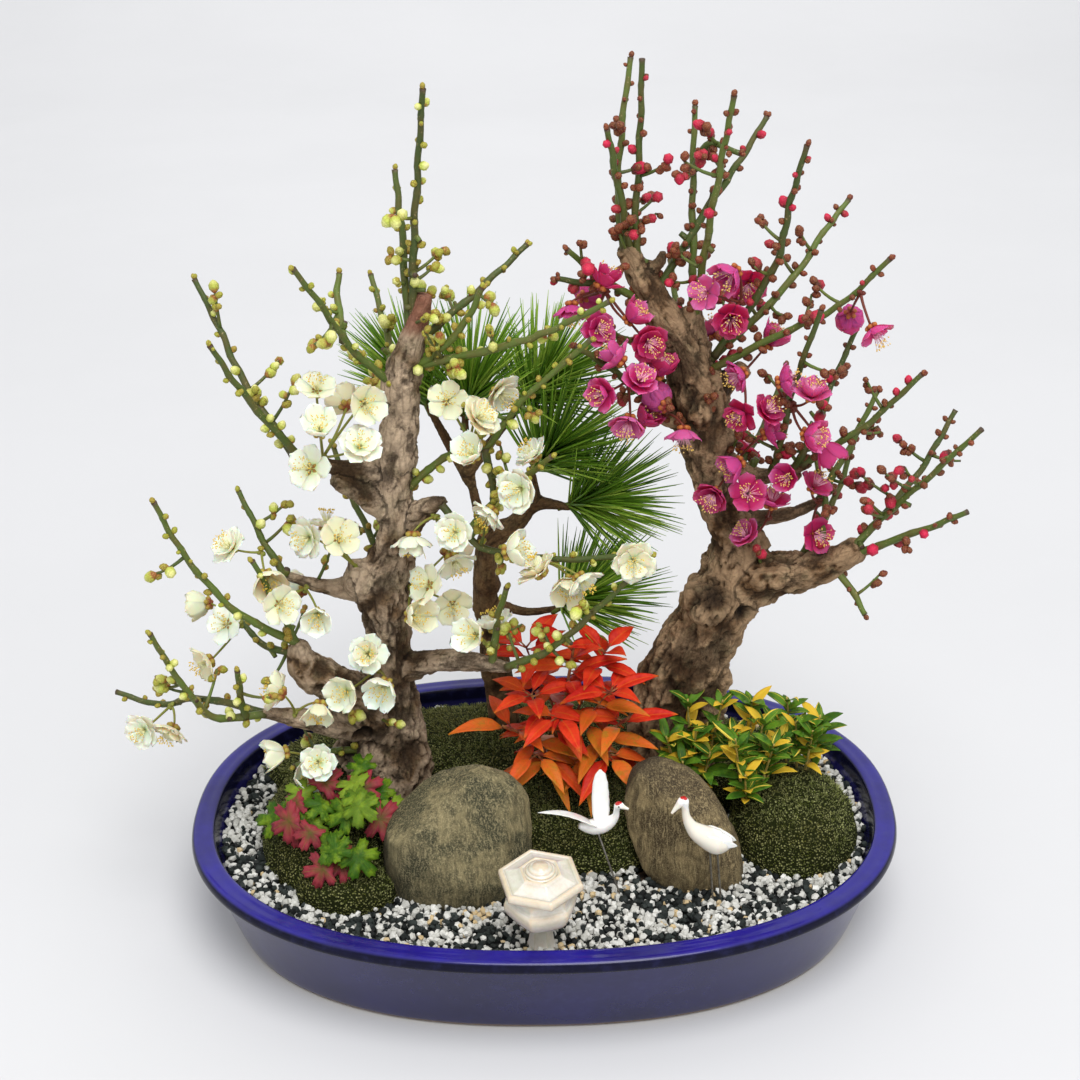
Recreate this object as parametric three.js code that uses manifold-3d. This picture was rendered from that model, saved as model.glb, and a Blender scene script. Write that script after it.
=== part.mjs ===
// Japanese apricot bonsai: a tray planting in an oval blue glazed tray
// Millimetres, +Z up, the tray's underside flat on z = 0 with its middle at the origin, its long side along X

import * as THREE from 'three';
import { mergeVertices } from 'three/addons/utils/BufferGeometryUtils.js';
import Module from 'manifold-3d';

const wasm = await Module();
wasm.setup();

// Driving dimensions
const tray = { halfLength: 180, halfWidth: 130, baseHalf: 160, height: 54, wall: 7, floor: 8, lip: 11.5,
  lipDrop: 6.5 };
const ovalPower = 2.3;
const drain = { x: 70, hole: 6, net: 11, thick: 0.8 };
const soilTop = 38;
const soilHalf = 160.6;
const gravelTop = 44;
const gap = 0.6;
const clearance = 0.4;
const shoot = { root: 2.2, tip: 1.2, sides: 3 };
const bud = { white: 2.4, pink: 2.2, spacing: 62 };
const blossomSize = { white: 10.8, pink: 9.8, thick: 1.6, pedicel: 0.8 };
const needle = { length: 52, radius: 0.7, perSpray: 12 };
const leafThick = 1.1;
const spurReach = 1.7;
const spurSize = 2.6;

const materials = {
  glaze: { color: '#1d2a86', roughness: 0.15, metalness: 0 },
  net: { color: '#2b2b2b', roughness: 0.7, metalness: 0 },
  soil: { color: '#3a2b20', roughness: 1, metalness: 0 },
  gravel: { color: '#b9b8b2', roughness: 0.9, metalness: 0 },
  moss: { color: '#4d5a2a', roughness: 1, metalness: 0 },
  stoneLeft: { color: '#75776a', roughness: 0.85, metalness: 0 },
  stoneRight: { color: '#7b705c', roughness: 0.85, metalness: 0 },
  pearl: { color: '#e6dccb', roughness: 0.3, metalness: 0 },
  white: { color: '#f2f2f0', roughness: 0.35, metalness: 0 },
  wire: { color: '#c9c9c6', roughness: 0.3, metalness: 1 },
  whiteBark: { color: '#5d4a3c', roughness: 0.95, metalness: 0 },
  pinkBark: { color: '#6a5443', roughness: 0.95, metalness: 0 },
  pineBark: { color: '#6b6257', roughness: 0.95, metalness: 0 },
  needles: { color: '#3f7a2c', roughness: 0.6, metalness: 0 },
  nandina: { color: '#d2401c', roughness: 0.5, metalness: 0 },
  bamboo: { color: '#8ba53a', roughness: 0.6, metalness: 0 },
  lobed: { color: '#4f8a34', roughness: 0.6, metalness: 0 },
  whitePetal: { color: '#f6f3e6', roughness: 0.6, metalness: 0 },
  pinkPetal: { color: '#dc4f8c', roughness: 0.6, metalness: 0 },
};

// Seeded random numbers from 0 to 1
function seeded(seed) {
  let state = seed;
  return () => {
    state = (state * 1664525 + 1013904223) % 4294967296;
    return state / 4294967296;
  };
}

const vector = (p) => new THREE.Vector3(p[0], p[1], p[2]);

// Closed solid from corner points and triangles, turned so that its faces point out
function closed(points, faces) {
  const vertProperties = new Float32Array(points.flatMap((p) => [p.x, p.y, p.z]));
  const volume = faces.reduce((sum, [a, b, c]) => (
    sum + points[a].dot(points[b].clone().cross(points[c]))), 0);
  const order = volume < 0 ? faces.map(([a, b, c]) => [a, c, b]) : faces;
  const triVerts = new Uint32Array(order.flat());
  return new wasm.Manifold(new wasm.Mesh({ numProp: 3, vertProperties, triVerts }));
}

const pointsOf = (place) => Array.from({ length: place.count }, (_, i) => (
  new THREE.Vector3().fromBufferAttribute(place, i)));

const facesOf = (geometry) => Array.from({ length: geometry.index.count / 3 }, (_, i) => (
  Array.from(geometry.index.array.slice(3 * i, 3 * i + 3))));

// Closed solid from a three.js geometry, its shared corners merged
function solid(geometry) {
  geometry.deleteAttribute('normal');
  geometry.deleteAttribute('uv');
  const merged = mergeVertices(geometry, 1e-4);
  const place = merged.getAttribute('position');
  const faces = facesOf(merged);
  return closed(pointsOf(place), faces.filter(([a, b, c]) => a !== b && b !== c && a !== c));
}

// Three.js geometry of a solid
function geometryOf(part) {
  const mesh = part.getMesh();
  const geometry = new THREE.BufferGeometry();
  geometry.setAttribute('position', new THREE.Float32BufferAttribute(mesh.vertProperties, 3));
  geometry.setIndex(Array.from(mesh.triVerts));
  geometry.computeVertexNormals();
  return geometry;
}

const join = (parts) => parts.reduce((whole, part) => whole.add(part));

// The largest body of a solid, loose scraps dropped
function largest(part) {
  return part.decompose().reduce((best, body) => (body.volume() > best.volume() ? body : best));
}

// The same solid with each corner moved outwards, so that what is cut by it keeps a gap
function grown(part) {
  const geometry = geometryOf(part);
  const normals = pointsOf(geometry.getAttribute('normal'));
  const points = pointsOf(geometry.getAttribute('position'));
  return closed(points.map((p, i) => p.addScaledVector(normals[i], clearance)), facesOf(geometry));
}

// Every finished piece, with the grown copy that later pieces are cut by
const pieces = [];
const group = new THREE.Group();

const boxesTouch = (a, b) => [0, 1, 2].every((i) => a.min[i] <= b.max[i] && b.min[i] <= a.max[i]);

// Adds a named piece to the model, cut clear of every piece made before it
function addPiece(name, material, part) {
  const near = pieces.filter((piece) => boxesTouch(piece.cutter.boundingBox(), part.boundingBox()));
  const cut = largest(near.reduce((rest, piece) => rest.subtract(piece.cutter), part));
  pieces.push({ name, cutter: grown(cut).add(cut) });
  const mesh = new THREE.Mesh(geometryOf(cut), new THREE.MeshStandardMaterial(material));
  mesh.name = name;
  group.add(mesh);
  return mesh;
}

// Point of a piece's surface nearest to the given point
function nearestOn(piece, point) {
  const corners = pointsOf(piece.geometry.getAttribute('position'));
  const spots = facesOf(piece.geometry).map((face) => (
    new THREE.Triangle(...face.map((k) => corners[k])).closestPointToPoint(point, new THREE.Vector3())));
  return spots.reduce((best, spot) => (
    spot.distanceToSquared(point) < best.distanceToSquared(point) ? spot : best));
}

// Round tapered bar along a smooth curve through the points, with one radius for each point;
// lumps(angle, share) swells or flutes its surface
function bar(points, radii, sides, steps, lumps = () => 1) {
  const curve = new THREE.CatmullRomCurve3(points.map(vector), false, 'centripetal');
  const depth = new THREE.Vector3(0, 1, 0.02).normalize();
  const corners = [];
  for (let i = 0; i <= steps; i += 1) {
    const t = i / steps;
    const middle = curve.getPoint(t);
    const side = curve.getTangent(t).cross(depth).normalize();
    const up = side.clone().cross(curve.getTangent(t)).normalize();
    const at = t * (radii.length - 1);
    const from = Math.min(Math.floor(at), radii.length - 2);
    const radius = THREE.MathUtils.lerp(radii[from], radii[from + 1], at - from);
    for (let j = 0; j < sides; j += 1) {
      const angle = (2 * Math.PI * j) / sides;
      const reach = radius * lumps(angle, t);
      corners.push(middle.clone()
        .addScaledVector(side, reach * Math.cos(angle))
        .addScaledVector(up, reach * Math.sin(angle)));
    }
  }
  const faces = [];
  for (let i = 0; i < steps; i += 1) {
    for (let j = 0; j < sides; j += 1) {
      const a = i * sides + j;
      const b = i * sides + ((j + 1) % sides);
      faces.push([a, b, a + sides], [b, b + sides, a + sides]);
    }
  }
  const first = corners.length;
  corners.push(curve.getPoint(0), curve.getPoint(1));
  for (let j = 0; j < sides; j += 1) {
    const next = (j + 1) % sides;
    faces.push([first, next, j], [first + 1, steps * sides + j, steps * sides + next]);
  }
  return closed(corners, faces);
}

// Thin blade: a rim of points, closed by a fan to one point on its front and one on its back
function blade(rim, front, back) {
  const faces = rim.flatMap((_, i) => {
    const next = 2 + ((i + 1) % rim.length);
    return [[0, i + 2, next], [1, next, i + 2]];
  });
  return closed([front, back, ...rim], faces);
}

// Right-handed frame whose third axis is the given direction
function frameOf(direction) {
  const facing = direction.clone().normalize();
  const aside = new THREE.Vector3(0.05, 1, 0.02).cross(facing).normalize();
  return { aside, along: facing.clone().cross(aside), facing };
}

// Plan of the tray: half-width that goes with a half-length, and a lathed solid pressed to that oval
const ovalDepth = (r) => r * (tray.halfWidth / tray.halfLength - 0.00174 * Math.min(tray.halfLength - r, 30));

function ovalSolid(profile, segments, move = () => {}) {
  const geometry = new THREE.LatheGeometry(profile.map(([r, z]) => new THREE.Vector2(r, z)), segments);
  const place = geometry.getAttribute('position');
  for (let i = 0; i < place.count; i += 1) {
    const r = Math.hypot(place.getX(i), place.getZ(i));
    const angle = Math.atan2(place.getZ(i), place.getX(i));
    const round = (value) => Math.sign(value) * Math.abs(value) ** (2 / ovalPower);
    const point = new THREE.Vector3(
      r * round(Math.cos(angle)),
      ovalDepth(r) * round(Math.sin(angle)),
      place.getY(i),
    );
    move(point, r);
    place.setXYZ(i, point.x, point.y, point.z);
  }
  return solid(geometry);
}

// Tray with a drooped lip and two drain holes, each under a disc of net
function makeTray() {
  const { halfLength, height, wall, floor, lip, lipDrop, baseHalf } = tray;
  const inner = halfLength - lip;
  const body = ovalSolid([
    [0, 0], [baseHalf - 2, 0], [baseHalf, 2], [halfLength - 6, height - lipDrop - 2],
    [halfLength - 0.7, height - lipDrop], [halfLength, height - 3.2], [halfLength - 2.2, height],
    [inner + 1.5, height], [inner, height - 1.5], [inner - 3, height - 10], [baseHalf - wall, floor + 2],
    [baseHalf - wall - 4, floor], [0, floor],
  ], 28);
  const holes = [-drain.x, drain.x].map((x) => (
    solid(new THREE.CylinderGeometry(drain.hole, drain.hole, 3 * floor, 10).rotateX(Math.PI / 2))
      .translate([x, 0, floor / 2])));
  addPiece('tray', materials.glaze, holes.reduce((rest, hole) => rest.subtract(hole), body));
  [['drain_net_left', -drain.x], ['drain_net_right', drain.x]].forEach(([name, x]) => {
    const disc = new THREE.CylinderGeometry(drain.net, drain.net, drain.thick, 10).rotateX(Math.PI / 2);
    addPiece(name, materials.net, solid(disc).translate([x, 0, floor + gap + drain.thick / 2]));
  });
}

// Rough boulder: a flattened ball with seeded lumps, leaning a little
function makeStone(name, material, middle, half, lean, seed) {
  const random = seeded(seed);
  const loose = new THREE.IcosahedronGeometry(1, 2).deleteAttribute('normal').deleteAttribute('uv');
  const ball = mergeVertices(loose);
  const place = ball.getAttribute('position');
  for (let i = 0; i < place.count; i += 1) {
    const point = new THREE.Vector3().fromBufferAttribute(place, i);
    const square = 1 / Math.max(0.86, Math.hypot(point.x ** 2, point.z ** 2) ** 0.5);
    point.multiplyScalar(Math.min(1.06, square) * (0.97 + 0.05 * random()));
    place.setXYZ(i, point.x * half[0], point.y * half[1], point.z * half[2]);
  }
  ball.rotateY(lean).translate(...middle);
  addPiece(name, material, solid(ball));
}

// One-piece glazed lantern: six-sided roof with a raised edge and a ringed knob, bowl and post
const lantern = { x: -2, y: -101, foot: 38.9, roof: 84.9, radius: 20.4, turn: 0.24, lean: 0.08 };

function makeLantern() {
  const { x, y, foot, roof, radius, turn, lean } = lantern;
  const high = roof - foot;
  const six = (profile) => solid(new THREE.LatheGeometry(profile.map(([r, z]) => new THREE.Vector2(r, z)), 6));
  const ring = (profile) => solid(new THREE.LatheGeometry(profile.map(([r, z]) => new THREE.Vector2(r, z)), 8));
  const top = six([
    [0, high - 6], [radius - 3, high - 6], [radius, high - 3.4], [radius - 0.6, high - 0.6],
    [radius * 0.86, high], [radius * 0.74, high - 0.5], [radius * 0.45, high + 2.4], [0, high + 2.4],
  ]);
  const knob = ring([
    [0, high], [radius * 0.36, high], [radius * 0.34, high + 3.6], [radius * 0.16, high + 4.8],
    [0, high + 4.8],
  ]);
  const bowl = six([
    [0, high - 25], [radius * 0.42, high - 25], [radius * 0.7, high - 19], [radius * 0.77, high - 12.5],
    [radius * 0.64, high - 5], [0, high - 5],
  ]);
  const post = ring([
    [0, 0], [radius * 0.36, 0], [radius * 0.28, 8], [radius * 0.34, high - 22], [0, high - 22],
  ]);
  const whole = join([top, bowl.rotate([0, 30, 0]), knob, post]);
  addPiece('ceramic_lantern', materials.pearl, whole.rotate([90, 0, 0])
    .rotate([0, 0, THREE.MathUtils.radToDeg(turn)])
    .rotate([THREE.MathUtils.radToDeg(lean), 0, 0]).translate([x, y, foot]));
}

// Long feather or wing: a thin blade from a root to a tip, wider in the middle
function wing(root, tip, wide, thick) {
  const across = vector(wide);
  const start = vector(root);
  const end = vector(tip);
  const half = start.clone().lerp(end, 0.5);
  const rim = [start.clone().sub(across), start.clone().add(across), half.clone().add(across), end,
    half.clone().sub(across)];
  const offset = end.clone().sub(start).cross(across).setLength(thick / 2);
  return blade(rim, half.clone().add(offset), half.clone().sub(offset));
}

// Porcelain crane: tail, egg-shaped body, bent neck, head and beak along one line, and two wings
function makeCrane(name, line, radii, wings) {
  const parts = wings.map(([root, tip, wide]) => wing(root, tip, wide, 2.2));
  addPiece(name, materials.white, join([bar(line, radii, 8, radii.length * 2), ...parts]));
}

function makeCranes() {
  // wires first: each one is pushed into its bird and into the gravel
  const wire = (name, from, to) => addPiece(name, materials.wire, bar([from, to], [0.55, 0.55], 5, 1));
  wire('flying_crane_wire', [25, -60, 79], [38, -67, 39]);
  wire('standing_crane_wire_left', [78, -75.8, 79], [81.5, -69.5, 39]);
  wire('standing_crane_wire_right', [81.5, -74.5, 79], [85.5, -68.5, 39]);
  makeCrane(
    'flying_crane',
    [[16.5, -59, 79.5], [19, -59, 79.2], [23.5, -59.5, 79.3], [28, -60.3, 80.6], [31.8, -61.2, 83.4],
      [34.2, -62, 87.2], [34.7, -62.6, 91], [35.6, -63.4, 94.2], [38, -64.6, 93.7], [40.2, -65.6, 93.3]],
    [1, 2.6, 4, 3.9, 2.9, 1.7, 1.35, 2.1, 1.1, 0.45],
    [[[23, -60, 82], [-3, -57, 86], [2, -4.4, 0.5]], [[28, -60, 82], [27, -56, 109.5], [4, 0.8, 0]]],
  );
  makeCrane(
    'standing_crane',
    [[89, -75, 80], [87, -75, 80], [82, -75, 80.3], [77, -75, 83], [72, -75, 86.5], [69, -75, 90],
      [66.8, -75, 95], [66, -75, 100], [65.2, -75.3, 104.3], [62.3, -76, 101.5], [59.6, -77, 98.4]],
    [1.8, 3.4, 6.2, 5.6, 4.4, 3, 2, 1.7, 2.5, 1.4, 0.5],
    [[[76, -79.4, 85], [91, -77.2, 79.5], [0.8, 0.2, 2.6]],
      [[76, -70.6, 85], [91, -72.8, 79.5], [0.8, 0.2, 2.6]]],
  );
}

// Green shoot: a three-sided bar whose corners stand out in turn as buds
function makeShoot(route, budSize) {
  const length = new THREE.CatmullRomCurve3(route.map(vector), false, 'centripetal').getLength();
  const count = Math.max(1, Math.round(length / bud.spacing));
  const steps = 2 * count + 1;
  const radii = route.map((_, i) => THREE.MathUtils.lerp(shoot.root, shoot.tip, i / (route.length - 1)));
  return bar(route, radii, shoot.sides, steps, (angle, t) => {
    const ring = Math.round(t * steps);
    const corner = Math.round((angle * shoot.sides) / (2 * Math.PI));
    return ring % 2 === 1 && corner === ((ring - 1) / 2) % shoot.sides ? budSize : 1;
  });
}

// Bark relief: shallow flutes that twist along the trunk
const fluted = (depth, count) => (angle, t) => (
  1 + depth * Math.sin(count * angle + 5 * t) * Math.sin(9 * t + 1));

// A tree's wood: trunk, limbs and green shoots fused, buds set along the shoots
function makeTree(name, material, tree, budSize) {
  const parts = [bar(tree.trunk, tree.trunkRadii, 9, tree.trunk.length, fluted(0.1, 3))];
  tree.limbs.forEach(({ route, radii }) => parts.push(bar(route, radii, 5, route.length - 1, fluted(0.08, 2))));
  tree.lumps.forEach(([x, y, z, size]) => {
    parts.push(solid(new THREE.IcosahedronGeometry(size, 0).translate(x, y, z)));
  });
  tree.shoots.forEach((route) => {
    parts.push(makeShoot(route, budSize));
  });
  return addPiece(name, material, join(parts));
}

const whiteTree = {
  trunk: [[-83, 14, 24], [-83, 14, 58], [-78, 12, 100], [-76, 8, 142], [-77, 8, 176], [-70, 10, 205],
    [-70, 12, 228], [-68, 12, 244], [-64, 12, 265], [-63, 12, 284], [-57, 12, 303], [-51, 12, 324]],
  trunkRadii: [20, 26, 16, 11, 14, 9, 9, 10, 8, 8.5, 6, 4],
  limbs: [
    { route: [[-81, 10, 98], [-100, -5, 126], [-116, -13, 146], [-118, -14, 158]], radii: [14, 11, 8, 4] },
    { route: [[-87, 4, 102], [-102, -6, 106], [-120, -14, 115], [-138, -20, 122]], radii: [9, 7, 5, 3] },
    { route: [[-70, 12, 213], [-85, 4, 228], [-97, -4, 238]], radii: [7, 5, 3] },
    { route: [[-71, 8, 130], [-50, -4, 140], [-31, -14, 145], [-14, -22, 146]], radii: [8, 6, 4.5, 2.5] },
    { route: [[-66, 12, 205], [-54, 4, 220], [-45, -3, 227]], radii: [7, 5, 3] },
    { route: [[-68, 12, 236], [-94, 6, 240], [-116, 0, 251]], radii: [6, 4.5, 2.8] },
    { route: [[-77, 8, 172], [-93, 6, 175], [-110, 3, 180], [-126, 0, 188]], radii: [7, 5, 3.5, 2.4] },
  ],
  lumps: [[-86, 4, 182, 10], [-92, 6, 82, 14]],
  shoots: [
    [[-57, 12, 312], [-55, 10, 346], [-51, 4, 385], [-47, -4, 420]],
    [[-59, 12, 306], [-61, 20, 355], [-63, 26, 378]],
    [[-64, 12, 276], [-85, 2, 302], [-95, -8, 324], [-106, -18, 346]],
    [[-88, 0, 306], [-92, 20, 320], [-91, 26, 330]],
    [[-115, 0, 250], [-138, 14, 283], [-148, 22, 305], [-159, 30, 327]],
    [[-113, 0, 250], [-134, -16, 289], [-144, -26, 314]],
    [[-117, -14, 156], [-145, -24, 181], [-165, -34, 218], [-173, -42, 246]],
    [[-117, -14, 150], [-138, -2, 151], [-151, 8, 161]],
    [[-124, 0, 187], [-135, 6, 206], [-145, 14, 226]],
    [[-118, -14, 155], [-125, -15, 176], [-135, -22, 206]],
    [[-136, -20, 121], [-159, -30, 126], [-175, -40, 160], [-181, -46, 181]],
    [[-132, -18, 119], [-170, -6, 122], [-194, 4, 113], [-216, 10, 117]],
    [[-145, -24, 122], [-145, -32, 140], [-144, -38, 156]],
    [[-58, 12, 298], [-23, 24, 325], [-4, 34, 340]],
    [[-61, 12, 284], [-34, 0, 312], [-24, -8, 333]],
    [[-61, 12, 288], [-10, -6, 306], [7, -14, 315], [32, -24, 331]],
    [[-68, 12, 222], [-45, 8, 244], [-25, 0, 253], [-9, -8, 277], [24, -22, 313]],
    [[-25, 0, 252], [-22, -4, 234], [-21, -8, 219]],
    [[-47, -2, 225], [-28, -14, 208], [3, -24, 206], [51, -36, 213]],
    [[-34, -11, 214], [-20, -6, 229], [-3, -16, 247], [6, -22, 257]],
    [[-24, -18, 146], [-21, -20, 171], [-16, -26, 192]],
    [[-17, -21, 146], [3, -30, 160], [23, -36, 182], [40, -40, 202]],
    [[-88, 2, 86], [-112, -12, 92], [-124, -20, 90]],
    [[-66, 16, 262], [-72, 44, 292], [-80, 62, 318]],
    [[-74, 14, 178], [-92, 40, 206], [-104, 58, 232]],
  ],
};

const pinkTree = {
  trunk: [[64, 34, 24], [66, 33, 62], [70, 32, 92], [78, 30, 124], [90, 28, 152], [98, 28, 174], [96, 28, 194],
    [87, 28, 211], [83, 28, 227], [80, 28, 243], [78, 28, 263], [72, 28, 283], [65, 28, 297], [55, 28, 314],
    [47, 28, 329], [40, 28, 340]],
  trunkRadii: [22, 27, 22, 20, 17, 15, 12, 10, 10, 13, 13.5, 11.5, 9.5, 8, 6.5, 4.5],
  limbs: [
    { route: [[98, 27, 166], [113, 20, 172], [126, 14, 177], [142, 5, 188], [153, 0, 198]],
      radii: [14, 13, 10, 7, 5] },
    { route: [[74, 28, 278], [74, 28, 300], [73, 27, 311]], radii: [8, 5.5, 4] },
    { route: [[80, 28, 262], [94, 27, 277], [99, 27, 281]], radii: [7, 5, 4.5] },
    { route: [[90, 28, 206], [103, 28, 201], [124, 26, 204], [141, 24, 213]], radii: [6, 4.5, 3.4, 2.4] },
    { route: [[82, 28, 238], [106, 22, 226], [118, 18, 230], [130, 10, 238]], radii: [6, 4.5, 3.2, 2.2] },
    { route: [[47, 28, 328], [57, 28, 332], [59, 28, 338]], radii: [4, 3, 2.4] },
    { route: [[78, 28, 252], [62, 26, 256], [60, 26, 258]], radii: [7, 5, 4.5] },
  ],
  lumps: [[84, 16, 160, 11], [76, 17, 262, 9]],
  shoots: [
    [[49, 28, 326], [46, 26, 346], [47, 20, 393], [47, 12, 428]],
    [[41, 28, 336], [38, 34, 364], [40, 40, 393], [44, 48, 422]],
    [[44, 28, 336], [36, 18, 378], [32, 12, 398]],
    [[73, 27, 305], [73, 32, 334], [73, 44, 369], [74, 52, 399]],
    [[74, 27, 303], [77, 16, 342], [82, 2, 388], [85, -8, 416]],
    [[56, 28, 318], [81, 38, 357], [95, 44, 376], [107, 50, 394]],
    [[73, 42, 372], [80, 40, 384], [93, 30, 382]],
    [[84, 28, 286], [109, 14, 335], [113, 6, 365], [118, -2, 393]],
    [[82, 28, 284], [118, 38, 317], [138, 50, 342], [148, 56, 353]],
    [[52, 28, 313], [31, 18, 327], [14, 8, 345]],
    [[34, 19, 325], [20, 14, 328], [9, 10, 331]],
    [[63, 28, 292], [41, 22, 297], [28, 14, 312]],
    [[72, 28, 246], [44, 12, 278], [28, 0, 295], [17, -8, 305]],
    [[76, 28, 276], [116, 14, 303], [137, 6, 317], [157, -6, 343]],
    [[112, 20, 228], [114, 14, 240], [118, 0, 280], [126, -16, 323]],
    [[122, 15, 232], [128, 8, 250], [140, 18, 278], [150, 26, 299]],
    [[126, 12, 236], [153, 4, 259], [175, -8, 289]],
    [[137, 25, 211], [154, 36, 238], [166, 44, 261]],
    [[151, 1, 196], [183, 12, 233], [199, 20, 260]],
    [[151, 1, 197], [163, 2, 211], [180, -12, 238], [200, -26, 269]],
    [[148, 3, 191], [182, -16, 215], [198, -24, 227]],
    [[141, 6, 188], [152, -4, 174], [157, -10, 166]],
    [[136, 9, 186], [139, 16, 211], [135, 30, 234]],
    [[76, 30, 262], [70, 62, 292], [66, 80, 318]],
    [[90, 30, 212], [112, 58, 236], [126, 78, 262]],
    [[126, 16, 180], [146, 34, 206], [158, 52, 232]],
  ],
};

// Pine wood behind the white tree: bent trunk with branches that end in needle sprays
const pineTree = {
  trunk: [[-20, 64, 24], [-21, 63, 60], [-26, 62, 115], [-29, 60, 146], [-25, 58, 177], [-13, 56, 186],
    [-2, 54, 198], [16, 50, 198]],
  trunkRadii: [9, 9, 7, 6.5, 6, 5, 4, 2],
  branches: [
    [[-2, 54, 198], [-3, 53, 210], [-4, 52, 220]],
    [[-26, 59, 170], [-34, 60, 205], [-37, 60, 246]],
    [[-36, 60, 214], [-18, 66, 236], [-6, 68, 250]],
    [[-28, 60, 140], [-8, 56, 135], [10, 54, 138]],
    [[-35, 60, 208], [-48, 66, 232], [-56, 68, 248]],
  ],
};

// Needle sprays: name, foot of the twig, its tip, and how far the needles spread
const sprays = [
  { name: 'pine_spray_top', from: [-37, 60, 240], to: [-33, 62, 262], spread: 1.0 },
  { name: 'pine_spray_upper_right', from: [-9, 67, 246], to: [4, 68, 262], spread: 1.05 },
  { name: 'pine_spray_middle_right', from: [-4, 52, 216], to: [8, 50, 232], spread: 1.0 },
  { name: 'pine_spray_right', from: [12, 51, 198], to: [30, 48, 204], spread: 1.0 },
  { name: 'pine_spray_low', from: [8, 54, 137], to: [24, 52, 148], spread: 1.0 },
  { name: 'pine_spray_upper_left', from: [-55, 68, 245], to: [-62, 70, 260], spread: 0.8 },
];

function makePine() {
  const wood = [bar(pineTree.trunk, pineTree.trunkRadii, 7, 8, fluted(0.1, 3))];
  pineTree.branches.forEach((route) => wood.push(bar(route, [3.4, 2.6, 1.9], 5, 2)));
  addPiece('pine_wood', materials.pineBark, join(wood));
}

// Needle spray: a slim core with straight three-sided needles all round it, leaning to its tip
function makeSpray({ name, from, to, spread }, seed) {
  const random = seeded(seed);
  const foot = vector(from);
  const twig = vector(to).sub(foot);
  const { aside, along, facing } = frameOf(twig);
  const parts = [bar([from, to], [2.6, 1.5], 3, 1)];
  for (let i = 0; i < needle.perSpray; i += 1) {
    const share = i / (needle.perSpray - 1);
    const root = foot.clone().addScaledVector(twig, 0.15 + 0.78 * share);
    const angle = 2.4 * i;
    const tilt = spread * (1.15 - 0.75 * share) * (0.85 + 0.3 * random());
    const aim = facing.clone().multiplyScalar(Math.cos(tilt))
      .addScaledVector(aside, Math.sin(tilt) * Math.cos(angle))
      .addScaledVector(along, Math.sin(tilt) * Math.sin(angle));
    const tip = root.clone().addScaledVector(aim, needle.length * (0.85 + 0.2 * random()));
    const base = frameOf(aim);
    const corners = [0, 1, 2].map((k) => root.clone()
      .addScaledVector(base.aside, needle.radius * Math.cos(2.094 * k))
      .addScaledVector(base.along, needle.radius * Math.sin(2.094 * k)));
    parts.push(closed([...corners, tip], [[0, 2, 1], [0, 1, 3], [1, 2, 3], [2, 0, 3]]));
  }
  addPiece(name, materials.needles, join(parts));
}

// Pointed leaf folded along its rib: its foot, its aim, length, width and droop at the tip
function leaf(foot, aim, length, width, droop) {
  const fold = 0.25;
  const facing = aim.clone().normalize();
  const across = new THREE.Vector3(0, 0, 1).cross(facing);
  const side = (across.length() < 0.1 ? new THREE.Vector3(1, 0, 0) : across).normalize();
  const up = facing.clone().cross(side).normalize();
  const at = (share, reach, lift) => foot.clone()
    .addScaledVector(facing, length * share)
    .addScaledVector(side, reach * width / 2)
    .addScaledVector(up, lift * width / 2 - droop * length * share * share);
  const rim = [at(-0.05, 0, 0), at(0.42, 1, fold), at(1, 0, 0), at(0.42, -1, fold)];
  const rib = at(0.45, 0, 0);
  return blade(rim, rib, rib.clone().addScaledVector(up, -leafThick));
}

// Leafy stem: a bent stem with whorls of leaves up it
function leafyStem(route, whorls, size, random) {
  const curve = new THREE.CatmullRomCurve3(route.map(vector), false, 'centripetal');
  const parts = [bar(route, route.map((_, i) => size.stem * (1 - 0.12 * i)), 3, route.length - 1)];
  whorls.forEach(([t, count, lift]) => {
    for (let i = 0; i < count; i += 1) {
      const turn = (2 * Math.PI * (i + 0.6 * random())) / count + 5 * t;
      const aim = new THREE.Vector3(Math.cos(turn), Math.sin(turn), lift + 0.3 * (random() - 0.5));
      const length = size.length * (0.85 + 0.3 * random());
      const width = size.width * (0.85 + 0.3 * random());
      const up = Math.min(0.995, t + (0.1 * i) / count);
      parts.push(leaf(curve.getPointAt(up), aim, length, width, size.droop));
    }
  });
  return join(parts);
}

const nandinaSize = { stem: 1.9, length: 27, width: 9.5, droop: 0.28 };
const nandinaStems = [
  ['nandina_stem_tall', [[13, 6, 42], [12, 6, 84], [12, 6, 112], [16, 8, 140]],
    [[0.56, 4, -0.1], [0.7, 4, 0.1], [0.82, 4, 0.4], [0.93, 2, 1.1]]],
  ['nandina_stem_left', [[9, 3, 42], [4, 0, 78], [-10, -6, 98], [-20, -10, 106]],
    [[0.5, 3, -0.2], [0.7, 3, 0], [0.88, 4, 0.25]]],
  ['nandina_stem_right', [[18, 3, 42], [24, 1, 78], [34, -4, 98], [44, -6, 108]],
    [[0.5, 3, -0.25], [0.7, 3, 0], [0.88, 4, 0.35]]],
];

const bambooSize = { stem: 1.2, length: 19, width: 5.8, droop: 0.22 };
const bambooClumps = [
  { name: 'bamboo_left', crown: [77, -2, 50],
    culms: [[62, -6, 96], [74, 10, 108], [84, -12, 90], [91, 2, 112]] },
  { name: 'bamboo_middle', crown: [104, -12, 50], culms: [[95, -22, 104], [105, -2, 114], [115, -18, 98]] },
  { name: 'bamboo_right', crown: [133, 8, 50], culms: [[125, 14, 106], [136, -6, 98], [146, 14, 92]] },
];

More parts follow.
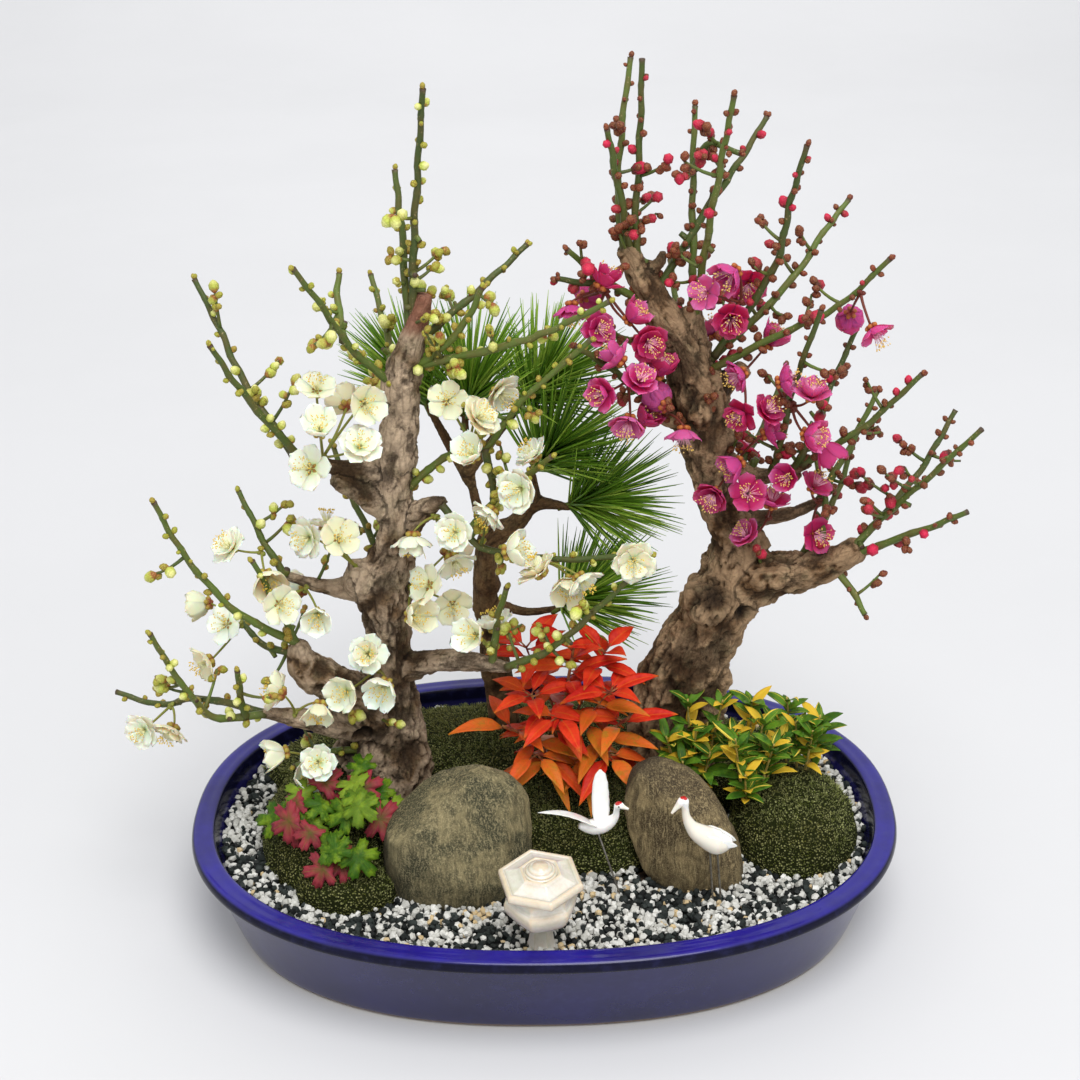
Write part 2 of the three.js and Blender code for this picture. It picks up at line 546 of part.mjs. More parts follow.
// Dwarf bamboo: thin culms that fan out of one crown in the moss, each with leaves to its tip
function makeBamboo({ name, crown, culms }, seed) {
  const random = seeded(seed);
  const [cx, cy, cz] = crown;
  const parts = [bar([[cx, cy, soilTop + 1.5], crown], [2.4, 2.8], 5, 1)];
  culms.forEach(([x, y, top]) => {
    const route = [[cx, cy, cz - 4], [(cx + x) / 2, (cy + y) / 2, (cz + top) / 2 - 4], [x, y, top]];
    parts.push(leafyStem(route, [[0.7, 1, 0.3], [0.88, 2, 0.7]], bambooSize, random));
  });
  addPiece(name, materials.bamboo, join(parts));
}

// Leaf with three waved lobes on a thin stalk
function lobedLeaf(foot, middle, radius, random) {
  const stalk = vector(middle).sub(vector(foot));
  const facing = new THREE.Vector3(stalk.x * 0.02, -0.55 + stalk.y * 0.02, 1).normalize();
  const { aside, along } = frameOf(facing);
  const turn = Math.atan2(stalk.dot(along), stalk.dot(aside));
  const reach = [0.45, 0.95, 0.6, 1.05, 0.65, 1.05, 0.6, 0.95];
  const rim = reach.map((share, i) => {
    const angle = turn + Math.PI + (2 * Math.PI * i) / reach.length;
    const far = radius * share * (0.92 + 0.16 * random());
    return vector(middle).addScaledVector(aside, far * Math.cos(angle))
      .addScaledVector(along, far * Math.sin(angle)).addScaledVector(facing, share > 0.7 ? -1 : 0.4);
  });
  const heart = vector(middle);
  const face = blade(rim, heart, heart.clone().addScaledVector(facing, -leafThick));
  const seat = rim[0].clone().lerp(heart, 0.25).addScaledVector(facing, -leafThick * 0.4);
  return join([face, bar([foot, seat.toArray()], [0.9, 0.6], 3, 1)]);
}

const lobedPlants = [
  { name: 'lobed_plant_right', crown: [-86, -40, 70], leaves: [[-94, -38, 92], [-80, -34, 86], [-97, -50, 82],
    [-78, -48, 77], [-88, -54, 88], [-90, -28, 97]] },
  { name: 'lobed_plant_left', crown: [-112, -40, 69], leaves: [[-120, -36, 86], [-109, -46, 84],
    [-126, -48, 76], [-114, -56, 74], [-106, -32, 90], [-134, -38, 72]] },
  { name: 'lobed_plant_front', crown: [-98, -66, 58], leaves: [[-102, -64, 74], [-88, -68, 68],
    [-108, -70, 64]] },
];

function makeLobedPlant({ name, crown, leaves }, seed) {
  const random = seeded(seed);
  const [x, y, z] = crown;
  const root = bar([[x, y, z - 12], [x, y, z]], [2.2, 2], 5, 1);
  addPiece(name, materials.lobed, join([root, ...leaves.map((middle) => (
    lobedLeaf([x, y, z - 2], middle, 8.5, random)))]));
}

// Cupped blossom of five round petals with a boss of stamens, on a stalk from its twig
function blossom(hub, middle, radius, random) {
  const start = vector(hub);
  const heart = vector(middle);
  const away = heart.clone().sub(start).normalize();
  const view = middle[1] > hub[1] + 5 ? 0.5 : -0.7;
  const facing = away.add(new THREE.Vector3(0.3 * (random() - 0.5), view, 0.3)).normalize();
  const { aside, along } = frameOf(facing);
  const spin = random();
  const rim = [];
  for (let petal = 0; petal < 5; petal += 1) {
    [[-20, 0.98], [20, 0.98], [36, 0.66]].forEach(([turn, share]) => {
      const angle = spin + THREE.MathUtils.degToRad(72 * petal + turn);
      rim.push(heart.clone()
        .addScaledVector(aside, radius * share * Math.cos(angle))
        .addScaledVector(along, radius * share * Math.sin(angle))
        .addScaledVector(facing, radius * 0.42 * share * share));
    });
  }
  // three corners round the stalk where it meets the petals, and three at the spur
  const stalk = (middle, axis) => {
    const round = frameOf(axis);
    return [0, 1, 2].map((k) => middle.clone()
      .addScaledVector(round.aside, blossomSize.pedicel * Math.cos(spin + 2.094 * k))
      .addScaledVector(round.along, blossomSize.pedicel * Math.sin(spin + 2.094 * k)));
  };
  const neck = stalk(heart.clone().addScaledVector(facing, -blossomSize.thick), facing);
  const foot = stalk(start, facing);
  const points = [heart, ...rim, ...neck, ...foot];
  const faces = [[18, 17, 16].map((k) => k + 3)];
  for (let i = 0; i < 15; i += 1) {
    const next = 1 + ((i + 1) % 15);
    const corner = 16 + (Math.floor((i + 2) / 5) % 3);
    faces.push([0, i + 1, next], [corner, next, i + 1]);
  }
  for (let k = 0; k < 3; k += 1) {
    const after = (k + 1) % 3;
    faces.push([16 + k, 16 + after, 1 + ((5 * k + 3) % 15)]);
    faces.push([16 + k, 19 + k, 16 + after], [16 + after, 19 + k, 19 + after]);
  }
  return closed(points, faces);
}

// Clusters of blossoms: the spur on the twig that they spring from, and the heart of each blossom
const whiteClusters = [
  { spur: [-99, 2, 252], hearts: [[-101, -8, 285], [-99, -20, 270], [-80, -6, 278], [-82, -18, 261],
    [-105, -16, 250], [-91, 18, 268]] },
  { spur: [-90, 0, 200], hearts: [[-109, -8, 211], [-95, -16, 214], [-104, 14, 206]] },
  { spur: [-112, 0, 184], hearts: [[-107, -16, 174], [-119, 16, 170], [-124, -24, 184]] },
  { spur: [-134, 2, 200], hearts: [[-148, 0, 202], [-131, -12, 193]] },
  { spur: [-145, 2, 160], hearts: [[-152, -10, 166], [-164, 6, 169], [-162, -14, 148]] },
  { spur: [-184, 0, 119], hearts: [[-199, -8, 106], [-184, -12, 109]] },
  { spur: [-121, -16, 122], hearts: [[-126, -29, 138], [-108, -27, 130]] },
  { spur: [-85, -3, 132], hearts: [[-84, -15, 151], [-76, -20, 137], [-95, -20, 133]] },
  { spur: [-112, -14, 94], hearts: [[-127, -27, 103], [-110, -31, 100], [-120, -22, 83]] },
  { spur: [-38, 5, 251], hearts: [[-42, 0, 276], [-28, -15, 273], [-19, 6, 278], [-30, -18, 256]] },
  { spur: [-48, 0, 214], hearts: [[-39, -25, 221], [-42, -10, 200], [-60, -12, 213]] },
  { spur: [-60, 2, 176], hearts: [[-53, -15, 188], [-43, -6, 173], [-62, -18, 173], [-46, 20, 188]] },
  { spur: [-32, -17, 152], hearts: [[-31, -29, 168], [-22, -14, 164]] },
  { spur: [0, -26, 208], hearts: [[-15, -33, 214], [0, -39, 206], [14, -26, 195], [18, -40, 204]] },
  { spur: [48, -35, 215], hearts: [[42, -46, 216]] },
  { spur: [-14, -10, 240], hearts: [[-8, -26, 243], [-2, -6, 250], [-22, -22, 230]] },
];

const pinkClusters = [
  { spur: [34, 17, 320], hearts: [[16, 5, 320], [29, 2, 330], [22, 26, 317], [42, 7, 312], [50, 2, 303],
    [27, 4, 309]] },
  { spur: [44, 8, 278], hearts: [[38, -6, 297], [31, -10, 283], [46, -8, 287], [42, -8, 269]] },
  { spur: [63, 22, 256], hearts: [[59, 6, 270], [68, 3, 259], [56, 12, 283], [49, 12, 259]] },
  { spur: [96, 20, 310], hearts: [[90, 8, 334], [78, 10, 323], [88, 2, 314], [99, 30, 321]] },
  { spur: [97, 18, 276], hearts: [[95, 5, 286], [96, 5, 266], [109, 27, 292]] },
  { spur: [118, 0, 270], hearts: [[105, -5, 270], [110, -10, 287], [124, -14, 281], [123, -12, 262],
    [133, 0, 252]] },
  { spur: [92, 17, 234], hearts: [[95, 3, 242], [99, 2, 226], [84, 6, 225], [107, 8, 254]] },
  { spur: [112, 22, 206], hearts: [[111, 6, 218], [119, 5, 233], [101, 8, 200]] },
  { spur: [137, 20, 216], hearts: [[131, 7, 226], [133, 11, 200]] },
  { spur: [149, 0, 330], hearts: [[151, -7, 311], [144, 11, 312]] },
  { spur: [74, 38, 290], hearts: [[80, 47, 309], [66, 51, 284], [86, 55, 287]] },
  { spur: [90, 38, 219], hearts: [[101, 50, 228], [86, 53, 232], [104, 54, 210]] },
];

function makeBlossoms(prefix, wood, clusters, material, radius, seed) {
  const random = seeded(seed);
  clusters.forEach(({ spur, hearts }, i) => {
    // the spur sits on the bark nearest to it, on the side of its blossoms
    const middle = hearts.reduce((sum, heart) => sum.add(vector(heart)), new THREE.Vector3());
    middle.divideScalar(hearts.length);
    const bark = nearestOn(wood, vector(spur).lerp(middle, 0.3));
    const root = bark.clone().add(middle.sub(bark).setLength(spurReach)).toArray();
    const blooms = hearts.map((heart) => blossom(root, heart, radius * (0.9 + 0.15 * random()), random));
    const seat = solid(new THREE.OctahedronGeometry(spurSize).translate(...root));
    addPiece(`${prefix}_${String(i + 1).padStart(2, '0')}`, material, join([seat, ...blooms]));
  });
}

// Plain round holes for what stands in the soil and the moss: place, radius below and radius above
const holes = [
  [whiteTree.trunk[0][0], whiteTree.trunk[0][1], 22.1, 31.5],
  [pinkTree.trunk[0][0] + 1, pinkTree.trunk[0][1], 25.2, 32.6],
  [pineTree.trunk[0][0], pineTree.trunk[0][1], 10.5, 11.7],
  ...nandinaStems.map(([, [[x, y]]]) => [x, y, 2.6, 2.6]),
  ...bambooClumps.map(({ crown }) => [crown[0], crown[1], 3.6, 9]),
  ...lobedPlants.map(({ crown }) => [crown[0], crown[1], 3.2, 3.2]),
];

function withHoles(part, count) {
  return holes.slice(0, count).reduce((rest, [x, y, below, above]) => {
    const sides = below > 10 ? 12 : 6;
    const hole = solid(new THREE.CylinderGeometry(above, below, 50, sides).rotateX(Math.PI / 2));
    return rest.subtract(hole.translate([x, y, 46]));
  }, part);
}

// Soil: fills the tray's inside up to the moss and gravel
function makeSoil() {
  const { baseHalf, wall, floor } = tray;
  const foot = baseHalf - wall - 5;
  const profile = [[0, floor + gap], [foot, floor + gap], [baseHalf - wall - 1, floor + 3],
    [soilHalf, soilTop], [0, soilTop]];
  const body = ovalSolid(profile, 28);
  addPiece('soil', materials.soil, withHoles(body, 3));
}

// Moss: cushions that have grown together on the soil, with soft lumps on top
const mossCushions = [
  { x: -104, y: -8, halfX: 40, halfY: 56, top: 70, lump: 2 },
  { x: -97, y: -62, halfX: 24, halfY: 15, top: 58, lump: 1 },
  { x: 127, y: -15, halfX: 32, halfY: 38, top: 72, lump: 3 },
  { x: 22, y: -8, halfX: 46, halfY: 40, top: 62, lump: 3 },
  { x: -4, y: 48, halfX: 144, halfY: 55, top: 64, lump: 3 },
];

function mossCushion({ x, y, halfX, halfY, top, lump }) {
  const foot = soilTop + gap;
  const profile = [[0, 0], [1, 0], [1, 1], [0.86, 1], [0.6, 1], [0.3, 1], [0, 1]];
  const geometry = new THREE.LatheGeometry(profile.map(([r, z]) => new THREE.Vector2(r, z)), 14);
  const place = geometry.getAttribute('position');
  for (let i = 0; i < place.count; i += 1) {
    const share = Math.hypot(place.getX(i), place.getZ(i));
    const px = x + halfX * place.getX(i);
    const py = y + halfY * place.getZ(i);
    const dome = Math.max(0, 1 - share ** 2.6) ** 0.6;
    const wave = Math.sin(px * 0.19 + 1) * Math.sin(py * 0.23) * lump;
    place.setXYZ(i, px, py, place.getY(i) > 0.5 ? foot + 8 + (top - foot - 8 + wave) * dome : foot);
  }
  return solid(geometry);
}

// Gravel: a layer of small stones round the moss, in relief
function makeGravel() {
  const foot = soilTop + gap;
  const rings = [soilHalf + 2, 150, 130, 0];
  const profile = [[0, foot], [soilHalf - 0.6, foot], ...rings.map((r) => [r, gravelTop])];
  addPiece('gravel', materials.gravel, ovalSolid(profile, 24, (point, r) => {
    const rough = 1.1 * Math.sin(2.1 * point.x) * Math.cos(2.3 * point.y);
    if (point.z > foot + 1 && r < soilHalf) point.z += rough;
  }));
}

makeTray();
makeLantern();
makeCranes();
makeStone('stone_left', materials.stoneLeft, [-41, -52, 72], [37, 26, 32], -0.12, 5);
makeStone('stone_right', materials.stoneRight, [68, -43, 71], [26, 23, 32], -0.35, 12);
const whiteWood = makeTree('white_apricot_wood', materials.whiteBark, whiteTree, bud.white);
const pinkWood = makeTree('pink_apricot_wood', materials.pinkBark, pinkTree, bud.pink);
makePine();
sprays.forEach((spray, i) => makeSpray(spray, 31 + i));
nandinaStems.forEach(([name, route, whorls], i) => {
  addPiece(name, materials.nandina, leafyStem(route, whorls, nandinaSize, seeded(41 + i)));
});
bambooClumps.forEach((clump, i) => makeBamboo(clump, 51 + i));
lobedPlants.forEach((plant, i) => makeLobedPlant(plant, 61 + i));
makeBlossoms('white_blossoms', whiteWood, whiteClusters, materials.whitePetal, blossomSize.white, 71);
makeBlossoms('pink_blossoms', pinkWood, pinkClusters, materials.pinkPetal, blossomSize.pink, 81);
makeSoil();
addPiece('moss', materials.moss, withHoles(join(mossCushions.map(mossCushion)), holes.length));
makeGravel();

export default group;
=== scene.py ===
import math
import bpy
import mathutils
from mathutils.bvhtree import BVHTree
import numpy as np
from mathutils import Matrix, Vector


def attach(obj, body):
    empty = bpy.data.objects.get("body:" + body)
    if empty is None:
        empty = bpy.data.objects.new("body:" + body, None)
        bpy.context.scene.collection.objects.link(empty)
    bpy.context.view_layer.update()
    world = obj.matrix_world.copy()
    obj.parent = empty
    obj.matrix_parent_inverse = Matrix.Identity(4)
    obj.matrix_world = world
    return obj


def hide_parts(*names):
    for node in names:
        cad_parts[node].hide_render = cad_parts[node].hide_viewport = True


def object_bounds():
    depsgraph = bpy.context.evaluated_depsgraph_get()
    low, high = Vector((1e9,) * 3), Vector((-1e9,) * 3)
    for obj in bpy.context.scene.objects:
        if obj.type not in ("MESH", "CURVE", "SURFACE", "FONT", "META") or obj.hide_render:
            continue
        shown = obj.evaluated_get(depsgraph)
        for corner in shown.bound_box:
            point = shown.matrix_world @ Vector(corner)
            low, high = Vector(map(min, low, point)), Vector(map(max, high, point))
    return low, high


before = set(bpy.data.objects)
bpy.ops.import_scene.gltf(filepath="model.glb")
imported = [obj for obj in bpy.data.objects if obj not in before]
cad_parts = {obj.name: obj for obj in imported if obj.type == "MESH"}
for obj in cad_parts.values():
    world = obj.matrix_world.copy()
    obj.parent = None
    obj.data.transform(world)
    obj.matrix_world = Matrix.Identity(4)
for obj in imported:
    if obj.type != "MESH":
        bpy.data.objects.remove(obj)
cadBounds = [[float(value) for value in corner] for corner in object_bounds()]
print("packed model loaded")

mm = 0.001                                   # shapes are worked out in millimetres


def unit(rows):
    return rows / np.maximum(np.linalg.norm(rows, axis=-1, keepdims=True), 1e-9)


def mixed(low, high, share):
    return low + (high - low) * share


# Two directions across each given one
def acrossOf(ahead):
    side = unit(np.cross([0.0, 1.0, 0.02], ahead))
    return side, np.cross(ahead, side)


# Points turned by an angle from one axis towards another, axes 0 to 2
def turned(points, angle, first, second):
    matrix = np.eye(3)
    matrix[first, first] = matrix[second, second] = math.cos(angle)
    matrix[first, second], matrix[second, first] = math.sin(angle), -math.sin(angle)
    return points @ matrix


# Directions round the third axis of each frame, at the given angles
def roundAxis(frames, angle):
    return frames[:, None, 0] * np.cos(angle)[..., None] + frames[:, None, 1] * np.sin(angle)[..., None]


# Step from 0 to 1 between two values, rounded at both ends: 3t2 - 2t3
def smoothStep(low, high, value):
    share = np.clip((value - low) / (high - low), 0, 1)
    return share * share * (3 - 2 * share)


# Smooth noise from -1 to 1: random values at the corners of cubes of the given size, blended by 3t2 - 2t3
def noise(points, size, seed=0):
    table = np.random.default_rng(seed).random(4096) * 2 - 1
    spot = points / size + 977.3
    cell = np.floor(spot).astype(np.int64)
    part = spot - cell
    part = part * part * (3 - 2 * part)
    total = np.zeros(points.shape[:-1])
    for corner in range(8):                  # the eight corners of each cube
        bits = np.array([corner & 1, corner >> 1 & 1, corner >> 2 & 1])
        place = cell + bits
        key = (place[..., 0] * 73856093) ^ (place[..., 1] * 19349663) ^ (place[..., 2] * 83492791)
        weight = np.where(bits == 1, part, 1 - part).prod(axis=-1)
        total += weight * table[key & 4095]
    return total


# A shape is its points, its quads and triangles, and marks: one number for each point that materials read
def shape(points, quads=(), tris=(), **marks):
    points = np.asarray(points, dtype=float).reshape(-1, 3)
    full = {name: np.broadcast_to(np.asarray(mark, dtype=float).ravel(), len(points)).copy()
            for name, mark in marks.items()}
    return {"points": points, "quads": np.asarray(quads, dtype=int).reshape(-1, 4),
            "tris": np.asarray(tris, dtype=int).reshape(-1, 3), "marks": full}


# Gives every point of a shape the same number for each named mark
def marked(made, **marks):
    for mark, value in marks.items():
        made["marks"][mark] = np.full(len(made["points"]), float(value))
    return made


# Several shapes as one: the face numbers of each are moved up by the points before it
def together(shapes):
    starts = np.cumsum([0] + [len(one["points"]) for one in shapes])[:-1]
    names = sorted({name for one in shapes for name in one["marks"]})
    return {
        "points": np.concatenate([one["points"] for one in shapes]),
        "quads": np.concatenate([one["quads"] + start for one, start in zip(shapes, starts)]),
        "tris": np.concatenate([one["tris"] + start for one, start in zip(shapes, starts)]),
        "marks": {name: np.concatenate([one["marks"].get(name, np.zeros(len(one["points"])))
                                        for one in shapes]) for name in names},
    }


# Copies of a small shape: copy n is stretched by sizes[n], turned so that its x, y and z lie along
# the rows of turns[n], and moved to places[n]
def copies(small, places, turns, sizes, **marks):
    count, corners = len(places), len(small["points"])
    sizes = np.asarray(sizes, dtype=float).reshape(count, 1, -1)
    points = np.einsum("nvk,nkj->nvj", small["points"][None] * sizes, turns) + places[:, None]
    starts = (np.arange(count) * corners)[:, None, None]
    full = {name: np.tile(mark, count) for name, mark in small["marks"].items()}
    full.update({name: np.repeat(np.broadcast_to(mark, count), corners) for name, mark in marks.items()})
    return shape(points, small["quads"] + starts, small["tris"] + starts, **full)


# Frames from directions: each z lies along a direction, x is level where it can be, all turned by spin
def framesAlong(directions, spin=0.0, up=(0, 0, 1)):
    third = unit(np.asarray(directions, dtype=float))
    level = unit(np.cross(np.broadcast_to(up, third.shape) + [0.013, 0.021, 0.0], third))
    over = np.cross(third, level)
    turn = np.broadcast_to(spin, len(third))[:, None]
    first = level * np.cos(turn) + over * np.sin(turn)
    return np.stack([first, np.cross(third, first), third], axis=1)


# Quads of a grid of rows by columns; ring joins the last column to the first
def gridQuads(rows, columns, ring=False):
    row, column = np.meshgrid(np.arange(rows - 1), np.arange(columns - (not ring)), indexing="ij")
    after = (column + 1) % columns
    return np.stack([row * columns + column, row * columns + after, (row + 1) * columns + after,
                     (row + 1) * columns + column], axis=-1).reshape(-1, 4)


# Fans that close a stack of rings, for two points that come after the rings
def endFans(rows, sides):
    around = np.arange(sides)
    after = (around + 1) % sides
    upper = (rows - 1) * sides
    return np.concatenate([
        np.stack([np.full(sides, rows * sides), after, around], axis=1),
        np.stack([np.full(sides, rows * sides + 1), upper + around, upper + after], axis=1)])


# Smooth curve through points, even along its length: centripetal, so that it never loops.
# Gives the points and their shares of the way, counted in given points
def routeCurve(points, step=1.0):
    given = np.asarray(points, dtype=float)
    last = len(given) - 1
    wide = np.vstack([2 * given[0] - given[1], given, 2 * given[-1] - given[-2]])
    at = np.linspace(0, last, 60 * last + 1)
    first = np.minimum(at.astype(int), last - 1)
    part = (at - first)[:, None]
    a, b, c, d = (wide[first + k] for k in range(4))
    gapA, gapB, gapC = (np.maximum(np.linalg.norm(q - p, axis=1, keepdims=True) ** 0.5, 1e-4)
                        for p, q in ((a, b), (b, c), (c, d)))
    leave = gapB * ((b - a) / gapA - (c - a) / (gapA + gapB) + (c - b) / gapB)
    reach = gapB * ((c - b) / gapB - (d - b) / (gapB + gapC) + (d - c) / gapC)
    fine = (b + leave * part + (3 * (c - b) - 2 * leave - reach) * part ** 2
            + (2 * (b - c) + leave + reach) * part ** 3)
    length = np.concatenate([[0], np.cumsum(np.linalg.norm(np.diff(fine, axis=0), axis=1))])
    even = np.linspace(0, length[-1], max(3, int(length[-1] / step) + 1))
    path = np.stack([np.interp(even, length, fine[:, k]) for k in range(3)], axis=1)
    return path, np.interp(even, length, at)


# Round bar: on path point i stands a ring of radius radii[i], times relief(angle, i) where there is one;
# a fan closes each end
def tube(path, radii, sides=12, relief=None, up=(0, 1, 0.02), **marks):
    forward = unit(np.gradient(path, axis=0))
    side = unit(np.cross(np.broadcast_to(up, forward.shape), forward))
    over = np.cross(forward, side)
    angle = np.linspace(0, 2 * np.pi, sides, endpoint=False)[None, :, None]
    reach = np.broadcast_to(np.asarray(radii, dtype=float), len(path))[:, None, None]
    if relief is not None:
        reach = reach * relief(angle[..., 0], np.arange(len(path))[:, None])[..., None]
    rings = path[:, None] + reach * (side[:, None] * np.cos(angle) + over[:, None] * np.sin(angle))
    share = np.repeat(np.linspace(0, 1, len(path)), sides)
    return shape(np.vstack([rings.reshape(-1, 3), path[0], path[-1]]), gridQuads(len(path), sides, True),
                 endFans(len(path), sides), along=np.concatenate([share, [0, 1]]), **marks)


# Closed ball: height and reach follow a sine and a cosine, the poles are fans
def ball(rings, sides):
    height = np.linspace(-np.pi / 2, np.pi / 2, rings + 2)[1:-1, None]
    angle = np.linspace(0, 2 * np.pi, sides, endpoint=False)[None]
    points = np.stack([np.cos(height) * np.cos(angle), np.cos(height) * np.sin(angle),
                       np.sin(height) * np.ones_like(angle)], axis=-1).reshape(-1, 3)
    points = np.vstack([points, [0, 0, -1], [0, 0, 1]])
    return shape(points, gridQuads(rings, sides, True), endFans(rings, sides), along=(points[:, 2] + 1) / 2)


# Thin closed leaves from their middle sheets, all at once: each sheet is moved half its thickness to
# the front and to the back, and a strip of quads closes its rim
def shells(sheets, thick, **marks):
    count, rows, columns = sheets.shape[:3]
    facing = unit(np.cross(np.gradient(sheets, axis=2), np.gradient(sheets, axis=1)))
    both = np.stack([sheets + facing * thick / 2, sheets - facing * thick / 2], axis=1)
    size = rows * columns
    front = gridQuads(rows, columns)[:, ::-1]
    back = gridQuads(rows, columns) + size
    index = np.arange(size).reshape(rows, columns)
    rim = np.concatenate([index[0, :-1], index[:-1, -1], index[-1, :0:-1], index[:0:-1, 0]])
    after = np.roll(rim, -1)
    strip = np.stack([rim, after, after + size, rim + size], axis=1)
    quads = np.concatenate([front, back, strip])[None] + (np.arange(count) * 2 * size)[:, None, None]
    full = {name: np.broadcast_to(mark, (count, 2, rows, columns)).ravel() for name, mark in marks.items()}
    side = np.broadcast_to(np.array([1.0, 0.0])[None, :, None, None], (count, 2, rows, columns)).ravel()
    return shape(both, quads, front=side, **full)


def linked(name, data):
    holder = bpy.data.objects.new(name, data)
    bpy.context.scene.collection.objects.link(holder)
    return holder


# A shape as a plain object for modifiers, and the mesh that they make of it
def rawObject(name, made):
    mesh = bpy.data.meshes.new(name)
    mesh.from_pydata((made["points"] * mm).tolist(), [], made["quads"].tolist() + made["tris"].tolist())
    return linked(name, mesh)


def modified(holder):
    bpy.context.view_layer.update()
    return bpy.data.meshes.new_from_object(holder.evaluated_get(bpy.context.evaluated_depsgraph_get()))


# Puts a shape into a new object that rides on the planting
def addPiece(name, form, material, nodes=(), smooth=True):
    mesh = bpy.data.meshes.new(name)
    faces = [form[kind] for kind in ("quads", "tris") if len(form[kind])]
    corners = np.concatenate([rows.ravel() for rows in faces])
    counts = np.concatenate([np.full(len(rows), rows.shape[1]) for rows in faces])
    mesh.vertices.add(len(form["points"]))
    # a ruffle or a bud that would stand past the solids' box is brought back onto it
    points = np.clip(form["points"] * mm, *cadBounds)
    mesh.vertices.foreach_set("co", points.ravel().astype(np.float32))
    mesh.loops.add(len(corners))
    mesh.loops.foreach_set("vertex_index", corners.astype(np.int32))
    mesh.polygons.add(len(counts))
    mesh.polygons.foreach_set("loop_start", np.concatenate([[0], np.cumsum(counts)[:-1]]).astype(np.int32))
    mesh.polygons.foreach_set("use_smooth", np.full(len(counts), smooth))
    for mark, values in form["marks"].items():
        mesh.attributes.new(mark, "FLOAT", "POINT").data.foreach_set("value", values.astype(np.float32))
    mesh.update(calc_edges=True)
    mesh.validate()
    mesh.materials.append(material)
    made = linked(name, mesh)
    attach(made, "root")
    if nodes:
        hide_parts(*nodes)
    print(name, int((counts - 2).sum()), "triangles")
    return made


# Material tools: a colour from its written form, a new node, a ramp of colours and a bare material
def tone(written):
    parts = [int(written[k:k + 2], 16) / 255 for k in (1, 3, 5)]
    return tuple(p / 12.92 if p <= 0.04045 else ((p + 0.055) / 1.055) ** 2.4 for p in parts) + (1.0,)


def addNode(tree, kind, inputs=None, **settings):
    made = tree.nodes.new(kind)
    for name, value in settings.items():
        setattr(made, name, value)
    for name, value in (inputs or {}).items():
        if isinstance(value, bpy.types.NodeSocket):
            tree.links.new(value, made.inputs[name])
        else:
            made.inputs[name].default_value = value
    return made


def addRamp(tree, factor, stops):
    made = addNode(tree, "ShaderNodeValToRGB", {"Fac": factor})
    ramp = made.color_ramp
    while len(ramp.elements) < len(stops):
        ramp.elements.new(0.5)
    for element, (place, colour) in zip(ramp.elements, stops):
        element.position = place
        element.color = tone(colour) if isinstance(colour, str) else (colour, colour, colour, 1)
    return made.outputs["Color"]


def addMix(tree, factor, first, second):
    made = tree.nodes.new("ShaderNodeMix")
    made.data_type = "RGBA"
    for socket, value in ((made.inputs[0], factor), (made.inputs[6], first), (made.inputs[7], second)):
        if isinstance(value, bpy.types.NodeSocket):
            tree.links.new(value, socket)
        else:
            socket.default_value = tone(value) if isinstance(value, str) else value
    return made.outputs[2]


def addMath(tree, operation, first, second=0.0):
    made = tree.nodes.new("ShaderNodeMath")
    made.operation = operation
    for socket, value in zip(made.inputs, (first, second)):
        if isinstance(value, bpy.types.NodeSocket):
            tree.links.new(value, socket)
        else:
            socket.default_value = value
    return made.outputs[0]


# Lays a colour over another, as strongly as the mask times a share
def wash(tree, mask, share, base, colour):
    return addMix(tree, addMath(tree, "MULTIPLY", mask, share), base, colour)


# 0 to 1 while the value goes from one number to another
def addRange(tree, value, start, end):
    return addNode(tree, "ShaderNodeMapRange", {"Value": value, "From Min": start,
                                                "From Max": end}).outputs["Result"]


def readMark(tree, name):
    return addNode(tree, "ShaderNodeAttribute", attribute_name=name).outputs["Fac"]


def objectPlace(tree):
    return addNode(tree, "ShaderNodeTexCoord").outputs["Object"]


# New material: returns its node tree and its Principled shader
def newMaterial(name, roughness=0.6, **values):
    material = bpy.data.materials.new(name)
    material.use_nodes = True
    tree = material.node_tree
    tree.nodes.clear()
    shader = addNode(tree, "ShaderNodeBsdfPrincipled", {"Roughness": roughness})
    for socket, value in values.items():
        shader.inputs[socket.replace("_", " ")].default_value = value
    end = addNode(tree, "ShaderNodeOutputMaterial", {"Surface": shader.outputs["BSDF"]})
    end.location = (300, 0)
    return material, tree, shader


def feed(tree, shader, **sockets):
    for name, value in sockets.items():
        tree.links.new(value, shader.inputs[name.replace("_", " ")])


def addBump(tree, shader, height, strength, distance):
    made = addNode(tree, "ShaderNodeBump", {"Height": height, "Strength": strength, "Distance": distance})
    tree.links.new(made.outputs["Normal"], shader.inputs["Normal"])


# Shader group tools: named inputs and outputs are made with interface.new_socket
def newGroup(name, inputs, outputs):
    tree = bpy.data.node_groups.new(name, "ShaderNodeTree")
    for label, value in inputs.items():
        kind = "NodeSocketVector" if value is None else "NodeSocketFloat"
        socket = tree.interface.new_socket(label, in_out="INPUT", socket_type=kind)
        if value is not None:
            socket.default_value = value
    for label, kind in outputs.items():
        tree.interface.new_socket(label, in_out="OUTPUT", socket_type=kind)
    return tree, tree.nodes.new("NodeGroupInput").outputs, tree.nodes.new("NodeGroupOutput").inputs


def placeGroup(tree, group, inputs):
    made = tree.nodes.new("ShaderNodeGroup")
    made.node_tree = group
    for name, value in inputs.items():
        if isinstance(value, bpy.types.NodeSocket):
            tree.links.new(value, made.inputs[name])
        else:
            made.inputs[name].default_value = value
    return made.outputs


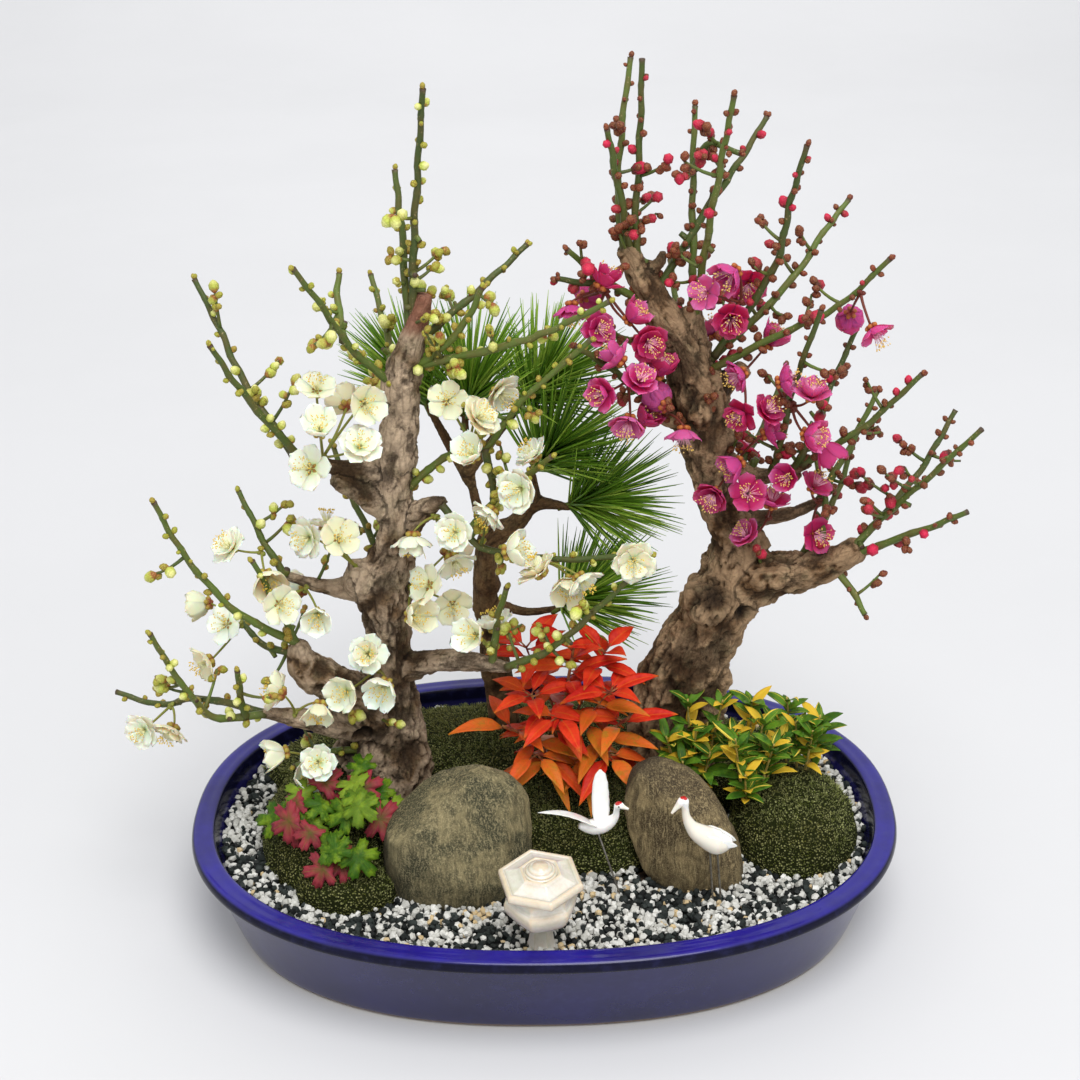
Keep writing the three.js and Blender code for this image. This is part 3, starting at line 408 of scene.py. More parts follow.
# Mottle: cloudy blotches of one size with finer ones in them, as a mask and as a height
def makeMottle():
    tree, given, result = newGroup("mottle", {"Place": None, "Size": 10.0, "Low": 0.35, "High": 0.65},
                                   {"Mask": "NodeSocketFloat", "Height": "NodeSocketFloat"})
    scale = addMath(tree, "DIVIDE", 1000.0, given["Size"])
    wide = addNode(tree, "ShaderNodeTexNoise", {"Vector": given["Place"], "Scale": scale, "Detail": 4.0,
                                                "Roughness": 0.6})
    mask = addNode(tree, "ShaderNodeMapRange", {"Value": wide.outputs["Fac"], "From Min": given["Low"],
                                                "From Max": given["High"]}, interpolation_type="SMOOTHSTEP")
    fine = addNode(tree, "ShaderNodeTexNoise", {"Vector": given["Place"], "Detail": 3.0,
                                                "Scale": addMath(tree, "MULTIPLY", scale, 5.0)})
    tree.links.new(mask.outputs["Result"], result["Mask"])
    tree.links.new(addMath(tree, "ADD", wide.outputs["Fac"],
                           addMath(tree, "MULTIPLY", fine.outputs["Fac"], 0.3)), result["Height"])
    return tree


mottle = makeMottle()


def addMottle(tree, place, size, low=0.35, high=0.65):
    return placeGroup(tree, mottle, {"Place": place, "Size": size, "Low": low, "High": high})


# Camera at the photo's height and distance, lens for a square frame
view = {"lookAt": (0, 0, 204), "elevation": 25.94, "distance": 850, "lens": 59.0, "roll": -0.83}


def makeCamera():
    lens = bpy.data.cameras.new("camera")
    lens.lens = view["lens"]
    lens.sensor_width = 36
    lens.clip_end = 20
    made = linked("camera", lens)
    tilt, roll = math.radians(view["elevation"]), math.radians(view["roll"])
    back = np.array([0, -math.cos(tilt), math.sin(tilt)])
    made.location = (np.array(view["lookAt"]) + back * view["distance"]) * mm
    right = np.array([1.0, 0, 0])
    up = np.cross(back, right)
    right, up = right * math.cos(roll) + up * math.sin(roll), up * math.cos(roll) - right * math.sin(roll)
    made.rotation_euler = mathutils.Matrix(np.stack([right, up, back], axis=1).tolist()).to_euler()
    bpy.context.scene.camera = made


# Studio: a pale floor that rises behind, a wide soft light overhead, fills from the left and the front,
# a light on the wall and a pale sky
studio = {"floor": "#d0d0d1", "sky": 0.86, "top": 35.0, "fill": 0.6, "front": 12.0, "wall": 24.0,
          "floorShade": "#cececf"}


def addLight(name, place, aim, size, power):
    lamp = bpy.data.lights.new(name, "AREA")
    lamp.shape = "DISK"
    lamp.size = size
    lamp.energy = power
    made = linked(name, lamp)
    made.location = place
    toward = mathutils.Vector(aim) - mathutils.Vector(place)
    made.rotation_euler = toward.to_track_quat("-Z", "Y").to_euler()


def makeStudio():
    world = bpy.data.worlds.new("studio")
    world.use_nodes = True
    world.node_tree.nodes["Background"].inputs["Color"].default_value = (0.97, 0.98, 1, 1)
    world.node_tree.nodes["Background"].inputs["Strength"].default_value = studio["sky"]
    bpy.context.scene.world = world
    bpy.context.scene.view_settings.view_transform = "Standard"      # the photo keeps full, plain colours
    # floor: flat in front, then a quarter circle up into a wall
    reach = np.linspace(-4, 3.6, 90)
    rise = np.where(reach < 2.0, 0, 1.6 - np.sqrt(np.maximum(
        1.6 ** 2 - np.clip(reach - 2.0, 0, 1.6) ** 2, 0)))
    across = np.linspace(-4, 4, 9)
    grid = np.stack([np.broadcast_to(across, (90, 9)), np.broadcast_to(reach[:, None], (90, 9)),
                     np.broadcast_to(rise[:, None] - 0.0002, (90, 9))], axis=-1)
    mesh = bpy.data.meshes.new("floor")
    mesh.from_pydata(grid.reshape(-1, 3).tolist(), [], gridQuads(90, 9).tolist())
    mesh.polygons.foreach_set("use_smooth", np.full(len(mesh.polygons), True))
    floor = linked("floor", mesh)
    material, tree, shader = newMaterial("pale paper floor", 0.85)
    cloud = addMottle(tree, objectPlace(tree), 400.0)
    feed(tree, shader, Base_Color=addMix(tree, cloud["Mask"], studio["floor"], studio["floorShade"]))
    mesh.materials.append(material)
    addLight("overhead light", (0.25, -0.85, 2.35), (0, 0, 0.1), 1.5, studio["top"])
    addLight("left fill", (-1.5, -0.9, 1.0), (0, 0, 0.15), 0.9, studio["fill"])
    addLight("front fill", (0.35, -1.55, 1.9), (0, 0, 0.15), 1.0, studio["front"])
    addLight("wall light", (0.0, 1.5, 2.2), (0, 3.0, 1.2), 1.6, studio["wall"])


makeCamera()
makeStudio()
print("camera and studio placed")

# Tray: an oval bowl with a drooped, rounded lip; dimensions as in the solids
tray = {"halfLength": 180, "halfWidth": 130, "floor": 8, "power": 2.3, "segments": 168,
        "drainX": 70, "drainRadius": 6,
        "deep": "#161540", "bright": "#221988", "thin": "#06070e", "clay": "#8a7354",
        "deepShade": "#1c1a50", "brightShade": "#191262", "haze": "#3d3f7a"}


def ovalDepth(reach):
    return reach * (tray["halfWidth"] / tray["halfLength"]
                    - 0.00174 * np.minimum(tray["halfLength"] - reach, 30))


# Point of the oval at a half-length and an angle: cosine and sine, each raised to 2 over the power
def ovalPoint(reach, angle, height):
    cosine, sine = np.cos(angle), np.sin(angle)
    bent = 2 / tray["power"]
    return np.stack(np.broadcast_arrays(reach * np.sign(cosine) * np.abs(cosine) ** bent,
                                        ovalDepth(reach) * np.sign(sine) * np.abs(sine) ** bent,
                                        height), axis=-1)


# Share of the way from the middle to the oval of the given half-length, for points on the plan
def ovalShare(x, y, reach):
    return (np.abs(x / reach) ** tray["power"] + np.abs(y / ovalDepth(reach)) ** tray["power"]) ** (
        1 / tray["power"])


# Profile with its corners rounded: each corner gives way to points a quarter along each side, twice
def roundedProfile(corners, passes=2):
    line = np.array(corners, dtype=float)
    for _ in range(passes):
        inner = np.stack([mixed(line[:-1], line[1:], 0.25), mixed(line[:-1], line[1:], 0.75)],
                         axis=1).reshape(-1, 2)
        line = np.vstack([line[:1], inner[1:-1], line[-1:]])
    return line


def makeTrayShape():
    segments = tray["segments"]
    outside = [(2, 0), (150, 0), (157.5, 0), (159.6, 0.6), (161, 3), (164, 12), (173, 42.5), (173.4, 43.8),
               (175.2, 44.2), (175.4, 45.4), (174.6, 46.2), (176.5, 46.8), (179.2, 47.6), (180, 49.2),
               (180, 51), (179.2, 53.2), (177, 54), (173.6, 53.7), (171, 54), (169.2, 53.6), (168.3, 52.2),
               (166.8, 47), (163.6, 38), (157, 22), (152, 11), (150, 8.6), (146, 8), (2, 8)]
    profile = roundedProfile(outside)
    angle = np.linspace(0, 2 * np.pi, segments, endpoint=False)
    points = ovalPoint(profile[:, :1], angle[None], profile[:, 1:])
    rows = len(profile)
    points = np.vstack([points.reshape(-1, 3), [0, 0, 0], [0, 0, 8]])
    return shape(points, gridQuads(rows, segments, True), endFans(rows, segments))


# Cuts the drain holes with plain round bars, which are taken away again
def cutDrains(piece):
    for side in (-1, 1):
        path = np.array([[side * tray["drainX"], 0, z] for z in (-5.0, 3.0, 14.0)])
        cutter = rawObject("drain", tube(path, tray["drainRadius"], 40))
        cut = piece.modifiers.new("drain", "BOOLEAN")
        cut.operation = "DIFFERENCE"
        cut.object = cutter
        finished = modified(piece)
        piece.modifiers.clear()
        piece.data = finished
        bpy.data.objects.remove(cutter)
    piece.data.name = "tray_glazed"


def makeTrayGlaze():
    material, tree, shader = newMaterial("cobalt glaze", 0.16, Coat_Weight=0.35, Coat_Roughness=0.05)
    place = objectPlace(tree)
    parts = addNode(tree, "ShaderNodeSeparateXYZ", {"Vector": place})
    height = parts.outputs["Z"]
    facing = addNode(tree, "ShaderNodeSeparateXYZ",
                     {"Vector": addNode(tree, "ShaderNodeNewGeometry").outputs["Normal"]}).outputs["Z"]
    cloud = addMottle(tree, place, 60.0, 0.3, 0.7)
    fine = addMottle(tree, place, 5.0, 0.45, 0.75)
    wall = addMix(tree, cloud["Mask"], tray["deep"], tray["deepShade"])
    lip = addMix(tree, cloud["Mask"], tray["bright"], tray["brightShade"])
    # the flat of the lip, where it faces up, is painted a brighter blue as painted top light,
    # and its rounded outer edge is painted near black as a painted dark reflection
    top = addMath(tree, "MULTIPLY", addRange(tree, height, 0.0510, 0.0532),
        addRange(tree, facing, 0.55, 0.93))
    # the brighter blue where the lip faces up is painted top light
    base = addMix(tree, top, wall, lip)
    edge = addNode(tree, "ShaderNodeMapRange", {"Value": height, "From Min": 0.0462, "From Max": 0.0475})
    edge = addMath(tree, "MULTIPLY", edge.outputs["Result"], addMath(tree, "SUBTRACT", 1.0, top))
    # near black on the rounded outer edge of the lip: painted dark reflection
    base = wash(tree, edge, 0.8, base, tray["thin"])
    base = wash(tree, fine["Mask"], 0.12, base, tray["haze"])
    clay = addRange(tree, addMath(tree, "ADD", height, addMath(tree, "MULTIPLY", cloud["Height"], 0.001)),
                    0.0034, 0.0016)
    feed(tree, shader, Base_Color=addMix(tree, clay, base, tray["clay"]),
         Roughness=addRamp(tree, clay, [(0, 0.16), (1, 0.85)]),
         Specular_IOR_Level=addRamp(tree, edge, [(0, 0.34), (1, 0.1)]),
         Coat_Weight=addMath(tree, "MULTIPLY", addRamp(tree, clay, [(0, 0.24), (1, 0.0)]),
                             addMath(tree, "SUBTRACT", 1.0, addMath(tree, "MULTIPLY", edge, 0.6))))
    addBump(tree, shader, cloud["Height"], 0.06, 0.004)
    return material


trayPiece = addPiece("tray_glazed", makeTrayShape(), makeTrayGlaze(), ["tray"])
cutDrains(trayPiece)


# Hidden pieces keep their solids: the drain nets and the soil under the moss
hidden = {"netDark": "#101010", "netLight": "#3a3a38", "soilDark": "#241811", "soilLight": "#57402c"}


def dressSolid(name, material):
    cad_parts[name].data.materials.clear()
    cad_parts[name].data.materials.append(material)


def finishHidden():
    material, tree, shader = newMaterial("drain net plastic", 0.6)
    weave = addNode(tree, "ShaderNodeTexChecker", {"Vector": objectPlace(tree), "Scale": 700.0,
                                                   "Color1": tone(hidden["netDark"]),
                                                   "Color2": tone(hidden["netLight"])})
    feed(tree, shader, Base_Color=weave.outputs["Color"])
    addBump(tree, shader, weave.outputs["Fac"], 0.6, 0.0005)
    dressSolid("drain_net_left", material)
    dressSolid("drain_net_right", material)
    material, tree, shader = newMaterial("potting soil", 0.95)
    crumbs = addMottle(tree, objectPlace(tree), 3.0, 0.4, 0.6)
    feed(tree, shader, Base_Color=addMix(tree, crumbs["Mask"], hidden["soilDark"], hidden["soilLight"]))
    addBump(tree, shader, crumbs["Height"], 0.8, 0.001)
    dressSolid("soil", material)


finishHidden()

# Moss: low cushions of fine upright leaves; middle, half sizes and top of each as in the solids
moss = {"cushions": [(-104, -8, 40, 56, 70), (-97, -62, 24, 15, 58), (127, -15, 32, 38, 72),
                     (22, -8, 46, 40, 62), (-4, 48, 144, 55, 64)],
        "foot": 38.8, "wall": 8, "tufts": 10400,
        "dark": "#1c2008", "green": "#707c33", "light": "#cdd08a", "brown": "#7d6a3a"}


# Height of a cushion over the share of its way out: (1 - share^2.6)^0.6 over an upright foot
def domeHeight(share, top):
    rise = top - moss["foot"] - moss["wall"]
    return moss["foot"] + moss["wall"] + rise * np.maximum(1 - share ** 2.6, 0) ** 0.6


# Highest cushion over each point of the plan, with the level of the ground where there is none
def mossTop(x, y):
    best = np.full(np.shape(x), moss["foot"])
    for cx, cy, halfX, halfY, top in moss["cushions"]:
        share = np.hypot((x - cx) / halfX, (y - cy) / halfY)
        best = np.where(share < 1, np.maximum(best, domeHeight(np.minimum(share, 1), top)), best)
    return best


def mossRelief(points):
    return 1.5 * noise(points, 16, 5) + 1.2 * noise(points, 6, 6) + 0.6 * noise(points, 2.6, 7)


def makeMossShape():
    made = []
    for cx, cy, halfX, halfY, top in moss["cushions"]:
        size = max(halfX, halfY)
        rings, sides = int(size * 0.45) + 9, int(size * 1.9)
        share = np.concatenate([np.linspace(0.02, 1, rings), [1.0, 1.0]])[:, None]
        angle = np.linspace(0, 2 * np.pi, sides, endpoint=False)[None]
        height = domeHeight(share, top)
        height[-1], height[-2] = moss["foot"], moss["foot"] + 4
        points = np.stack(np.broadcast_arrays(cx + halfX * share * np.cos(angle),
                                              cy + halfY * share * np.sin(angle), height), axis=-1)
        outward = unit(points - [cx, cy, moss["foot"] - 12])
        points = points + outward * np.where(share < 0.999, mossRelief(points), 0.6)[..., None]
        rows = len(share)
        fans = endFans(rows, sides)[:, [0, 2, 1]]
        points = np.vstack([points.reshape(-1, 3), [cx, cy, top], [cx, cy, moss["foot"]]])
        made.append(shape(points, gridQuads(rows, sides, True)[:, ::-1], fans, tint=0.5, along=0.0))
    return together(made)


# Tuft: three narrow upright leaves that lean apart, four faces each
def mossTuft():
    leaves = []
    for turn in range(3):
        angle = 2.094 * turn
        out = np.array([math.cos(angle), math.sin(angle), 0])
        side = np.array([-out[1], out[0], 0]) * 0.24
        foot, top = out * 0.05 + [0, 0, -0.5], out * 0.55 + [0, 0, 1.0]
        points = np.stack([foot - side, foot + side, foot + out * 0.2, top])
        leaves.append(shape(points, (), [[0, 2, 1], [0, 1, 3], [1, 2, 3], [2, 0, 3]], along=[0, 0, 0, 1]))
    return together(leaves)


def makeTufts():
    random = np.random.default_rng(3)
    count = moss["tufts"]
    area = np.array([halfX * halfY for _, _, halfX, halfY, _ in moss["cushions"]], dtype=float)
    which = random.choice(len(area), count, p=area / area.sum())
    cx, cy, halfX, halfY, top = (np.array([row[k] for row in moss["cushions"]])[which] for k in range(5))
    share, angle = np.sqrt(random.random(count)) * 1.02, random.random(count) * 2 * np.pi
    x, y = cx + halfX * share * np.cos(angle), cy + halfY * share * np.sin(angle)
    height = domeHeight(np.minimum(share, 1), top)
    height = np.where(share > 0.985, moss["foot"] + random.random(count) * moss["wall"], height)
    points = np.stack([x, y, height], axis=1)
    outward = unit(points - np.stack([cx, cy, np.full(count, moss["foot"] - 12)], axis=1))
    points = points + outward * mossRelief(points)[:, None]
    # tufts under another cushion, or under the trunks, are left out
    stands = (mossTop(points[:, 0], points[:, 1]) < points[:, 2] + 2.5) & (
        np.hypot(points[:, 0] + 83, points[:, 1] - 14) > 24) & (
        np.hypot(points[:, 0] - 65, points[:, 1] - 34) > 26)
    points, outward = points[stands], outward[stands]
    lean = unit(outward + random.normal(0, 0.35, outward.shape) + [0, 0, 0.25])
    turns = framesAlong(lean, random.random(len(points)) * 6.28)
    sizes = (1.0 + 0.8 * random.random(len(points)))[:, None] * [1.15, 1.15, 1.2]
    return copies(mossTuft(), points, turns, sizes, tint=random.random(len(points)))


def makeMossMaterial():
    material, tree, shader = newMaterial("moss", 0.95, Specular_IOR_Level=0.1)
    place = objectPlace(tree)
    wide, patch = addMottle(tree, place, 28.0, 0.42, 0.62), addMottle(tree, place, 7.0, 0.38, 0.66)
    # every cell of the pattern is the head of one small moss plant, light in its middle; the dark between the
    # heads is painted shade
    heads = addNode(tree, "ShaderNodeTexVoronoi", {"Vector": place, "Scale": 820.0, "Randomness": 1.0})
    middle = addRange(tree, heads.outputs["Distance"], 0.56, 0.16)
    own = addNode(tree, "ShaderNodeSeparateXYZ", {"Vector": heads.outputs["Color"]}).outputs["X"]
    tips = addMix(tree, addRamp(tree, own, [(0.15, 0.0), (0.75, 1.0)]), moss["green"], moss["light"])
    tips = wash(tree, wide["Mask"], 0.4, tips, moss["brown"])
    # dark between the heads and at the foot of each tuft: painted shade down among the plants
    low = addMix(tree, addMath(tree, "MULTIPLY", middle, addMath(tree, "ADD", 0.6, addMath(
        tree, "MULTIPLY", patch["Mask"], 0.4))), moss["dark"], tips)
    leaf = addMix(tree, readMark(tree, "tint"), moss["green"], moss["light"])
    leaf = wash(tree, wide["Mask"], 0.35, leaf, moss["brown"])
    feed(tree, shader, Base_Color=addMix(tree, readMark(tree, "along"), low, leaf))
    addBump(tree, shader, middle, 1.0, 0.0016)
    return material


mossMaterial = makeMossMaterial()
addPiece("moss_cushions", makeMossShape(), mossMaterial, ["moss"])
addPiece("moss_tufts", makeTufts(), mossMaterial, smooth=False)

# Gravel: a bed with loose angular grains on it, white, black and a few cream ones; the bed is painted near
# black as shade between the grains
gravel = {"top": 42.0, "spacing": 3.15, "grain": 1.85, "dark": 0.42, "cream": 0.06,
          "shadedBedTones": ("#121413", "#3c3c38", "#55524a"), "whiteTones": ("#b4b3ab", "#e2e1db", "#cbb182"),
          "blackTones": ("#0b0e0e", "#333a37", "#40403a")}


def makeGravelBed():
    share = np.linspace(0.55, 1, 30)[:, None]
    angle = np.linspace(0, 2 * np.pi, 160, endpoint=False)[None]
    points = ovalPoint(164.2 * share, angle, gravel["top"] - 1.2)
    points[..., 2] += 0.8 * noise(points, 3, 11)
    lower = ovalPoint(164.2 * share[[0, -1]], angle, 38.9)
    points = np.concatenate([lower[:1], points, lower[1:], lower[:1]])
    return shape(points, gridQuads(len(points), 160, True)[:, ::-1], tint=0.2, kind=0.0)


# Grain: a ball of two rings of five corners and two poles, its corners uneven
def grainShape(seed):
    random = np.random.default_rng(seed)
    lump = ball(2, 5)
    lump["points"] = lump["points"] * (0.82 + 0.36 * random.random((len(lump["points"]), 1)))
    return lump


def makeGrains():
    random = np.random.default_rng(8)
    layers = []
    for layer, spacing in enumerate((gravel["spacing"], gravel["spacing"] * 1.08)):
        x, y = np.meshgrid(np.arange(-167, 168, spacing), np.arange(-117, 118, spacing))
        x = x.ravel() + random.uniform(-0.5, 0.5, x.size) * spacing
        y = y.ravel() + random.uniform(-0.5, 0.5, y.size) * spacing
        height = gravel["top"] + layer * 1.3 + random.uniform(-0.6, 0.7, x.size)
        height += 0.9 * noise(np.stack([x, y, 0 * x], axis=1), 22, 4)
        # grains heap up a little against the wall of the tray
        share = ovalShare(x, y, 164.5)
        height += 1.5 * smoothStep(0.93, 1.0, share)
        inside = (share < 1.0) & (mossTop(x, y) < gravel["top"] + 1.5)
        layers.append(np.stack([x, y, height], axis=1)[inside])
    places = np.concatenate(layers)
    clear = np.ones(len(places), dtype=bool)
    for cx, cy, halfX, halfY in ((-41, -50, 32, 20), (68, -43, 22, 19), (-83, 14, 24, 24), (65, 34, 26, 26)):
        clear &= np.hypot((places[:, 0] - cx) / halfX, (places[:, 1] - cy) / halfY) > 1
    places = places[clear]
    count = len(places)
    turns = framesAlong(random.normal(0, 1, (count, 3)), random.random(count) * 6.28)
    sizes = gravel["grain"] * random.uniform(0.68, 1.25, (count, 1)) * random.uniform(0.7, 1.2, (count, 3))
    # the colours lie in loose patches, as they do when two gravels are mixed by hand
    patch = 0.5 + 0.5 * noise(places, 8, 21) + random.normal(0, 0.34, count)
    dark = patch < np.quantile(patch, gravel["dark"])
    cream = ~dark & (random.random(count) < gravel["cream"])
    kinds = []
    for wanted in (False, True):
        parts = []
        for seed in range(4):
            chosen = (dark == wanted) & (np.arange(count) % 4 == seed)
            parts.append(copies(grainShape(seed), places[chosen], turns[chosen], sizes[chosen],
                                tint=random.random(chosen.sum()), kind=np.where(cream[chosen], 1.0, 0.0)))
        kinds.append(together(parts))
    return kinds


def makeStoneChip(name, low, high, third):
    material, tree, shader = newMaterial(name, 0.7, Specular_IOR_Level=0.3)
    fine = addMottle(tree, objectPlace(tree), 1.2, 0.35, 0.7)
    base = addMix(tree, readMark(tree, "tint"), low, high)
    base = addMix(tree, readMark(tree, "kind"), base, third)
    feed(tree, shader, Base_Color=wash(tree, fine["Mask"], 0.3, base, low))
    addBump(tree, shader, fine["Height"], 0.4, 0.0004)
    return material


whiteGrains, darkGrains = makeGrains()
# near-black bed: painted shade in the gaps between the grains
bedChip = makeStoneChip("gravel bed", *gravel["shadedBedTones"])
addPiece("gravel_bed", makeGravelBed(), bedChip, ["gravel"])
addPiece("gravel_white", whiteGrains, makeStoneChip("white chippings", *gravel["whiteTones"]),
         smooth=False)
addPiece("gravel_black", darkGrains, makeStoneChip("black chippings", *gravel["blackTones"]),
         smooth=False)

# Stones: worn boulders, each with its own lean, grain and faces worn flat; a flat is a direction and
# how far out its plane lies
stones = {
    "left": {"middle": (-41, -50, 61), "half": (37.5, 24.5, 45.5),
             "flats": [(-0.66, -0.1, 0.75, 31.0), (0.12, -0.9, 0.42, 20.0), (1.0, 0.0, 0.1, 33.5),
                       (0.7, -0.7, 0.28, 27.0)], "lean": 0.14, "turn": 0.1, "power": 2.2,
             "low": "#3f3f2c", "high": "#857a58", "streak": "#28281b", "light": "#b3a57c", "grain": 0.3,
             "dark": "#3c3728", "darkSide": (-1.0, 0.2, -0.9)},
    "right": {"middle": (69, -43, 62), "half": (24.5, 21.5, 44),
              "flats": [(0.5, -0.6, 0.62, 26.5), (-0.35, -0.9, 0.25, 15.5)],
              "lean": -0.45, "turn": -0.15, "power": 2.15,
              "low": "#4c3f2a", "high": "#917f5a", "streak": "#2d2417", "light": "#bda97c", "grain": -0.9,
              "dark": "#2a2117", "darkSide": (-0.75, 0.35, 1.0)},
}


# Boulder: a ball whose sections have a power over 2, taller on one side, worn by wide noise
# and scored by fine noise drawn out along its grain
def makeStoneShape(look, seed):
    made = ball(80, 126)
    points = made["points"]
    points = np.sign(points) * np.abs(points) ** (2 / look["power"])
    points = unit(points) * (np.abs(points) ** look["power"]).sum(axis=1, keepdims=True) ** (
        -1 / look["power"]) * np.linalg.norm(points, axis=1, keepdims=True)
    wide = 1 + 0.055 * noise(points, 0.9, seed) + 0.03 * noise(points, 0.4, seed + 1)
    points = points * wide[:, None] * look["half"]
    drawn = turned(points, look["grain"], 2, 0) * [1.0, 1.0, 0.16]
    # its faces are worn flat: what stands past a plane is pressed back by four fifths
    for acrossX, acrossY, up, limit in look["flats"]:
        flat = unit(np.array([acrossX, acrossY, up]))
        points = points - flat * (0.8 * np.maximum(points @ flat - limit, 0))[:, None]
    outward = unit(points / np.array(look["half"]) ** 2)
    score = 0.16 * noise(drawn, 2.4, seed + 2) + 0.12 * noise(drawn, 1.1, seed + 3) + 0.4 * noise(
        points, 5.0, seed + 4) + 0.8 * noise(points, 11.0, seed + 5)
    points = points + outward * score[:, None]
    points = turned(turned(points, look["lean"], 2, 0), look["turn"], 0, 1) + np.array(look["middle"])
    points[:, 2] = np.maximum(points[:, 2], 40.0)
    made["points"] = points
    return made


def makeStoneMaterial(name, look):
    material, tree, shader = newMaterial(name, 0.75, Specular_IOR_Level=0.3)
    place = objectPlace(tree)
    # the grain swirls: its lines are bent by a wide cloud before they are drawn out
    bend = addNode(tree, "ShaderNodeTexNoise", {"Vector": place, "Scale": 60.0, "Detail": 2.0})
    bent = addNode(tree, "ShaderNodeVectorMath", {0: place, 1: addNode(
        tree, "ShaderNodeVectorMath", {0: bend.outputs["Color"], 3: 0.007}, operation="SCALE").outputs[0]})
    drawn = addNode(tree, "ShaderNodeMapping", {"Vector": bent.outputs["Vector"], "Scale": (1.0, 1.0, 0.1),
                                                "Rotation": (0, -look["grain"], 0)}).outputs["Vector"]
    streak, wide = addMottle(tree, drawn, 2.8, 0.42, 0.62), addMottle(tree, place, 20.0, 0.42, 0.6)
    vein, speck = addMottle(tree, drawn, 1.0, 0.48, 0.7), addMottle(tree, place, 0.75, 0.46, 0.7)
    patch = addMottle(tree, place, 6.5, 0.46, 0.64)
    base = addMix(tree, wide["Mask"], look["low"], look["high"])
    base = wash(tree, patch["Mask"], 0.55, base, look["low"])
    base = wash(tree, streak["Mask"], 0.55, base, look["streak"])
    base = wash(tree, vein["Mask"], 0.55, base, look["light"])
    base = wash(tree, speck["Mask"], 0.5, base, look["light"])
    # one side, the one that faces darkSide, is darker
    side = addNode(tree, "ShaderNodeVectorMath",
                   {0: addNode(tree, "ShaderNodeNewGeometry").outputs["Normal"],
                    1: unit(np.array(look["darkSide"])).tolist()}, operation="DOT_PRODUCT").outputs["Value"]
    worn = addRamp(tree, addMath(tree, "ADD", side, addMath(tree, "MULTIPLY", wide["Height"], 0.5)),
                   [(0.5, 0.0), (0.95, 1.0)])
    base = wash(tree, worn, 0.75, base, look["dark"])
    height = addNode(tree, "ShaderNodeSeparateXYZ", {"Vector": place}).outputs["Z"]
    # darker towards the bottom of the stone
    darkerLow = addNode(tree, "ShaderNodeMapRange", {"Value": height, "From Min": 0.054, "From Max": 0.040})
    base = wash(tree, darkerLow.outputs["Result"], 0.5, base, look["streak"])
    feed(tree, shader, Base_Color=base)
    bumps = addMath(tree, "ADD", streak["Height"], addMath(tree, "MULTIPLY", speck["Height"], 0.6))
    addBump(tree, shader, bumps, 0.8, 0.0014)
    return material


addPiece("stone_left_worn", makeStoneShape(stones["left"], 40), makeStoneMaterial(
    "grey green schist", stones["left"]), ["stone_left"])
addPiece("stone_right_worn", makeStoneShape(stones["right"], 50), makeStoneMaterial(
    "brown schist", stones["right"]), ["stone_right"])

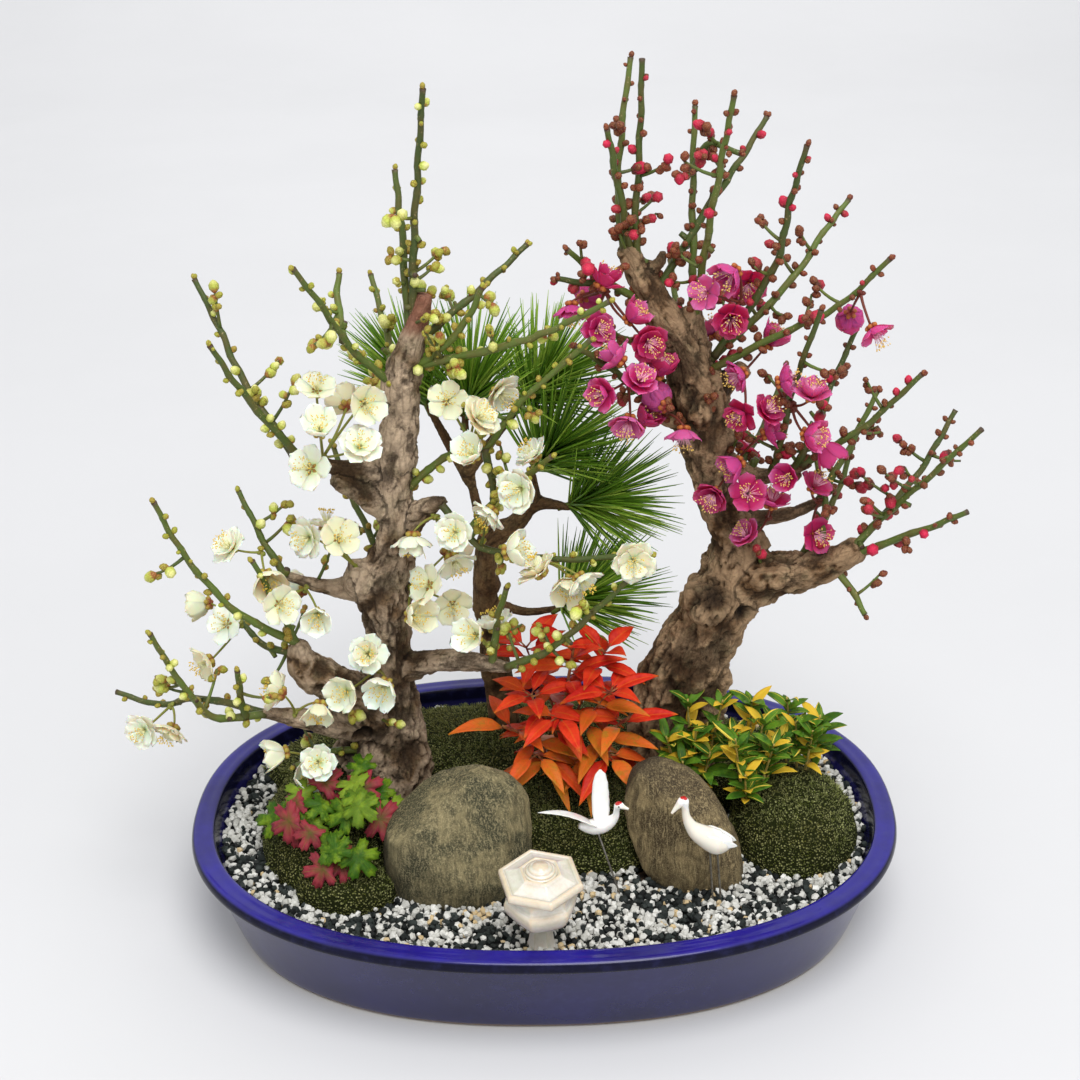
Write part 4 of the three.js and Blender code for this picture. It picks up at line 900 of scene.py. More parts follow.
# Apricot trees, in millimetres as in the solids: trunk and limbs with a radius for each point, lumps,
# green shoots, and blossom clusters as the spur that they spring from and the heart of each blossom
whiteTree = {
    "trunk": [(-83, 14, 24), (-83, 14, 58), (-78, 12, 100), (-76, 8, 142), (-77, 8, 176), (-70, 10, 205),
              (-70, 12, 228), (-68, 12, 244), (-64, 12, 265), (-63, 12, 284), (-57, 12, 303),
              (-51, 12, 324)],
    "trunkRadii": (20, 26, 16, 11, 14, 9, 9, 10, 8, 8.5, 6, 4),
    "limbs": [
        ([(-81, 10, 98), (-100, -5, 126), (-116, -13, 146), (-118, -14, 158)], (14, 11, 8, 4)),
        ([(-87, 4, 102), (-102, -6, 106), (-120, -14, 115), (-138, -20, 122)], (9, 7, 5, 3)),
        ([(-70, 12, 213), (-85, 4, 228), (-97, -4, 238)], (7, 5, 3)),
        ([(-71, 8, 130), (-50, -4, 140), (-31, -14, 145), (-14, -22, 146)], (8, 6, 4.5, 2.5)),
        ([(-66, 12, 205), (-54, 4, 220), (-45, -3, 227)], (7, 5, 3)),
        ([(-68, 12, 236), (-94, 6, 240), (-116, 0, 251)], (6, 4.5, 2.8)),
        ([(-77, 8, 172), (-93, 6, 175), (-110, 3, 180), (-126, 0, 188)], (7, 5, 3.5, 2.4)),
    ],
    "lumps": [(-86, 4, 182, 10), (-92, 6, 82, 14)],
    "shoots": [
        [(-57, 12, 312), (-55, 10, 346), (-51, 4, 385), (-47, -4, 420)],
        [(-59, 12, 306), (-61, 20, 355), (-63, 26, 378)],
        [(-64, 12, 276), (-85, 2, 302), (-95, -8, 324), (-106, -18, 346)],
        [(-88, 0, 306), (-92, 20, 320), (-91, 26, 330)],
        [(-115, 0, 250), (-138, 14, 283), (-148, 22, 305), (-159, 30, 327)],
        [(-113, 0, 250), (-134, -16, 289), (-144, -26, 314)],
        [(-117, -14, 156), (-145, -24, 181), (-165, -34, 218), (-173, -42, 246)],
        [(-117, -14, 150), (-138, -2, 151), (-151, 8, 161)],
        [(-124, 0, 187), (-135, 6, 206), (-145, 14, 226)],
        [(-118, -14, 155), (-125, -15, 176), (-135, -22, 206)],
        [(-136, -20, 121), (-159, -30, 126), (-175, -40, 160), (-181, -46, 181)],
        [(-132, -18, 119), (-170, -6, 122), (-194, 4, 113), (-216, 10, 117)],
        [(-145, -24, 122), (-145, -32, 140), (-144, -38, 156)],
        [(-58, 12, 298), (-23, 24, 325), (-4, 34, 340)],
        [(-61, 12, 284), (-34, 0, 312), (-24, -8, 333)],
        [(-61, 12, 288), (-10, -6, 306), (7, -14, 315), (32, -24, 331)],
        [(-68, 12, 222), (-45, 8, 244), (-25, 0, 253), (-9, -8, 277), (24, -22, 313)],
        [(-25, 0, 252), (-22, -4, 234), (-21, -8, 219)],
        [(-47, -2, 225), (-28, -14, 208), (3, -24, 206), (51, -36, 213)],
        [(-34, -11, 214), (-20, -6, 229), (-3, -16, 247), (6, -22, 257)],
        [(-24, -18, 146), (-21, -20, 171), (-16, -26, 192)],
        [(-17, -21, 146), (3, -30, 160), (23, -36, 182), (40, -40, 202)],
        [(-88, 2, 86), (-112, -12, 92), (-124, -20, 90)],
        [(-66, 16, 262), (-72, 44, 292), (-80, 62, 318)],
        [(-74, 14, 178), (-92, 40, 206), (-104, 58, 232)],
    ],
}

pinkTree = {
    "trunk": [(64, 34, 24), (66, 33, 62), (70, 32, 92), (78, 30, 124), (90, 28, 152), (98, 28, 174),
              (96, 28, 194), (87, 28, 211), (83, 28, 227), (80, 28, 243), (78, 28, 263), (72, 28, 283),
              (65, 28, 297), (55, 28, 314), (47, 28, 329), (40, 28, 340)],
    "trunkRadii": (22, 27, 22, 20, 17, 15, 12, 10, 10, 13, 13.5, 11.5, 9.5, 8, 6.5, 4.5),
    "limbs": [
        ([(98, 27, 166), (113, 20, 172), (126, 14, 177), (142, 5, 188), (153, 0, 198)], (14, 13, 10, 7, 5)),
        ([(74, 28, 278), (74, 28, 300), (73, 27, 311)], (8, 5.5, 4)),
        ([(80, 28, 262), (94, 27, 277), (99, 27, 281)], (7, 5, 4.5)),
        ([(90, 28, 206), (103, 28, 201), (124, 26, 204), (141, 24, 213)], (6, 4.5, 3.4, 2.4)),
        ([(82, 28, 238), (106, 22, 226), (118, 18, 230), (130, 10, 238)], (6, 4.5, 3.2, 2.2)),
        ([(47, 28, 328), (57, 28, 332), (59, 28, 338)], (4, 3, 2.4)),
        ([(78, 28, 252), (62, 26, 256), (60, 26, 258)], (7, 5, 4.5)),
    ],
    "lumps": [(84, 16, 160, 11), (76, 17, 262, 9)],
    "shoots": [
        [(49, 28, 326), (46, 26, 346), (47, 20, 393), (47, 12, 428)],
        [(41, 28, 336), (38, 34, 364), (40, 40, 393), (44, 48, 422)],
        [(44, 28, 336), (36, 18, 378), (32, 12, 398)],
        [(73, 27, 305), (73, 32, 334), (73, 44, 369), (74, 52, 399)],
        [(74, 27, 303), (77, 16, 342), (82, 2, 388), (85, -8, 416)],
        [(56, 28, 318), (81, 38, 357), (95, 44, 376), (107, 50, 394)],
        [(73, 42, 372), (80, 40, 384), (93, 30, 382)],
        [(84, 28, 286), (109, 14, 335), (113, 6, 365), (118, -2, 393)],
        [(82, 28, 284), (118, 38, 317), (138, 50, 342), (148, 56, 353)],
        [(52, 28, 313), (31, 18, 327), (14, 8, 345)],
        [(34, 19, 325), (20, 14, 328), (9, 10, 331)],
        [(63, 28, 292), (41, 22, 297), (28, 14, 312)],
        [(72, 28, 246), (44, 12, 278), (28, 0, 295), (17, -8, 305)],
        [(76, 28, 276), (116, 14, 303), (137, 6, 317), (157, -6, 343)],
        [(112, 20, 228), (114, 14, 240), (118, 0, 280), (126, -16, 323)],
        [(122, 15, 232), (128, 8, 250), (140, 18, 278), (150, 26, 299)],
        [(126, 12, 236), (153, 4, 259), (175, -8, 289)],
        [(137, 25, 211), (154, 36, 238), (166, 44, 261)],
        [(151, 1, 196), (183, 12, 233), (199, 20, 260)],
        [(151, 1, 197), (163, 2, 211), (180, -12, 238), (200, -26, 269)],
        [(148, 3, 191), (182, -16, 215), (198, -24, 227)],
        [(141, 6, 188), (152, -4, 174), (157, -10, 166)],
        [(136, 9, 186), (139, 16, 211), (135, 30, 234)],
        [(76, 30, 262), (70, 62, 292), (66, 80, 318)],
        [(90, 30, 212), (112, 58, 236), (126, 78, 262)],
        [(126, 16, 180), (146, 34, 206), (158, 52, 232)],
    ],
}

whiteClusters = [
    ((-99, 2, 252), [(-101, -8, 285), (-99, -20, 270), (-80, -6, 278), (-82, -18, 261), (-105, -16, 250),
         (-91, 18, 268)]),
    ((-90, 0, 200), [(-109, -8, 211), (-95, -16, 214), (-104, 14, 206)]),
    ((-112, 0, 184), [(-107, -16, 174), (-119, 16, 170), (-124, -24, 184)]),
    ((-134, 2, 200), [(-148, 0, 202), (-131, -12, 193)]),
    ((-145, 2, 160), [(-152, -10, 166), (-164, 6, 169), (-162, -14, 148)]),
    ((-184, 0, 119), [(-199, -8, 106), (-184, -12, 109)]),
    ((-121, -16, 122), [(-126, -29, 138), (-108, -27, 130)]),
    ((-85, -3, 132), [(-84, -15, 151), (-76, -20, 137), (-95, -20, 133)]),
    ((-112, -14, 94), [(-127, -27, 103), (-110, -31, 100), (-120, -22, 83)]),
    ((-38, 5, 251), [(-42, 0, 276), (-28, -15, 273), (-19, 6, 278), (-30, -18, 256)]),
    ((-48, 0, 214), [(-39, -25, 221), (-42, -10, 200), (-60, -12, 213)]),
    ((-60, 2, 176), [(-53, -15, 188), (-43, -6, 173), (-62, -18, 173), (-46, 20, 188)]),
    ((-32, -17, 152), [(-31, -29, 168), (-22, -14, 164)]),
    ((0, -26, 208), [(-15, -33, 214), (0, -39, 206), (14, -26, 195), (18, -40, 204)]),
    ((48, -35, 215), [(42, -46, 216)]),
    ((-14, -10, 240), [(-8, -26, 243), (-2, -6, 250), (-22, -22, 230)]),
]

pinkClusters = [
    ((34, 17, 320), [(16, 5, 320), (29, 2, 330), (22, 26, 317), (42, 7, 312), (50, 2, 303),
         (27, 4, 309)]),
    ((44, 8, 278), [(38, -6, 297), (31, -10, 283), (46, -8, 287), (42, -8, 269)]),
    ((63, 22, 256), [(59, 6, 270), (68, 3, 259), (56, 12, 283), (49, 12, 259)]),
    ((96, 20, 310), [(90, 8, 334), (78, 10, 323), (88, 2, 314), (99, 30, 321)]),
    ((97, 18, 276), [(95, 5, 286), (96, 5, 266), (109, 27, 292)]),
    ((118, 0, 270), [(105, -5, 270), (110, -10, 287), (124, -14, 281), (123, -12, 262), (133, 0, 252)]),
    ((92, 17, 234), [(95, 3, 242), (99, 2, 226), (84, 6, 225), (107, 8, 254)]),
    ((112, 22, 206), [(111, 6, 218), (119, 5, 233), (101, 8, 200)]),
    ((137, 20, 216), [(131, 7, 226), (133, 11, 200)]),
    ((149, 0, 330), [(151, -7, 311), (144, 11, 312)]),
    ((74, 38, 290), [(80, 47, 309), (66, 51, 284), (86, 55, 287)]),
    ((90, 38, 219), [(101, 50, 228), (86, 53, 232), (104, 54, 210)]),
]

# What shapes the bark, the shoots and the buds of each tree; a mark is a place, a radius and a depth,
# hollow when the depth is over 0 and a raised collar round a scar when it is under 0
woods = {
    "white": {"voxel": 1.35, "groove": 1.7, "lump": 2.1, "knots": 80, "seed": 60,
              "shootRoot": 2.1, "shootTip": 1.3,
              "marks": [((-90, -9, 100.5), 5.5, 4.5), ((-79, -6, 144), 6, 2.5), ((-92, -2, 181), 8, -2.2),
                        ((-69, 1, 254), 5.2, -2.0), ((-69, 1, 254), 3.2, 1.6), ((-98, -4, 88), 7, 3.0),
                        ((-72, -14, 75), 7, 2.0), ((-66, -3, 176), 5, -1.4)],
              "low": "#2a1d12", "bark": "#7f6549", "light": "#ccb498", "film": "#8f8a6a", "filmShare": 0.35,
              "smoothFrom": 303, "smooth": "#8d5745"},
    "pink": {"voxel": 1.4, "groove": 1.8, "lump": 2.6, "knots": 90, "seed": 70,
             "shootRoot": 2.1, "shootTip": 1.25,
             "marks": [((84, 12, 165), 9, 4.2), ((79, 12, 162), 15, -2.2), ((56, 14, 144), 7, 3.6),
                       ((101, 12, 156), 5, 3.4), ((68, 18, 310), 5.5, -1.6), ((73, 15, 270), 4.5, 2.0),
                       ((93, 24, 271), 5, 1.6), ((108, 14, 150), 8, -2.6), ((64, 8, 112), 8, 2.2),
                       ((88, 14, 192), 7, -1.8)],
             "low": "#281a0f", "bark": "#795a3c", "light": "#c0a07c", "film": "#8a8464", "filmShare": 0.4,
             "smoothFrom": 420, "smooth": "#8d5745"},
}


# Fuses overlapping bars into one skin of small even faces, smoothed so that limbs run into the trunk
def fusedSkin(made, voxel, smoothing):
    holder = rawObject("skin", made)
    skin = holder.modifiers.new("skin", "REMESH")
    skin.mode = "VOXEL"
    skin.voxel_size = voxel * mm
    soft = holder.modifiers.new("soft", "SMOOTH")
    soft.iterations, soft.factor = smoothing, 0.5
    finished = modified(holder)
    points = np.empty(len(finished.vertices) * 3, dtype=np.float32)
    finished.vertices.foreach_get("co", points)
    normals = np.empty(len(points), dtype=np.float32)
    finished.vertices.foreach_get("normal", normals)
    corners = np.empty(len(finished.loops), dtype=np.int32)
    finished.loops.foreach_get("vertex_index", corners)
    quads = corners.reshape(-1, 4)               # a voxel skin is all quads
    bpy.data.objects.remove(holder)
    bpy.data.meshes.remove(finished)
    return points.reshape(-1, 3).astype(float) / mm, normals.reshape(-1, 3).astype(float), quads


# For each point, its place along and round the nearest bar: distance along it, and where it stands
# across it in the bar's own frame, so that the bark runs with the limb
def barkPlace(points, bars):
    paths = np.concatenate([path for path, _ in bars])
    thick = np.concatenate([radii for _, radii in bars])
    forward = np.concatenate([unit(np.gradient(path, axis=0)) for path, _ in bars])
    along = np.concatenate([np.concatenate([[0], np.cumsum(np.linalg.norm(np.diff(path, axis=0), axis=1))])
                            + 173.0 * k for k, (path, _) in enumerate(bars)])
    nearest = np.empty(len(points), dtype=int)
    for start in range(0, len(points), 4000):    # in slices, to keep the table of distances small
        part = points[start:start + 4000, None] - paths[None]
        nearest[start:start + 4000] = ((part ** 2).sum(axis=2) - thick[None] ** 2).argmin(axis=1)
    offset = points - paths[nearest]
    ahead = forward[nearest]
    reach = (offset * ahead).sum(axis=1)
    side, over = acrossOf(ahead)
    grain = np.stack([(offset * side).sum(axis=1), (offset * over).sum(axis=1), along[nearest] + reach],
                     axis=1)
    return grain, thick[nearest]


def makeBars(tree):
    bars = []
    for route, radii in [(tree["trunk"], tree["trunkRadii"])] + tree["limbs"]:
        path, share = routeCurve(route, 2.0)
        bars.append((path, np.interp(share, np.arange(len(radii)), radii)))
    return bars


# Trunk and limbs: fluted bars fused into one skin, then raised and cut by bark: wide lumps, fissures
# that run with the limb, fine crumbs, and the hollows and scars that the tree has
def makeWoodShape(tree, look):
    bars = makeBars(tree)
    parts = []
    for path, radii in bars:
        turn = 0.085 * np.arange(len(path))[:, None]
        parts.append(tube(path, radii, 30, lambda angle, i, turn=turn: (
            1 + 0.07 * np.sin(3 * angle + turn) + 0.05 * np.sin(2 * angle - 1.7 * turn + 1))))
    for x, y, z, size in tree["lumps"]:
        lump = ball(9, 14)
        lump["points"] = lump["points"] * size + [x, y, z]
        parts.append(lump)
    points, normals, quads = fusedSkin(together(parts), look["voxel"], 5)
    grain, thick = barkPlace(points, bars)
    drawn = grain * [1.0, 1.0, 0.30]
    weight = np.clip(thick / 14, 0.18, 1.2)
    seed = look["seed"]
    lumps = (0.8 * noise(grain * [1, 1, 0.6], 14, seed) + 0.75 * noise(grain * [1, 1, 0.75], 6.5, seed + 1)
             + 0.4 * noise(grain, 3.4, seed + 7))
    ridge = 1 - np.abs(noise(drawn, 3.4, seed + 2) + 0.4 * noise(drawn, 1.7, seed + 3))
    groove = smoothStep(0.80, 0.98, ridge)
    crack = smoothStep(0.90, 1.0, 1 - np.abs(noise(grain * [1, 1, 1.8], 5.0, seed + 4)))
    crumbs = 0.22 * noise(grain, 1.6, seed + 5) + 0.12 * noise(grain, 0.8, seed + 6)
    lift = look["lump"] * lumps * weight - look["groove"] * groove * weight - 0.5 * crack * weight
    lift = lift + crumbs * np.minimum(weight + 0.2, 1)
    dark = np.zeros(len(points))
    # besides the marks that are named, round bud scars and pruned knots lie all over the bark
    random = np.random.default_rng(seed)
    thickSkin = np.flatnonzero(thick > 4.5)
    knots = [(points[i], random.uniform(1.8, 4.4), random.choice([-1.7, -1.2, 1.5]))
             for i in random.choice(thickSkin, look["knots"])]
    for place, radius, depth in look["marks"] + knots:
        away = np.linalg.norm(points - np.array(place), axis=1) / radius
        hollow = np.exp(-away ** 2 * 1.4)
        collar = np.exp(-((away - 1.25) / 0.35) ** 2)
        lift = lift - depth * hollow + 0.35 * abs(depth) * collar
        # deep hollows get the dark mark, which paints shade inside them
        dark = np.maximum(dark, hollow * (depth > 1.55) * min(1, depth / 3.4))
        lift = lift - 0.5 * collar * np.sin(9 * away) * (depth > 2)
        lift = lift + 0.12 * np.exp(-away ** 2 * 0.8) * np.sin(14 * away) * radius / 3
    # the bark above smoothFrom is young and smooth
    young = smoothStep(look["smoothFrom"], look["smoothFrom"] + 8, points[:, 2])
    lift = lift * (1 - 0.75 * young)
    points = points + normals * lift[:, None]
    made = shape(points, quads, young=young, groove=np.clip(groove * weight + crack * 0.4, 0, 1), dark=dark,
                 raised=smoothStep(-1.6, 1.8, lift / np.maximum(weight, 0.3)),
                 grainX=grain[:, 0] * mm, grainY=grain[:, 1] * mm, grainZ=grain[:, 2] * mm)
    return made, bars


# Bark: long plates and pits that follow the limb, as a mask of the cracks and a height
def makeBarkGroup():
    tree, given, result = newGroup("bark", {"Grain": None, "Plate": 3.0, "Groove": 0.0},
                                   {"Crack": "NodeSocketFloat", "Height": "NodeSocketFloat"})
    drawn = addNode(tree, "ShaderNodeMapping", {"Vector": given["Grain"], "Scale": (1.0, 1.0, 0.35)})
    scale = addMath(tree, "DIVIDE", 1000.0, given["Plate"])
    plates = addNode(tree, "ShaderNodeTexVoronoi", {"Vector": drawn.outputs["Vector"], "Scale": scale},
                     feature="DISTANCE_TO_EDGE")
    cloud = addNode(tree, "ShaderNodeTexNoise", {"Vector": drawn.outputs["Vector"], "Scale": scale,
                                                 "Detail": 6.0, "Roughness": 0.68})
    edge = addNode(tree, "ShaderNodeMapRange", {"Value": plates.outputs["Distance"], "From Min": 0.0,
                                                "From Max": 0.22, "To Min": 1.0, "To Max": 0.0})
    worn = addMath(tree, "MULTIPLY", edge.outputs["Result"], cloud.outputs["Fac"])
    crack = addMath(tree, "MAXIMUM", worn, addMath(tree, "MULTIPLY", given["Groove"], 0.9))
    tree.links.new(crack, result["Crack"])
    tree.links.new(addMath(tree, "SUBTRACT", cloud.outputs["Fac"], addMath(tree, "MULTIPLY", worn, 0.45)),
                   result["Height"])
    return tree


barkGroup = makeBarkGroup()
# hollow is the near-black painted shade for the deep hollows of the bark
barkLook = {"plate": 3.2, "hollow": "#0e0906"}


def makeBark(name, look):
    material, tree, shader = newMaterial(name, 0.9, Specular_IOR_Level=0.2)
    grain = addNode(tree, "ShaderNodeCombineXYZ", {
        "X": readMark(tree, "grainX"), "Y": readMark(tree, "grainY"), "Z": readMark(tree, "grainZ")})
    bark = placeGroup(tree, barkGroup, {"Grain": grain.outputs["Vector"], "Plate": barkLook["plate"],
                                        "Groove": readMark(tree, "groove")})
    place = objectPlace(tree)
    wide, patch = addMottle(tree, place, 26.0, 0.38, 0.62), addMottle(tree, place, 9.0, 0.48, 0.66)
    fine = addMottle(tree, grain.outputs["Vector"], 1.3, 0.42, 0.62)
    base = addMix(tree, wide["Mask"], look["bark"], look["light"])
    base = wash(tree, patch["Mask"], look["filmShare"], base, look["film"])
    base = wash(tree, fine["Mask"], 0.4, base, look["low"])
    # what stands up is painted pale, a painted highlight; what lies deep is painted dark, painted shade
    raised = readMark(tree, "raised")
    base = addMix(tree, addRamp(tree, raised, [(0.5, 0.0), (0.95, 0.6)]), base, look["light"])
    base = addMix(tree, addRamp(tree, raised, [(0.06, 0.65), (0.46, 0.0)]), base, look["low"])
    # cracks painted dark: painted shade in the fissures
    base = wash(tree, bark["Crack"], 0.6, base, look["low"])
    base = wash(tree, readMark(tree, "young"), 0.75, base, look["smooth"])
    # deep hollows painted near black: painted shade
    base = addMix(tree, readMark(tree, "dark"), base, barkLook["hollow"])
    feed(tree, shader, Base_Color=base)
    heights = addMath(tree, "ADD", bark["Height"], addMath(tree, "MULTIPLY", fine["Height"], 0.4))
    addBump(tree, shader, heights, 1.0, 0.0026)
    return material


# Shoots: bars that thin towards a pruned tip, a little crooked and swollen at each node
shoots = {"nodeGap": 11.5, "bend": 0.45, "swell": 0.16,
          "green": "#5c6e2c", "shade": "#414f23", "brown": "#66502e", "tip": "#4a3a2a", "speck": "#c0a878"}


def makeShoot(route, root, top, random):
    path, share = routeCurve(route, 2.0)
    share = share / share[-1]
    length = 2.0 * len(path)
    nodes = max(2, int(length / shoots["nodeGap"]))
    wave = np.sin(np.pi * nodes * share + random.random() * 6)
    forward = unit(np.gradient(path, axis=0))
    side = acrossOf(forward)[0]
    path = path + side * (shoots["bend"] * wave * np.sin(np.pi * share))[:, None]
    radii = mixed(root, top, share ** 0.8) * (1 + shoots["swell"] * np.maximum(
        0, np.cos(2 * np.pi * nodes * share)) ** 6)
    return path, radii, tube(path, radii, 8, tint=random.random())


# Buds on the nodes of a shoot: each node is one step on and a golden angle round, with one to three
# buds that lean out and forwards; they shrink towards the tip
def nodeBuds(path, radii, look, random, first=8.0):
    length = np.concatenate([[0], np.cumsum(np.linalg.norm(np.diff(path, axis=0), axis=1))])
    stops = np.arange(first, length[-1] - 1, look["gap"])
    stops = stops + random.uniform(-1.5, 1.5, len(stops))
    number = random.choice([1, 2, 3], len(stops), p=look["numbers"])
    stop = np.repeat(np.clip(stops, 0, length[-1]), number)
    turn = np.repeat(2.4 * np.arange(len(stops)) + random.random() * 6, number)
    turn = turn + random.choice([0.0, 0.5, -0.55, 3.14], len(turn), p=[0.35, 0.15, 0.15, 0.35])
    place = np.stack([np.interp(stop, length, path[:, k]) for k in range(3)], axis=1)
    forward = unit(np.gradient(path, axis=0))
    ahead = np.stack([np.interp(stop, length, forward[:, k]) for k in range(3)], axis=1)
    side, over = acrossOf(ahead)
    out = side * np.cos(turn)[:, None] + over * np.sin(turn)[:, None]
    thick = np.interp(stop, length, radii)
    lean = unit(out + ahead * random.uniform(0.35, 0.95, (len(stop), 1)))
    size = look["size"] * random.uniform(0.72, 1.2, len(stop)) * (1 - 0.42 * stop / length[-1])
    ripe = (random.random(len(stop)) < look["ripe"]) * random.uniform(0.5, 1, len(stop))
    return place + out * (thick * 0.8)[:, None], lean, size * (1 + 0.45 * ripe), ripe


buds = {"white": {"gap": 9.5, "numbers": [0.3, 0.42, 0.28], "size": 2.0, "ripe": 0.26, "spurs": 66,
                  "stubs": 30, "scale": "#8a4a26", "skin": "#94a034", "ripeSkin": "#c3d25c",
                  "tip": "#e6e79a", "edge": "#d0c95c"},
        "pink": {"gap": 8.6, "numbers": [0.25, 0.5, 0.25], "size": 2.1, "ripe": 0.13, "spurs": 88,
                 "stubs": 34, "scale": "#451a15", "skin": "#833628", "ripeSkin": "#b50f3c",
                 "tip": "#d0184a", "edge": "#ab8644"}}


# Spurs: short twigs off the limbs and the lower halves of the shoots, with buds at their ends
def makeSpurs(paths, look, random):
    made, places, leans, sizes, ripes = [], [], [], [], []
    weight = np.array([len(path) for path, _ in paths], dtype=float)
    # stubs of pruned twigs, short and blunt
    for which in random.choice(len(paths), look["stubs"], p=weight / weight.sum()):
        path, radii = paths[which]
        at = int(len(path) * random.uniform(0.02, 0.5))
        out = unit(random.normal(0, 1, 3) + [0, -0.3, 0.3])
        thick = min(2.0, radii[at] * 0.75) * random.uniform(0.7, 1.1)
        share = np.linspace(0, 1, 4)[:, None]
        stub = path[at] + out * (radii[at] * 0.5 + (2.5 + random.uniform(0, 4)) * share)
        made.append(tube(stub, thick * np.array([1.15, 1.0, 0.95, 0.85]), 8, tint=random.random()))
    for which in random.choice(len(paths), look["spurs"], p=weight / weight.sum()):
        path, radii = paths[which]
        at = int(len(path) * random.uniform(0.08, 0.72))
        out = unit(random.normal(0, 1, 3) + [0, -0.35, 0.45])
        ahead = unit(path[min(at + 1, len(path) - 1)] - path[at - 1])
        out = unit(out - ahead * (out @ ahead) * 0.8)
        length = random.uniform(7, 19)
        share = np.linspace(0, 1, 6)[:, None]
        twig = (path[at] + out * (radii[at] * 0.7 + length * share)
                + np.array([0, 0, 0.25]) * length * share ** 2)
        made.append(tube(twig, mixed(0.95, 0.6, share[:, 0]), 6, tint=random.random()))
        count = random.integers(3, 6)
        spot = np.clip(random.uniform(0.45, 1.02, count), 0, 1)
        spot[0] = 1.0
        around = unit(random.normal(0, 1, (count, 3)) + out * 0.9)
        places.append(np.stack([np.interp(spot, share[:, 0], twig[:, k]) for k in range(3)], axis=1)
                      + around * 0.5)
        leans.append(around)
        ripe = (random.random(count) < look["ripe"] * 1.6) * random.uniform(0.4, 1, count)
        sizes.append(look["size"] * random.uniform(0.7, 1.1, count) * (1 + 0.5 * ripe))
        ripes.append(ripe)
    return made, [np.concatenate(rows) for rows in (places, leans, sizes, ripes)]


# Bud: a short stalk that swells to a round top, its ring radius following the height
def budShape():
    made = ball(4, 6)
    height = (made["points"][:, 2:] + 1) / 2
    wide = 0.6 + 0.45 * smoothStep(0.0, 0.45, height) - 0.22 * smoothStep(0.6, 1.0, height)
    made["points"] = made["points"] * np.concatenate([wide, wide, np.full_like(wide, 1.36)], axis=1)
    made["points"][:, 2] += 0.9
    return made


def insideBox(points, margin=2.5):
    low, high = np.array(cadBounds[0]) / mm + margin, np.array(cadBounds[1]) / mm - margin
    return ((points > low) & (points < high)).all(axis=1)


def makeTwigs(tree, bars, look, budLook, seed):
    random = np.random.default_rng(seed)
    twigs, paths, heap = [], list(bars[1:]), []
    for route in tree["shoots"]:
        path, radii, made = makeShoot(route, look["shootRoot"], look["shootTip"], random)
        twigs.append(made)
        paths.append((path, radii))
        heap.append(nodeBuds(path, radii, budLook, random))
        tip = unit(path[-1] - path[-3]) + random.normal(0, 0.3, (2, 3))
        heap.append((np.repeat(path[-1:], 2, axis=0), unit(tip), np.full(2, budLook["size"] * 0.62),
                     np.zeros(2)))
    spurs, spurBuds = makeSpurs(paths, budLook, random)
    twigs += spurs
    heap.append(spurBuds)
    places, leans, sizes, ripes = (np.concatenate([rows[k] for rows in heap]) for k in range(4))
    inside = insideBox(places + leans * sizes[:, None] * 2)
    places, leans, sizes, ripes = places[inside], leans[inside], sizes[inside], ripes[inside]
    turns = framesAlong(leans, random.random(len(places)) * 6.28)
    grown = copies(budShape(), places, turns, sizes[:, None] * [1.0, 1.0, 1.0], ripe=ripes,
                   tint=random.random(len(places)))
    return together(twigs), grown


def makeShootMaterial(name):
    material, tree, shader = newMaterial(name, 0.5, Specular_IOR_Level=0.3)
    place = objectPlace(tree)
    blotch, speck = addMottle(tree, place, 9.0, 0.42, 0.66), addMottle(tree, place, 1.4, 0.6, 0.72)
    base = addMix(tree, readMark(tree, "tint"), shoots["green"], shoots["shade"])
    base = wash(tree, blotch["Mask"], 0.45, base, shoots["brown"])
    base = wash(tree, speck["Mask"], 0.5, base, shoots["speck"])
    ends = addRamp(tree, readMark(tree, "along"), [(0.0, 0.75), (0.06, 0.0), (0.975, 0.0), (1.0, 1.0)])
    feed(tree, shader, Base_Color=addMix(tree, ends, base, shoots["tip"]))
    addBump(tree, shader, blotch["Height"], 0.35, 0.0006)
    return material


# Bud skin: brown scales round the foot, the skin above them, and petals showing where it is ripe
def makeBudMaterial(name, look):
    material, tree, shader = newMaterial(name, 0.5, Specular_IOR_Level=0.3)
    fine = addMottle(tree, objectPlace(tree), 0.9, 0.4, 0.65)
    along, ripe = readMark(tree, "along"), readMark(tree, "ripe")
    skin = wash(tree, readMark(tree, "tint"), 0.55, look["skin"], look["scale"])
    skin = addMix(tree, ripe, skin, look["ripeSkin"])
    top = addMix(tree, addMath(tree, "MULTIPLY", ripe, addRamp(tree, along, [(0.55, 0.0), (0.85, 1.0)])),
                 skin, look["tip"])
    edge = addMath(tree, "ADD", along, addMath(tree, "MULTIPLY", fine["Mask"], 0.16))
    foot = addRamp(tree, edge, [(0.24, 1.0), (0.46, 0.0)])
    base = addMix(tree, foot, top, look["scale"])
    # scales lie over each other: each has a pale rim, a painted highlight on its edge, and a dark cleft
    # behind it, painted shade
    cells = addNode(tree, "ShaderNodeTexVoronoi", {"Vector": objectPlace(tree), "Scale": 620.0},
                    feature="DISTANCE_TO_EDGE").outputs["Distance"]
    closed = addMath(tree, "SUBTRACT", 1.0, addMath(tree, "MULTIPLY", ripe, 0.8))
    rims = addMath(tree, "MULTIPLY", addRamp(tree, cells, [(0.06, 0.0), (0.12, 1.0), (0.22, 0.0)]), closed)
    clefts = addMath(tree, "MULTIPLY", addRamp(tree, cells, [(0.0, 1.0), (0.07, 0.0)]), closed)
    base = wash(tree, rims, 0.55, base, look["edge"])
    base = wash(tree, clefts, 0.65, base, look["scale"])
    feed(tree, shader, Base_Color=wash(tree, fine["Mask"], 0.2, base, look["scale"]))
    addBump(tree, shader, cells, 0.6, 0.0008)
    return material


